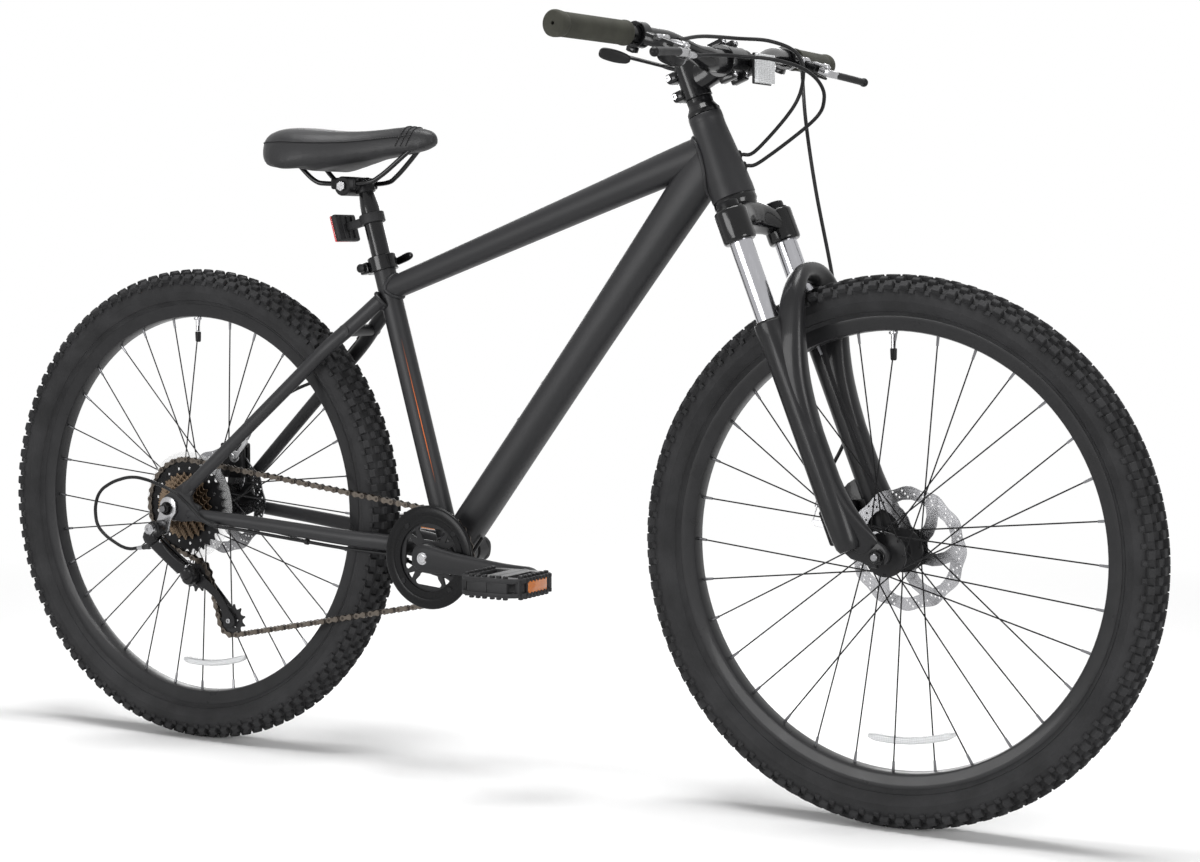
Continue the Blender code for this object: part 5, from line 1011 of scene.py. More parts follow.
rounds = [(Vector((crank_axle.x, crank_axle.z)), pitch_radius(ring_teeth), -1, -ring_right),
    (Vector((tension_axle.x, tension_axle.z)), pitch_radius(pulley_teeth), -1, -sprocket_right),
    (Vector((guide_axle.x, guide_axle.z)), pitch_radius(pulley_teeth), 1, -sprocket_right),
    (Vector((rear_axle.x, rear_axle.z)), pitch_radius(sprocket_teeth[0]), -1, -sprocket_right)]
leave, arrive = [], []
for index, (centre, radius, spin, left) in enumerate(rounds):
    other, other_radius, other_spin = rounds[(index + 1) % 4][:3]
    gap = other - centre
    lean = (radius * spin - other_radius * other_spin) / gap.length
    unit = gap.normalized()
    direction = lean * unit + sqrt(1 - lean * lean) * Vector((unit.y, -unit.x))
    leave.append(centre + radius * spin * direction)
    arrive.append(other + other_radius * other_spin * direction)
loop = []
for index, (centre, radius, spin, left) in enumerate(rounds):
    start, end = arrive[index - 1] - centre, leave[index] - centre
    first = atan2(start.y, start.x)
    sweep = (atan2(end.y, end.x) - first) * spin % (2 * pi)
    loop.append((radius * sweep, index, first))
    loop.append(((arrive[index] - leave[index]).length, index, None))
link_count = round(sum(part[0] for part in loop) / pitch)


def chain_spot(distance):
    """Place on the loop at a distance along it, as a point of the bike."""
    distance %= link_count * pitch
    for length, index, first in loop:
        if distance <= length + 1e-7:
            break
        distance -= length
    centre, radius, spin, left = rounds[index]
    if first is not None:
        turn = first + spin * distance / radius
        x, z = polar(radius, turn, *centre)
        return Vector((x, left, z))
    share = distance / length
    spot = leave[index].lerp(arrive[index], share)
    return Vector((spot.x, left + share * (rounds[(index + 1) % 4][3] - left), spot.y))


def link_plates(work, first, second, out):
    """A pair of waisted plates between two pins, with the pins' ends or the rollers."""
    along = (second - first).normalized()
    across = Vector((0, 1, 0))
    stand = axes_at((first + second) / 2, along, along.cross(across).normalized())
    half = [(-0.84, 0.0), (-0.74, 0.003), (-0.5, 0.0043), (-0.26, 0.0033), (0.0, 0.0021), (0.26, 0.0033),
        (0.5, 0.0043), (0.74, 0.003)]
    outline = half + [(-x, -z) for x, z in half]
    for side in (-1, 1):
        low = [work.verts.new(stand @ Vector((x * pitch, side * out, z))) for x, z in outline]
        face = work.faces.new(low)
        drawn_out = bmesh.ops.extrude_face_region(work, geom=[face])["geom"]
        lifted = [vert for vert in drawn_out if isinstance(vert, bmesh.types.BMVert)]
        bmesh.ops.translate(work, vec=stand.to_3x3() @ Vector((0, side * 0.001, 0)), verts=lifted)
    pin(work, 0.002, 0.0086, Matrix.Translation(first) @ side_on)


chain_dark = steel("chain_dark", "bronze_steel", (0.05, 0.043, 0.038), 0.4)
outer_work, inner_work = bmesh.new(), bmesh.new()
for link in range(link_count):
    first, second = chain_spot(link * pitch), chain_spot((link + 1) * pitch)
    link_plates(*((outer_work, first, second, 0.0029) if link % 2 else (inner_work, first, second, 0.0018)))
piece("chain_links", "frame", [(outer_work, chain_steel), (inner_work, chain_dark)], ["chain"])


# Freewheel: seven stamped sprockets, the biggest one black and pierced, on a steel body.
def pin_turn(index):
    """Angle of one pin on a wheel of the loop, so that its teeth stand between the pins."""
    travelled = 0.0
    for length, part, first in loop:
        if part == index and first is not None:
            before = ceil(travelled / pitch - 1e-9) * pitch - travelled
            return first + rounds[index][2] * before / rounds[index][1]
        travelled += length


def gear(teeth, start):
    """Toothed outline: a round root under each pin and a narrow tooth between neighbours."""
    radius = pitch_radius(teeth)
    spots = []
    for tooth in range(teeth):
        for share, rise in ((0.0, -0.0042), (0.2, -0.0034), (0.32, -0.0012), (0.43, 0.0018),
                (0.57, 0.0018), (0.68, -0.0012), (0.8, -0.0034)):
            spots.append(polar(radius + rise, start + 2 * pi * (tooth + share) / teeth))
    return spots


def holes(radius, sides, circle, count):
    """Outlines of round holes spaced on a circle."""
    return [ring_of(radius, sides, *spot) for spot in ring_of(circle, count)]


bronze = steel("bronze_steel", "bronze_steel", (0.185, 0.136, 0.094), 0.32)
black_steel = dark_metal("black_steel", "bronze_steel", 0.34)
freewheel_parts = []
for index, teeth in enumerate(sprocket_teeth):
    outlines = [gear(teeth, pin_turn(3)), ring_of(0.018, 32)]
    if index == 0:
        outlines += holes(0.0024, 12, 0.056, 17)
    elif index < 4:
        outlines += holes(0.0022, 10, pitch_radius(teeth) - 0.0115, 12)
    right = sprocket_right + index * sprocket_step
    freewheel_parts.append((slab(outlines, 0.0019, rear_side @ at_point(0, 0, right), 0.0002),
        black_steel if index == 0 else bronze))
core_low, core_high = sprocket_right - 0.003, sprocket_right + 6 * sprocket_step + 0.0014
freewheel_parts.append((turned([(0.0163, core_high), (0.0198, core_high), (0.0205, core_high - 0.0007),
    (0.0205, core_low), (0.0163, core_low)], rear_side, 48, closed=True), plain_steel))
piece("freewheel_sprockets", "freewheel", freewheel_parts, ["freewheel"])

# Chainring and guard: a black steel ring with a moulded dish over its teeth.
rough_plastic = rubber("moulded_plastic", "black_plastic", (0.019, 0.019, 0.0198), 0.5, 1500, 0.00009)
guard_plastic = rubber("guard_plastic", "black_metal", (0.0036, 0.0036, 0.004), 0.26, 1500, 0.00004)
crank_lean = -5
crank_at = bb_side @ swung(crank_lean, 'Z')
ring_parts = [(slab([gear(ring_teeth, pin_turn(0)), ring_of(0.0465, 64)], 0.003,
    bb_side @ at_point(0, 0, ring_right), 0.0003), black_steel)]
guard_middle = ring_right + 0.0072
guard_rows = mm((47.5, 1), (48.2, 1.6), (56, 1.6), (57.2, 2.6), (59, 3.1), (69, 2.6), (71.2, 1.6),
    (72, 0.2), (72, -1.6), (47.5, -1.6))
guard_work = turned(guard_rows, bb_side @ at_point(0, 0, guard_middle), 96, closed=True)
ring_parts.append((guard_work, guard_plastic))
for x, y in ring_of(0.0545, 4, start=radians(45 + crank_lean)):
    ring_parts.append((drum(0.004, ring_right - 0.003, guard_middle + 0.0028, bb_side @ at_point(x, y),
        20), black_steel))
piece("chainring_and_guard", "crankset", ring_parts, ["chainring"])

# Cranks: forged black arms on a square spindle; the right one carries a pierced spider.
crank_black = dark_metal("crank_black", "black_metal", 0.4, 0.0, (0.015, 0.015, 0.0158))
crank_long, arm_in, arm_out = 0.17, ring_right + 0.012, ring_right + 0.0245
spindle_radius = 0.0085


def window(middle, low, high, half, corner):
    """Rounded sector window between two radii, drawn round a direction."""
    spots = []
    for radius, turn, start in ((high - corner, half - corner / high, 0.0),
            (high - corner, corner / high - half, -0.5), (low + corner, corner / low - half, -1.0),
            (low + corner, half - corner / low, -1.5)):
        for step in range(5):
            bend = middle + (start - step / 8) * pi + pi / 2
            centre = middle + turn
            spots.append(polar(corner, bend, *polar(radius, centre)))
    return spots


def spider_outlines():
    """Disc with four broad windows, a small three-sided one in the root of each arm, and the spindle hole."""
    outlines = [ring_of(0.0494, 72), ring_of(spindle_radius + 0.0004, 24)]
    for arm in range(4):
        middle = arm * pi / 2
        outlines.append(window(middle, 0.025, 0.044, 0.56, 0.005))
        root = ((0.0335, 0.0), (0.044, 0.105), (0.0448, 0.085), (0.0452, 0.0), (0.0448, -0.085),
            (0.044, -0.105))
        outlines.append([polar(radius, middle + pi / 4 + turn) for radius, turn in root])
    return outlines


def leftward(at):
    """Direction of a matrix's Y axis."""
    return at.to_3x3() @ Vector((0, 1, 0))


def arm_work(at, middle):
    """Crank arm: round at the spindle, waisted, round again at the pedal eye, thinner there."""
    rows = mm((-18.5, 6, 4), (-16.5, 12, 5.5), (-10, 17.2, 6.2), (0, 19, 6.5), (20, 17.8, 6.6),
        (50, 15, 6.6), (90, 13.6, 6.4), (130, 13, 6), (158, 14, 6), (170, 14.4, 6), (179, 11.8, 5.6),
        (183.5, 6, 4.5))
    points = placed(at, [(along, 0, middle, half, thick) for along, half, thick in rows])
    return drawn(flow(points, 48), 28, leftward(at), 3.4)


bolt_face = ring_right + 0.0238
boss_rows = [(spindle_radius, -0.0078)] + mm((18.4, -7.8), (19, -7.2), (20.5, 6), (19.2, 12), (17.8, 22),
    (12, 23.5), (0, 23.5))
right_parts = [(arm_work(crank_at, (arm_in + arm_out) / 2), crank_black),
    (slab(spider_outlines(), 0.0036, crank_at @ at_point(0, 0, ring_right + 0.0036), 0.0006),
    crank_black), (turned(boss_rows, bb_side @ at_point(0, 0, ring_right), 48), crank_black),
    (hex_nut(bb_side, 0.0058, bolt_face - 0.001, bolt_face + 0.0026), plain_steel),
    (drum(0.0086, bolt_face - 0.001, bolt_face + 0.001, bb_side, 32, 0.0003), plain_steel),
    (drum(0.006, arm_in + 0.004, arm_out + 0.0985, crank_at @ at_point(crank_long, 0), 24), plain_steel)]
piece("crank_right_forging", "crankset", right_parts, ["crank_right"])
left_at = crank_at @ swung(180, 'Z')
left_parts = [(arm_work(left_at, -(arm_in + arm_out) / 2), crank_black),
    (turned([(0.0, -arm_out + 0.0012), (0.012, -arm_out + 0.0012), (0.018, -arm_out + 0.0026),
    (0.019, -arm_out + 0.01), (0.019, -0.0452), (0.0184, -0.0446), (0.0, -0.0446)], bb_side, 48),
    crank_black), (drum(spindle_radius, -arm_in, ring_right + 0.015, bb_side, 32), plain_steel),
    (hex_nut(bb_side, 0.0058, -arm_out - 0.0022, -arm_out + 0.002), plain_steel),
    (drum(0.006, -arm_out - 0.0985, -arm_in - 0.004, crank_at @ at_point(-crank_long, 0), 24), plain_steel)]
piece("crank_left_forging", "crankset", left_parts, ["crank_left"])

# Pedals: moulded plastic cages with toothed edges, turning on the cranks' pins, an amber reflector in
# each long side.
amber = prism_lens("amber_lens", "red_lens", (ahead_axis, left_axis), 380, (0.42, 0.105, 0.008),
    (0.72, 0.22, 0.02), 0.18, 0.0005, Coat_Weight=0.6, Coat_Roughness=0.05)
pedal_half, pedal_wide = 0.046, 0.096


def pedal_parts(at, side):
    """Cage drawn flat round the pin: toothed long sides, two open windows, barrel, reflectors."""
    inner, outer = arm_out + 0.005, arm_out + 0.005 + pedal_wide
    outline = [(pedal_half - 0.012, inner), (pedal_half - 0.003, inner + 0.005)]
    teeth = 9
    for tooth in range(teeth):
        low = inner + 0.009 + (pedal_wide - 0.024) * tooth / teeth
        step = (pedal_wide - 0.024) / teeth
        outline += [(pedal_half - 0.001, low), (pedal_half + 0.003, low + 0.3 * step),
            (pedal_half + 0.003, low + 0.6 * step), (pedal_half - 0.001, low + 0.9 * step)]
    outline += [(pedal_half - 0.004, outer - 0.007), (pedal_half - 0.014, outer)]
    outline = outline + [(-x, y) for x, y in reversed(outline)]
    windows = []
    for sign in (-1, 1):
        low, high = sign * 0.0165, sign * (pedal_half - 0.01)
        windows.append([(low, inner + 0.013), (high, inner + 0.015), (high, outer - 0.021),
            (low, outer - 0.0175)])
    flat = Matrix.Scale(side, 4, Vector((0, 0, 1))) @ side_on
    parts = [(slab([outline] + windows, 0.006, at @ flat @ at_point(0, 0, high), 0.001, 2), rough_plastic)
        for high in (-0.0095, 0.0095)]

    def block(ahead, tall, along, edge, finish=rough_plastic):
        near, far = sorted(ahead)
        low, high = sorted(side * place for place in along)
        parts.append((brick((near, -tall, low), (far, tall, high), at, edge), finish))

    knob_half, knob_tall, knob_up = 0.0028, 0.0022, 0.0137
    for sign in (-1, 1):
        edge = sign * pedal_half
        for low, high in ((inner + 0.004, inner + 0.016), (outer - 0.024, outer - 0.01)):
            block((edge - sign * 0.009, edge - sign * 0.001), 0.0115, (low, high), 0.0015)
        block((edge - sign * 0.006, edge + sign * 0.0012), 0.0096, (inner + 0.02, outer - 0.026), 0.0015)
        block((edge - sign * 0.002, edge + sign * 0.002), 0.008, (inner + 0.022, outer - 0.028), 0.0006,
            amber)
        block((sign * 0.0125, sign * 0.0175), 0.01, (inner + 0.002, outer - 0.003), 0.0012)
        block((0.0, edge - sign * 0.012), 0.009, (inner, inner + 0.006), 0.0012)
        block((0.0, edge - sign * 0.015), 0.009, (outer - 0.009, outer - 0.001), 0.0012)
        knobs = [(edge - sign * 0.0045, inner + 0.014 + 0.0105 * step) for step in range(7)]
        knobs += [(sign * (0.006 + 0.01 * step), outer - 0.006) for step in range(3)]
        reach = Vector((knob_half, knob_tall, knob_half))
        for up in (-knob_up, knob_up):
            for ahead, along in knobs:
                spot = Vector((ahead, up, side * along))
                parts.append((brick(spot - reach, spot + reach, at, 0.001), rough_plastic))
    barrel = [(inner - 0.004, 0.0066), (inner - 0.0042, 0.012), (inner - 0.003, 0.013),
        (outer - 0.014, 0.013), (outer - 0.005, 0.0118), (outer - 0.004, 0.008), (outer - 0.004, 0.0)]
    parts.append((turned([(radius, side * along) for along, radius in barrel], at, 36), rough_plastic))
    return parts


for name, side, body in (("right", 1, "pedal_r"), ("left", -1, "pedal_l")):
    pedal_at = sideways(Vector(joints["pedal_" + name + "_spin"]["pos_m"]))
    piece("pedal_" + name + "_moulded", body, pedal_parts(pedal_at, side), ["pedal_" + name])

# Rear derailleur: black knuckles and links, slanted so that the cage moves across the sprockets; the
# long cage carries two plastic pulleys.
mech_black = dark_metal("derailleur_black", "black_metal", 0.3, 0.15)
upper_pin = Vector(joints["derailleur_shift"]["pos_m"])
inner_pin = Vector(joints["inner_link_swing"]["pos_m"])
far_pin = Vector(joints["lower_knuckle_turn"]["pos_m"])
link_along = (far_pin - upper_pin).normalized()
link_out = (upper_pin - inner_pin).normalized()
link_long, pin_gap = (far_pin - upper_pin).length, (upper_pin - inner_pin).length
link_at = axes_at(upper_pin, link_along, link_out)
knuckle_in = hanger_right + 0.0027
hanger_bolt = rear_side @ at_point(-0.0102, -0.0285)
block_rows = placed(hanger_bolt, [(0.0, 0.0, knuckle_in + 0.0085, 0.012, 0.011)])
block_rows += placed(link_at, [(-0.013, 0, -0.004, 0.0112, 0.0098), (-0.004, 0, -0.0035, 0.009, 0.006)])
cable_end = rear_axle + Vector((-0.034, -0.092, -0.058))
stop_rows = placed(link_at, [(-0.01, 0, -0.004, 0.0075, 0.006)])
for share, wide, deep in ((0.55, 0.0058, 0.005), (0.22, 0.0042, 0.0042), (0.0, 0.0038, 0.0038)):
    stop_rows.append((*cable_end.lerp(upper_pin, share), wide, deep))
stop_screw = hanger_bolt @ at_point(-0.0135, 0.001, knuckle_in + 0.008) @ swung(-90, 'Y')
upper_parts = [(turned(mm((0, 20), (10, 20), (11.2, 18.8), (11.2, 1), (10.5, 0), (0, 0)),
    hanger_bolt @ at_point(0, 0, knuckle_in), 36), mech_black),
    (drawn(flow(block_rows, 14), 24, leftward(link_at), 3.0), mech_black),
    (drum(0.0078, knuckle_in + 0.015, knuckle_in + 0.029, hanger_bolt, 32, 0.0006), plain_steel),
    (socket_screw(hanger_bolt @ at_point(0, 0, knuckle_in + 0.0288), 0.0056, 0.0016), plain_steel),
    (drawn(flow(stop_rows, 12), 20), mech_black), (drum(0.003, -0.006, 0.004, stop_screw, 16), plain_steel)]
piece("derailleur_upper_body", "frame", upper_parts, ["derailleur_upper_knuckle"])


def link_work(at, half_wide, bulge):
    """Cast link between two pins, fuller in the middle, with a round eye at each end."""
    half = [(-0.055, 0.6, 0.002), (-0.03, 0.92, 0.0029), (0.05, 1.0, 0.0031), (0.3, 0.9, bulge)]
    rows = half + [(1 - share, wide, thick) for share, wide, thick in reversed(half)]
    rows = placed(at, [(share * link_long, 0, 0, half_wide * wide, thick) for share, wide, thick in rows])
    return drawn(flow(rows, 36), 24, leftward(at), 3.6)


def pin_heads(at):
    """Flat steel heads of the two pins of a link, at both of its sides."""
    return [(drum(0.0024, -0.0108, 0.0108, at @ at_point(along, 0) @ side_on, 16, 0.0004), plain_steel)
        for along in (0.0, link_long)]


piece("derailleur_outer_casting", "outer_link", [(link_work(link_at, 0.0104, 0.0058), mech_black)]
    + pin_heads(link_at), ["derailleur_outer_link"])
inner_at = link_at @ at_point(0, 0, -pin_gap)
piece("derailleur_inner_casting", "inner_link", [(link_work(inner_at, 0.0085, 0.0026), mech_black)]
    + pin_heads(inner_at), ["derailleur_inner_link"])

guide_side = sideways(guide_axle)
knuckle_out = sprocket_right + 0.01
lower_rows = placed(link_at @ at_point(link_long, 0), [(0.0036, 0, -0.006, 0.0096, 0.0092),
    (0.01, 0, -0.005, 0.0112, 0.0106)])
lower_rows += placed(guide_side @ at_point(0, 0, knuckle_out),
    [(-0.0015, 0.003, 0.0082, 0.0126, 0.0098), (0.003, 0.0, 0.008, 0.0112, 0.008)])
lower_parts = [(drawn(flow(lower_rows, 18), 28, leftward(link_at), 2.3), mech_black),
    (turned(mm((0, 16.5), (5, 16.5), (10, 15), (12, 11), (12.2, 1.2), (11.5, 0), (0, 0)),
    guide_side @ at_point(0, 0, knuckle_out), 40), mech_black)]
piece("derailleur_lower_body", "lower_knuckle", lower_parts, ["derailleur_lower_knuckle"])

cage_line = tension_axle - guide_axle
cage_long = Vector((cage_line.x, cage_line.z)).length
cage_at = guide_side @ Matrix.Rotation(atan2(cage_line.z, cage_line.x), 4, 'Z')


def cage_outline(bow):
    """Outer edge of a cage plate: round at both pulleys, with a waist that bows ahead of them."""
    middle = [(0.0, 0.0, 0.0122), (0.012, 0.3, 0.01), (0.028, 0.8, 0.007), (0.046, 1.0, 0.0058),
        (0.064, 0.8, 0.006), (0.078, 0.34, 0.0082), (cage_long, 0.0, 0.0112)]
    upper = [(along, share * bow + half) for along, share, half in middle]
    lower = [(along, share * bow - half) for along, share, half in middle]
    near = [polar(0.0124, turn) for turn in (-2.2, -2.7, pi, 2.7, 2.2)]
    far = [polar(0.0114, turn, cage_long) for turn in (1.1, 0.55, 0.0, -0.55, -1.1)]
    return upper + far + list(reversed(lower)) + near


cage_parts = []
for right, bow in ((sprocket_right + 0.0085, 0.011), (sprocket_right - 0.0085, 0.004)):
    outlines = [cage_outline(bow), ring_of(0.004, 16), ring_of(0.004, 16, cage_long)]
    cage_parts.append((slab(outlines, 0.002, cage_at @ at_point(0, 0, right), 0.0005), mech_black))
for along in (0.0, cage_long):
    bolt_at = cage_at @ at_point(along, 0)
    cage_parts.append((drum(0.003, sprocket_right - 0.0092, sprocket_right + 0.0092, bolt_at, 20),
        plain_steel))
cage_parts.append((socket_screw(cage_at @ at_point(cage_long, 0, sprocket_right + 0.0095), 0.0038,
    0.0018), plain_steel))
piece("derailleur_cage_plates", "cage", cage_parts, ["derailleur_cage"])
for name, index, axle in (("guide", 2, guide_axle), ("tension", 1, tension_axle)):
    pulley_at = sideways(axle) @ at_point(0, 0, sprocket_right)
    outlines = [gear(pulley_teeth, pin_turn(index)), ring_of(0.0034, 16)] + holes(0.0021, 12, 0.01, 6)
    piece(name + "_pulley_moulded", name + "_pulley", [(slab(outlines, 0.0028, pulley_at, 0.0004),
        rough_plastic)], [name + "_pulley"])

# Disc brakes: cast calipers bolted to the fork and the frame, each with a silver arm that its cable pulls.
caliper_black = dark_metal("caliper_black", "black_metal", 0.34)
silver_cast = steel("cast_aluminium", "bare_metal", (0.5, 0.5, 0.51), 0.34)
caliper_out = 0.0575
front_gap, rear_gap = disc_places["front"], disc_places["rear"]
front_parts = []
for low, high in ((0.0292, front_gap - 0.0021), (front_gap + 0.0021, caliper_out)):
    front_parts.append((brick((-0.051, low, 0.035), (-0.004, high, 0.083), steer, 0.0035, 3), caliper_black))
front_parts.append((brick((-0.051, front_gap - 0.006, 0.0785), (-0.004, front_gap + 0.006, 0.0838), steer,
    0.002), caliper_black))
front_pivot = steer @ at_point(-0.0465, 0, 0.056) @ side_on
front_parts.append((turned(mm((0, -61.4), (9.6, -61.4), (10.5, -60.6), (10.5, -50), (0, -50)),
    front_pivot, 32), caliper_black))
for ahead, high in ((-0.026, 0.042), (-0.026, 0.076)):
    screw_at = steer @ at_point(ahead, 0, high) @ side_on @ at_point(0, 0, -0.0292)
    front_parts.append((socket_screw(screw_at, 0.0046, 0.0026), plain_steel))
piece("front_caliper_casting", "lowers", front_parts, ["front_caliper"])


def pull_arm(pivot, outline, high, thick):
    """Stamped brake arm with its pivot bolt."""
    face = pivot @ at_point(0, 0, high) @ swung(180, 'X')
    return [(slab([outline], thick, pivot @ at_point(0, 0, high), 0.0005), silver_cast),
        (hex_nut(face, 0.0046, thick / 2 - 0.0002, thick / 2 + 0.0034), plain_steel)]


front_arm_outline = ring_of(0.007, 12, start=-1.9)[:8] + mm((-2, 8.5), (-29, 22), (-32.2, 20.5),
    (-33, 18), (-30, 13), (-7, -1))
piece("front_brake_arm", "front_arm", pull_arm(front_pivot, front_arm_outline, -caliper_out - 0.0065,
    0.004), ["front_caliper_arm"])
rear_caliper_at = rear_side @ at_point(0.025, 0.056)
rear_parts = []
for low, high in ((-0.061, -rear_gap - 0.0021), (-rear_gap + 0.0021, -0.0402)):
    rear_parts.append((brick((-0.0225, -0.0195, low), (0.0205, 0.0325, high), rear_caliper_at, 0.003, 3),
        caliper_black))
rear_parts.append((brick((-0.0225, 0.0258, -rear_gap - 0.005), (0.0205, 0.0328, -rear_gap + 0.005),
    rear_caliper_at, 0.002), caliper_black))
rear_parts.append((brick((-0.02, -0.008, -0.0672), (-0.004, 0.012, -0.06), rear_caliper_at, 0.0015),
    caliper_black))
rear_pivot = rear_side @ at_point(0.03, 0.069)
rear_parts.append((drum(0.0092, -0.0412, -0.0392, rear_pivot, 32), silver_cast))
piece("rear_caliper_casting", "frame", rear_parts, ["rear_caliper"])
rear_arm_outline = [polar(0.007, turn) for turn in (-1.6, -2.2, -2.8, 3.1, 2.6, 2.2, 1.7, 1.3)]
rear_arm_outline += mm((8, 8), (24, 27), (26.2, 26.8), (27, 25), (27, 22), (8, -2))
piece("rear_brake_arm", "rear_arm", [(slab([rear_arm_outline], 0.0036,
    rear_pivot @ at_point(0, 0, -0.0375), 0.0005), silver_cast),
    (hex_nut(rear_pivot, 0.0046, -0.0359, -0.033), plain_steel)], ["rear_caliper_arm"])

# Seat post, rail clamp and rails: a gloss black tube, swaged thin at the top, in a bolted clamp that
# pinches two black steel rails.
seat_tube_top, post_radius, post_top = seat_tube_length, 0.0136, 0.545
rail_seat = seat @ Vector((0, 0, post_top))
post_parts = [(turned([(0, post_top), (0.0098, post_top), (0.0105, post_top - 0.0008),
    (0.0105, post_top - 0.018), (0.0112, post_top - 0.024), (0.013, post_top - 0.037),
    (post_radius, post_top - 0.044), (post_radius, seat_tube_top - 0.213), (0, seat_tube_top - 0.213)],
    seat, 48), gloss_black)]
post_parts.append((turned(mm((10, -2), (13.2, -2), (14, -3), (14, -19), (13.2, -20), (10, -20)),
    seat @ at_point(0, 0, post_top), 40), satin_black))
level = at_point(rail_seat.x, 0, rail_seat.z + 0.0141)
post_parts.append((brick((-0.034, -0.018, -0.03), (0.005, 0.018, -0.0135), level, 0.004, 3), satin_black))
clamp_axis = level @ at_point(-0.015, 0, -0.024) @ side_on
post_parts.append((drum(0.0138, -0.0302, 0.0302, clamp_axis, 40, 0.0015), satin_black))
for side in (-1, 1):
    post_parts.append((brick((-0.036, side * 0.0235 - 0.0062, -0.0285),
        (0.006, side * 0.0235 + 0.0062, -0.012), level, 0.0035, 3), satin_black))
    clamp_end = clamp_axis @ swung(0 if side < 0 else 180, 'X')
    post_parts.append((hex_nut(clamp_end, 0.0064, 0.03, 0.0352), plain_steel))
piece("seat_post_tube", "seat", post_parts, ["seatpost"])
rail_half = mm((-112, 30, 29), (-90, 29, 6), (-66, 26.5, -15), (-45, 23.5, -20), (20, 22.5, -19.5),
    (46, 19, -9), (88, 10, 25))
rail_run = rail_half + [(0.094, 0.0, 0.0265)] + [(x, -y, z) for x, y, z in reversed(rail_half)]
rail_rows = placed(level, [(*spot, 0.0035, 0.0035) for spot in rail_run])
piece("saddle_rail_wire", "seat", [(drawn(flow(rail_rows, 120), 16, (0, 0, 1)), gloss_black)],
    ["saddle_rails"])

# Saddle: foam under black vinyl, swollen by a short cloth run from a drawn-in copy of its solid, then
# sewn with a side seam and three rows across the nose; a near-black tube under each row is painted shade of
# the seam's groove.
vinyl = Finish("saddle_vinyl", "saddle_cover", Specular_IOR_Level=0.25)
leather = vinyl.node("TexVoronoi", {"feature": 'SMOOTH_F1'}, {"Vector": vinyl.position(), "Scale": 620.0,
    "Smoothness": 0.6}, "Distance")
vinyl.coat(vinyl.between(vinyl.noise(30, 3), (0.014, 0.014, 0.015), (0.019, 0.019, 0.02)),
    vinyl.spread(leather, 0.1, 0.7, 0.5, 0.4), leather, 0.00022)
thread = rubber("saddle_thread", "saddle_cover", (0.042, 0.042, 0.0435), 0.6, 900, 0.00005)
# Near-black finish for a thin tube along each seam: painted shade standing for the seam's groove.
seam_shade_finish = rubber("saddle_seam_painted_shade", "saddle_cover", (0.006, 0.006, 0.0062), 0.6, 900, 0.00005)
cushion = bmesh.new()
cushion.from_mesh(bpy.data.objects["saddle"].data)
bmesh.ops.remove_doubles(cushion, verts=cushion.verts, dist=1e-5)
bmesh.ops.recalc_face_normals(cushion, faces=cushion.faces)
cushion.normal_update()
hollow = []
for face in cushion.faces:
    middle = level.inverted() @ face.calc_center_median()
    outward = level.to_3x3() @ Vector((0.2 * middle.x, middle.y, middle.z + 0.01))
    if face.normal.dot(outward) < 0.0003:
        hollow.append(face)
bmesh.ops.delete(cushion, geom=hollow, context='FACES')
bmesh.ops.holes_fill(cushion, edges=[edge for edge in cushion.edges if edge.is_boundary], sides=0)
bmesh.ops.triangulate(cushion, faces=[face for face in cushion.faces if len(face.verts) > 4])
bmesh.ops.recalc_face_normals(cushion, faces=cushion.faces)
cushion.normal_update()
for vert in cushion.verts:
    vert.co = vert.co - 0.0016 * vert.normal
cushion_mesh = bpy.data.meshes.new("saddle_cover_sewn")
cushion.to_mesh(cushion_mesh)
cushion.free()
saddle_cover = put("saddle_cover_sewn", cushion_mesh)


def settle(thing):
    """Makes an object's modifiers part of its mesh."""
    mesh = shown_mesh(thing)
    thing.modifiers.clear()
    thing.data = mesh


remesh = saddle_cover.modifiers.new("even_mesh", 'REMESH')
remesh.mode = 'VOXEL'
remesh.voxel_size = 0.004
settle(saddle_cover)
before = [vert.co.copy() for vert in saddle_cover.data.vertices]
swell = saddle_cover.modifiers.new("swell", 'CLOTH')
swell.settings.use_pressure = True
swell.settings.uniform_pressure_force = 4
swell.settings.effector_weights.gravity = 0
swell.settings.quality = 4
for step in range(1, 21):
    bpy.context.scene.frame_set(step)
settle(saddle_cover)
for vert, start in zip(saddle_cover.data.vertices, before):
    shift = vert.co - start
    vert.co = start + shift * min(1.0, 0.0032 / max(shift.length, 1e-9))
bpy.context.scene.frame_set(1)
even = saddle_cover.modifiers.new("even", 'SMOOTH')
even.factor = 0.5
even.iterations = 6
smooth = saddle_cover.modifiers.new("smooth", 'SUBSURF')
smooth.levels = 1
smooth.render_levels = 1
settle(saddle_cover)
saddle_cover.data.materials.clear()
saddle_cover.data.materials.append(vinyl.material)
saddle_cover.data.materials.append(rough_plastic.material)
for polygon in saddle_cover.data.polygons:
    polygon.material_index = int(polygon.normal.z < -0.7)
saddle_cover.data.shade_smooth()
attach(saddle_cover, "seat")
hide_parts("saddle")

skin = BVHTree.FromObject(saddle_cover, bpy.context.evaluated_depsgraph_get())


def seam(knots, count):
    """Row of short stitches laid on the cover along points near it, over a near-black tube of painted seam
    shade.
    """
    work = bmesh.new()
    spots = [skin.find_nearest(level @ Vector(knot)) for knot in flow(knots, count)]
    # A near-black tube along the seam, painted shade in place of the groove's shadow.
    seam_shade_tube = drawn([(*spot[0], 0.0011, 0.0011) for spot in spots[::3]], 8)
    for first, second in zip(spots[::2], spots[1::2]):
        run = second[0] - first[0]
        stand = run.to_track_quat('Z', 'X').to_matrix().to_4x4()
        middle = (first[0] + second[0]) / 2 + 0.001 * first[1]
        pin(work, 0.0006, run.length * 1.25, Matrix.Translation(middle) @ stand, 6)
    return [(work, thread), (seam_shade_tube, seam_shade_finish)]


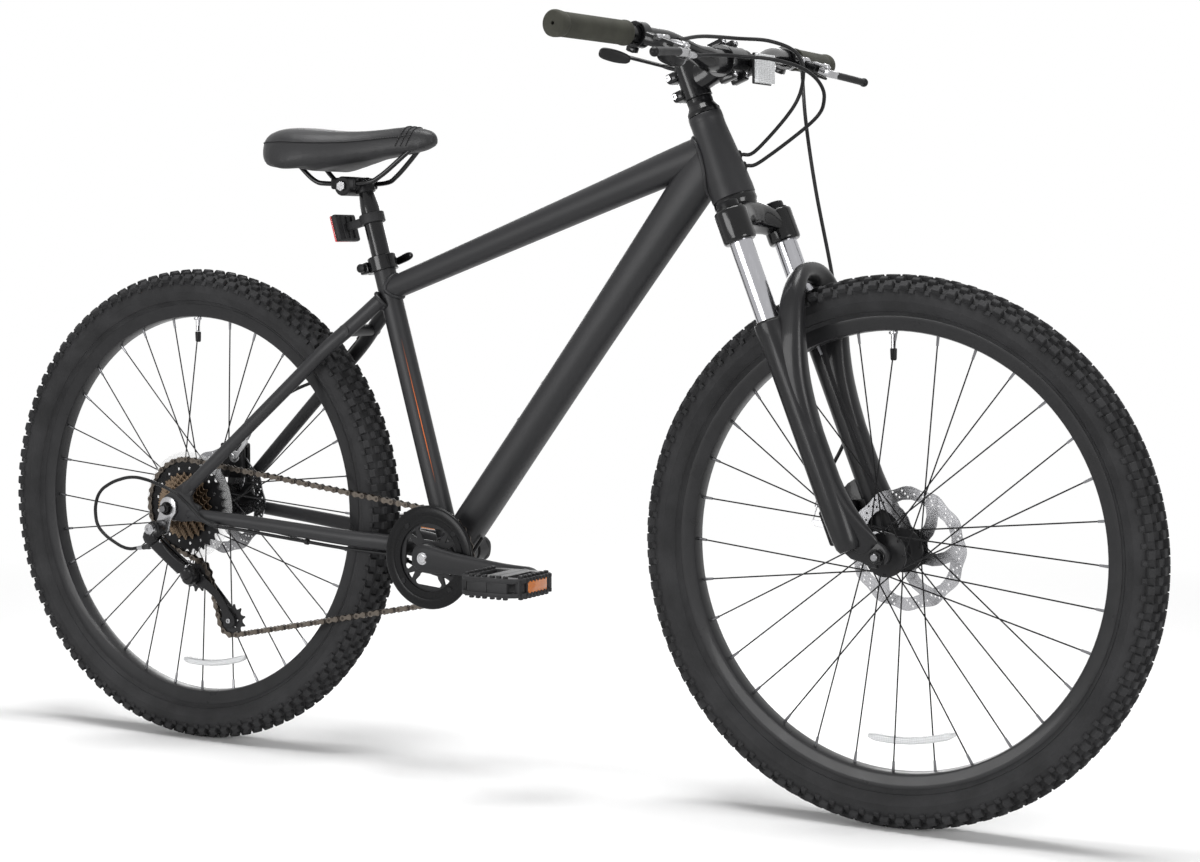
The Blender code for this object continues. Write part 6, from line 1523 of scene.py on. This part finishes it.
seams = []
for side in (-1, 1):
    seams.extend(seam([(-0.14, side * 0.058, 0.04), (-0.11, side * 0.074, 0.043),
        (-0.06, side * 0.072, 0.042), (-0.01, side * 0.052, 0.041), (0.04, side * 0.034, 0.044),
        (0.09, side * 0.024, 0.048)], 150))
for ahead in (0.082, 0.09, 0.098):
    seams.extend(seam([(ahead - 0.01, -0.03, 0.03), (ahead - 0.002, -0.02, 0.056), (ahead, 0.0, 0.064),
        (ahead - 0.002, 0.02, 0.056), (ahead - 0.01, 0.03, 0.03)], 60))
piece("saddle_stitching", "seat", seams)

# Seat clamp with its quick-release lever, and the rear reflector on a plastic band round the post.
collar_low, collar_high = seat_tube_top - 0.018, seat_tube_top + 0.0035
collar_rows = [(post_radius + 0.0006, collar_high), (0.0196, collar_high), (0.0205, collar_high - 0.0009),
    (0.0205, collar_low + 0.0009), (0.0196, collar_low), (0.0164, collar_low),
    (0.0164, collar_high - 0.003), (post_radius + 0.0006, collar_high - 0.0028)]
collar_middle = (collar_low + collar_high) / 2
collar_parts = [(turned(collar_rows, seat, 48, closed=True), gloss_black)]
for low, high in ((-0.015, -0.0014), (0.0014, 0.016)):
    collar_parts.append((brick((-0.0318, low, collar_low + 0.0022), (-0.017, high, collar_high - 0.0032),
        seat, 0.002), gloss_black))
clamp_nut = seat @ at_point(-0.025, 0, collar_middle) @ side_on
collar_parts.append((turned(mm((0, 22.8), (4, 22.8), (6.2, 22), (6.6, 16), (6.6, 14.8), (0, 14.8)),
    clamp_nut, 28), satin_black))
piece("seat_collar", "frame", collar_parts, ["seat_clamp"])
lever_at = axes_at(Vector(joints["seat_clamp_lever_turn"]["pos_m"]), seat_ahead, seat_up)
lever_rows = placed(lever_at, mm((-4.4, 0, 0, 3, 3), (-1, 0, 0, 5, 4.4), (8, 2, 0, 5.2, 4.4),
    (30, 5.2, 1, 5.4, 3.4), (50, 3.2, 2.5, 6, 3.4), (59, 2, 3, 4.4, 2.8), (61.4, 1.6, 3.2, 1.6, 1.4)))
piece("seat_collar_lever", "clamp_lever", [(drawn(flow(lever_rows, 30), 20, seat_up, 2.4), gloss_black)],
    ["seat_clamp_lever"])

red_lens = prism_lens("red_prism_lens", "red_lens", (left_axis, up_axis), 330, (0.3, 0.004, 0.006),
    (0.62, 0.012, 0.014), 0.16, 0.0005, Coat_Weight=0.6, Coat_Roughness=0.04)
mark = seat @ at_point(0, 0, seat_tube_top + 0.059)
mark_parts = [(brick((-0.0552, -0.024, -0.019), (-0.052, 0.024, 0.019), mark, 0.0012), red_lens),
    (brick((-0.0526, -0.0246, -0.0196), (-0.044, 0.0246, 0.0196), mark, 0.003, 3), rough_plastic),
    (brick((-0.046, -0.005, -0.0058), (-0.017, 0.005, 0.0058), mark, 0.0014), rough_plastic),
    (turned(mirrored(mm((14, 7), (17.2, 7), (18, 6.2))), mark, 48, closed=True), rough_plastic)]
for rib in (-0.012, 0.0, 0.012):
    rib_work = brick((-0.0444, rib - 0.0012, -0.016), (-0.0424, rib + 0.0012, 0.016), mark, 0.0005, 1)
    mark_parts.append((rib_work, rough_plastic))
piece("rear_reflector_moulded", "seat", mark_parts, ["rear_reflector"])

# Brake lever brackets: a split ring on the bar, a cast body with two ears over the blade, a bright
# pivot bolt and a barrel that the housing enters. The blades are forged, with a ball at the tip.
control_left = bar_half - grip_long - 0.0265
controls = {"right": bar_axes(-control_left, 20), "left": bar_axes(control_left, 20)}
pivot_ahead, pivot_in = 0.062, 0.012
barrel_rows = mm((0, 2), (3.9, 2), (4.5, 1.2), (4.5, -8), (3.6, -8.8), (3.6, -10.4), (4.5, -11.2),
    (4.5, -19), (3.4, -21.5), (3.2, -24), (0, -24))


def lever_bracket(at, side):
    """Clamp ring with its screw lug, body, ears, pivot bolt and cable barrel."""
    inward = -side * pivot_in
    rows = placed(at, [(0.0125, 0, 0, 0.008, 0.0085), (0.024, 0.25 * inward, 0, 0.007, 0.0078),
        (0.038, 0.75 * inward, 0, 0.0068, 0.0078), (0.05, inward, 0, 0.0078, 0.0092)])
    ear_turns = (-1.57, -1.0, -0.5, 0.0, 0.5, 1.0, 1.57)
    ear = [(0.045, inward - 0.0074), *[polar(0.0074, turn, pivot_ahead, inward) for turn in ear_turns],
        (0.045, inward + 0.0074)]
    ring = mirrored(mm((11.5, 7.4), (12.1, 8), (15.8, 8), (16.5, 7.3)))
    lug = at @ at_point(-0.002, 0, -0.0185)
    barrel = at @ at_point(0.03, inward - side * 0.006, 0.006) @ swung(90 * side, 'X')
    return [(turned(ring, at @ side_on, 40, closed=True), gloss_black),
        (brick((-0.006, -0.0062, -0.0045), (0.006, 0.0062, 0.004), lug, 0.002), gloss_black),
        (socket_screw(lug @ at_point(-0.0058, 0) @ swung(-90, 'Y'), 0.0034), plain_steel),
        (drawn(flow(rows, 14), 28, leftward(at), 3.2), gloss_black),
        (slab([ear], 0.0036, at @ at_point(0, 0, 0.0076), 0.001, 2), plain_steel),
        (slab([ear], 0.0036, at @ at_point(0, 0, -0.0076), 0.001, 2), gloss_black),
        (socket_screw(at @ at_point(pivot_ahead, inward, 0.009), 0.0046, 0.0022), plain_steel),
        (turned(barrel_rows, barrel, 20), plain_steel)]


def blade_work(at, side):
    """Blade cut to a smooth outline with its edges rounded, and the ball at its tip."""
    outline = mm((12, 12), (15, 24), (20.5, 50), (27.5, 78), (31, 93), (24, 96), (15.5, 77), (7.5, 43),
        (3.5, 22), (3, 12))
    outline = [(ahead, left * side) for ahead, left in flow(outline + outline[:1], 60)[:-1]]
    root = [polar(0.0078, turn) for turn in (-2.6, -3.1, 2.7, 2.2)]
    root += mm((3.2, 14), (4.5, 22), (14.2, 22), (12.8, 8), (9.5, -3), (3.5, -6.8))
    root = [(ahead, left * side) for ahead, left in root]
    ball = [polar(0.0062, pi / 2 - turn * pi / 12) for turn in range(13)]
    tip_at = at @ at_point(0.0282, 0.0968 * side)
    return [(slab([outline], 0.0096, at, 0.0034, 3), lever_black),
        (slab([root], 0.0098, at, 0.0016, 2), plain_steel), (turned(ball, tip_at, 24), lever_black)]


lever_black = dark_metal("lever_black", "black_metal", 0.42)
for name, side in (("right", -1), ("left", 1)):
    pivot = controls[name] @ at_point(pivot_ahead, -side * pivot_in)
    piece("brake_lever_" + name + "_forged", "lever_" + name[0], blade_work(pivot, side),
        ["brake_lever_" + name])
piece("lever_bracket_left", "steerer", lever_bracket(controls["left"], 1), ["lever_mount_left"])

# Shifter: a moulded pod under the bar with a grey cover at its inner end and a bright barrel; the thumb
# paddle swings on a steel arm under the pod.
pod_black = rubber("pod_plastic", "black_plastic", (0.0115, 0.0115, 0.012), 0.4, 900, 0.0001)
pod_grey = steel("pod_cover_grey", "black_plastic", (0.2, 0.2, 0.21), 0.34)
right = controls["right"]
pod_barrel_at = right @ at_point(0.033, 0.06, -0.01) @ side_on
pod_rows = placed(right, mm((30.5, 23, -15, 10.5, 8), (30.5, 26, -13.5, 15, 11.8),
    (30.5, 36, -12, 16.5, 14.5), (30.5, 45, -12, 16, 14.2)))
cover_rows = placed(right, mm((30.5, 45.2, -12, 15.8, 14), (31.2, 52, -11.2, 14, 12.2),
    (32.8, 58.5, -10.2, 8.8, 8), (33, 60.5, -10, 6, 5.6)))
across_pod = right.to_3x3() @ Vector((1, 0, 0))
pod_parts = lever_bracket(right, -1) + [(brick((0.015, 0.006, -0.008), (0.025, 0.025, 0.002), right,
    0.002), gloss_black), (drawn(flow(pod_rows, 14), 32, across_pod, 3.0), pod_black),
    (drawn(flow(cover_rows, 12), 32, across_pod, 3.0), pod_grey),
    (socket_screw(right @ at_point(0.03, 0.034, 0.0022), 0.004, 0.0016), plain_steel),
    (turned(barrel_rows, pod_barrel_at, 20), plain_steel)]
piece("shifter_and_bracket_right", "steerer", pod_parts, ["control_right"])
thumb = Matrix.Translation(joints["shift_lever_push"]["pos_m"]) @ right.to_3x3().to_4x4()
paddle = ((0.0, 0.3), (0.04, 0.66), (0.15, 0.9), (0.4, 1.0), (0.65, 0.95), (0.9, 0.72), (1.0, 0.35))
paddle_rows = placed(thumb, [(-0.054 + 0.026 * share, -0.0745 + 0.031 * share, -0.0024, 0.008 * full,
    0.0036 * full) for share, full in paddle])
arm = mm((7, 4), (-5, 7), (-42, -42), (-37, -50), (-28, -48))
thumb_parts = [(drawn(flow(paddle_rows, 24), 24, thumb.to_3x3() @ Vector((0.2, 0, 1)), 2.5), pod_black),
    (slab([arm], 0.0032, thumb, 0.0005), black_steel), (drum(0.009, -0.0019, 0.0019, thumb, 32), pod_black)]
piece("shift_paddle", "shifter", thumb_parts, ["shift_lever"])

# Front reflector: a clear ribbed lens snapped into a black bracket that is strapped to the bar.
lamp = Matrix.Translation(bar_middle + Vector((0, 0.035, 0)))
strap = mirrored(mm((16.6, 5), (17.2, 5.5), (18.6, 5.5), (19, 5)))
lens_ribs = [(rib * 0.004, 0.0008 * (rib % 2)) for rib in range(-6, 7)]
lens_edge = [(across, 0.0388 + rise) for across, rise in lens_ribs] + mm((25, 37.2), (25, 33), (-25, 33),
    (-25, 37.2))
lens_at = lamp @ Matrix(((0, 1, 0, 0), (1, 0, 0, 0), (0, 0, -1, -0.008), (0, 0, 0, 1)))
lens_parts = [(turned(strap, lamp @ side_on, 40, closed=True), cap_plastic),
    (brick((0.017, -0.005, -0.006), (0.032, 0.005, 0.006), lamp), cap_plastic),
    (brick((0.03, -0.0262, -0.0282), (0.0336, 0.0262, 0.0122), lamp, 0.0014, 3), cap_plastic),
    (slab([lens_edge], 0.0376, lens_at, 0.0008), clear_lens)]
piece("front_reflector_lens", "steerer", lens_parts, ["front_reflector"])

# Cable housings: steel-wound, black plastic outside. They bow from the bar into two ports in the head
# tube, down the left fork leg, and from the frame to the derailleur and the rear brake.
housing_black = rubber("housing_plastic", "rubber", (0.01, 0.01, 0.0105), 0.36, 500, 0.00005)
lever_barrel = right @ Vector((0.03, pivot_in + 0.0305, 0.006))
pod_barrel = right @ Vector((0.033, 0.0826, -0.01))
left_barrel = controls["left"] @ Vector((0.03, -pivot_in - 0.0305, 0.006))


def past(origin, *places):
    return [origin + Vector(place) for place in places]


def port(high):
    """A housing's last two points, straight into its port in the head tube."""
    share = (high - 0.016) / (0.5 * (head_top - head_base) - 0.016)
    reach = 0.0302 - 0.5 * share * 0.0065
    return [steer @ Vector((out * cos(radians(36)), out * sin(radians(36)), head_base + high))
        for out in (reach + 0.022, reach)]


def cable(name, body, node, knots, count, other=None, start=None):
    """A housing on one smooth curve, 2.5 mm in radius. Where it crosses a joint it is made a mesh tube in
    place, on no body; the argument start is not used."""
    spots = [Vector(spot) for spot in flow(knots, count, straight=True)]
    curve = bpy.data.curves.new(name, 'CURVE')
    curve.dimensions = '3D'
    curve.bevel_depth = 0.0025
    curve.bevel_resolution = 3
    curve.use_fill_caps = True
    spline = curve.splines.new('BEZIER')
    spline.bezier_points.add(count - 1)
    spline.resolution_u = 5
    for point, spot in zip(spline.bezier_points, spots):
        point.co = spot
        point.handle_left_type = 'AUTO'
        point.handle_right_type = 'AUTO'
    curve.materials.append(housing_black.material)
    made = put(name, curve)
    if other:
        tube = shown_mesh(made)
        bpy.data.objects.remove(made)
        tube.shade_smooth()
        made = put(name, tube)
        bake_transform(made)
    else:
        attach(made, body)
    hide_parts(node)
    return spots


def pointing(spot, along):
    return Matrix.Translation(spot) @ along.to_track_quat('Z', 'Y').to_matrix().to_4x4()


def ferrule(run, place, length=0.011, radius=0.0031):
    """A crimped cap on a housing's end, or a clip's sleeve along it."""
    near = run[min(place + 1, len(run) - 1)] if place >= 0 else run[place - 1]
    at = pointing(run[place], near - run[place])
    rows = [(0.0027, 0.0), (radius, 0.0), (radius, length - 0.003), (0.0029, length - 0.0022),
        (0.0027, length)]
    return turned(rows, at, 20, closed=True)


brake_port, shift_port = port(0.0523), port(0.0363)
brake_run = cable("rear_brake_housing", "steerer", "rear_brake_cable",
    past(lever_barrel, (0, 0, 0), (0.002, 0.06, 0.009)) + past(bar_middle, (0.03, -0.03, 0.027),
    (0.058, 0.005, 0.025), (0.08, 0.035, 0.012), (0.086, 0.046, -0.015), (0.07, 0.052, -0.056))
    + brake_port, 40, "frame", brake_port[-1] + 0.1 * head_up)
shift_run = cable("shift_housing", "steerer", "shift_cable", past(pod_barrel, (0, 0, 0),
    (0.008, 0.036, 0.003)) + past(bar_middle, (0.046, -0.06, 0.002), (0.076, -0.028, -0.001),
    (0.099, 0.01, -0.01), (0.111, 0.038, -0.026), (0.111, 0.056, -0.048), (0.092, 0.064, -0.075))
    + shift_port, 40, "frame", shift_port[-1] + 0.1 * head_up)
arm_end = front_pivot @ Vector((-0.03, 0.0215, -caliper_out - 0.0065))
leg_clip = steer @ Vector((0.03, 0.092, leg_top - 0.0548))
leg_foot = steer @ Vector((-0.05, 0.074, 0.118))
arm_stop = arm_end + 0.017 * (leg_foot - arm_end).normalized()
front_run = cable("front_brake_housing", "lowers", "front_brake_cable",
    past(left_barrel, (0, 0, 0), (0.02, -0.03, -0.006)) + past(bar_middle, (0.07, 0.088, -0.073),
    (0.088, 0.082, -0.165), (0.1125, 0.084, -0.283)) + [leg_clip,
    steer @ Vector((0.006, 0.092, leg_top - 0.1448)), leg_foot, arm_stop], 40, "steerer", leg_clip)
under_stay = [crank_axle + share * chain_run + Vector((0, left, high)) for share, left,
    high in ((0.16, -0.0345, -0.0125), (0.36, -0.0475, -0.0135), (0.7, -0.061, -0.0135),
    (0.83, -0.079, -0.01))]
tail_run = cable("shift_housing_tail", "frame", "shift_cable_tail",
    [crank_axle + 0.075 * down_line - across_down * 0.0275 + Vector((0, -0.004, 0))]
    + past(crank_axle, (0.012, -0.01, -0.0285), (-0.03, -0.02, -0.0245)) + under_stay
    + past(rear_axle, (0.046, -0.085, 0.008), (0.02, -0.096, 0.03), (-0.05, -0.0975, 0.045),
    (-0.112, -0.0975, 0.02), (-0.118, -0.096, -0.03), (-0.072, -0.093, -0.06)) + [cable_end], 40)
stay_foot = rear_axle + stay_unit * (stay_line.length - 0.03)
hose_run = cable("rear_brake_housing_tail", "frame", "rear_brake_cable_tail",
    past(stay_foot, (0.019, 0.028, 0.028), (0.0, 0.0355, 0.013))
    + [rear_axle + 0.34 * stay_unit + Vector((-0.0081, 0.049, 0.0098)),
    rear_axle + 0.28 * stay_unit + Vector((-0.0076, 0.055, 0.0101))]
    + past(rear_axle, (0.125, 0.056, 0.168), (0.078, 0.044, 0.134), (0.0558, 0.0378, 0.0962)), 28)
grommet = mm((2.7, 0.4), (5.6, 0.4), (6.4, -1), (6.4, -3.6), (2.7, -3.6))
sleeves = [(turned(grommet, pointing(run[-1], run[-2] - run[-1]), 24, closed=True), seal_rubber)
    for run in (brake_run, shift_run)]
sleeves += [(ferrule(tail_run, place, 0.008, 0.0042), cap_plastic) for place in (8, 13, 17)]
sleeves += [(ferrule(hose_run, place, 0.008, 0.0042), cap_plastic) for place in (8, 13)]
sleeves += [(ferrule(tail_run, -1), plain_steel), (ferrule(hose_run, -1), plain_steel)]
piece("housing_clips_and_caps", "frame", sleeves)
piece("housing_caps_at_bar", "steerer", [(ferrule(run, 0), cap_plastic)
    for run in (brake_run, shift_run, front_run)])
piece("housing_caps_at_fork", "lowers", [(ferrule(front_run, -1), plain_steel),
    (drum(0.0008, 0.0, 0.02, pointing(arm_stop, arm_end - leg_foot), 10), plain_steel)])

# Studio: a pale floor without an edge under soft overhead panels, seen from the right and front.
floor_finish = Finish("studio_floor", "frame_paint", Roughness=0.85, Specular_IOR_Level=0.1)
floor_finish.coat((0.92, 0.92, 0.92, 1))
floor_work = bmesh.new()
bmesh.ops.create_circle(floor_work, cap_ends=True, segments=64, radius=14)
floor_mesh = bpy.data.meshes.new("floor")
floor_work.to_mesh(floor_mesh)
floor_work.free()
floor_mesh.materials.append(floor_finish.material)
floor = put("floor", floor_mesh)

tree = floor_finish.tree
path = tree.nodes.new("ShaderNodeLightPath")
glow = tree.nodes.new("ShaderNodeEmission")
mix = tree.nodes.new("ShaderNodeMixShader")
tree.links.new(floor_finish.surface.outputs[0], mix.inputs[1])
tree.links.new(glow.outputs[0], mix.inputs[2])
reach = floor_finish.node("VectorMath", {"operation": 'LENGTH'}, {0: floor_finish.position()}, "Value")
seen = Wire(floor_finish, path.outputs["Is Camera Ray"]) + Wire(floor_finish, path.outputs["Is Glossy Ray"])
seen = floor_finish.spread(seen + Wire(floor_finish, path.outputs["Is Transmission Ray"]), 0.0, 1.0, 0.0, 1.0)
seen = seen * floor_finish.spread(reach, 1.2, 2.6, 0.0, 1.0)
tree.links.new(seen.socket, mix.inputs[0])
tree.links.new(mix.outputs[0], tree.nodes["Material Output"].inputs["Surface"])

world = bpy.data.worlds.new("studio_air")
bpy.context.scene.world = world
world.use_nodes = True
air = world.node_tree
sky = air.nodes["Background"]
sky.inputs["Color"].default_value = (1, 1, 1, 1)
light_path = air.nodes.new("ShaderNodeLightPath")
bright = air.nodes.new("ShaderNodeMapRange")
bright.inputs[3].default_value = 0.12
bright.inputs[4].default_value = 1.0
total = light_path.outputs["Is Camera Ray"]
for ray in ("Is Glossy Ray", "Is Transmission Ray"):
    either = air.nodes.new("ShaderNodeMath")
    air.links.new(total, either.inputs[0])
    air.links.new(light_path.outputs[ray], either.inputs[1])
    total = either.outputs[0]
air.links.new(total, bright.inputs[0])
air.links.new(bright.outputs[0], sky.inputs["Strength"])


def panel(name, spot, target, size, power):
    lamp = bpy.data.lights.new(name, 'AREA')
    lamp.shape = 'RECTANGLE'
    lamp.size = size[0]
    lamp.size_y = size[1]
    lamp.energy = power
    held = put(name, lamp)
    held.location = spot
    held.rotation_euler = (Vector(target) - Vector(spot)).to_track_quat('-Z', 'Y').to_euler()


panel("overhead_panel", (0.1, -0.1, 3.6), (0, 0, 0.3), (2.6, 1.3), 150)
panel("right_panel", (-0.8, -3.4, 0.9), (0, 0, 0.6), (2.2, 1.0), 66)
panel("front_panel", (3.2, -1.2, 0.9), (0.2, 0, 0.6), (1.2, 1.2), 46)
panel("back_panel", (-1.6, 2.8, 1.2), (0, 0, 0.6), (2.0, 1.2), 28)

camera_data = bpy.data.cameras.new("photo_camera")
camera_data.sensor_width = 36
camera_data.lens = 71.75
camera_data.shift_x = 0.003
camera_data.shift_y = -0.051
camera_data.clip_end = 100
camera = put("photo_camera", camera_data)
facing = Matrix(((0.86517, 0.50148, 0.00108), (-0.02664, 0.0438, 0.99868), (0.50078, -0.86406, 0.05126)))
camera.matrix_world = Matrix.Translation((1.73576, -2.78312, 0.7332)) @ facing.transposed().to_4x4()
bpy.context.scene.camera = camera
bpy.context.scene.view_settings.view_transform = 'Standard'
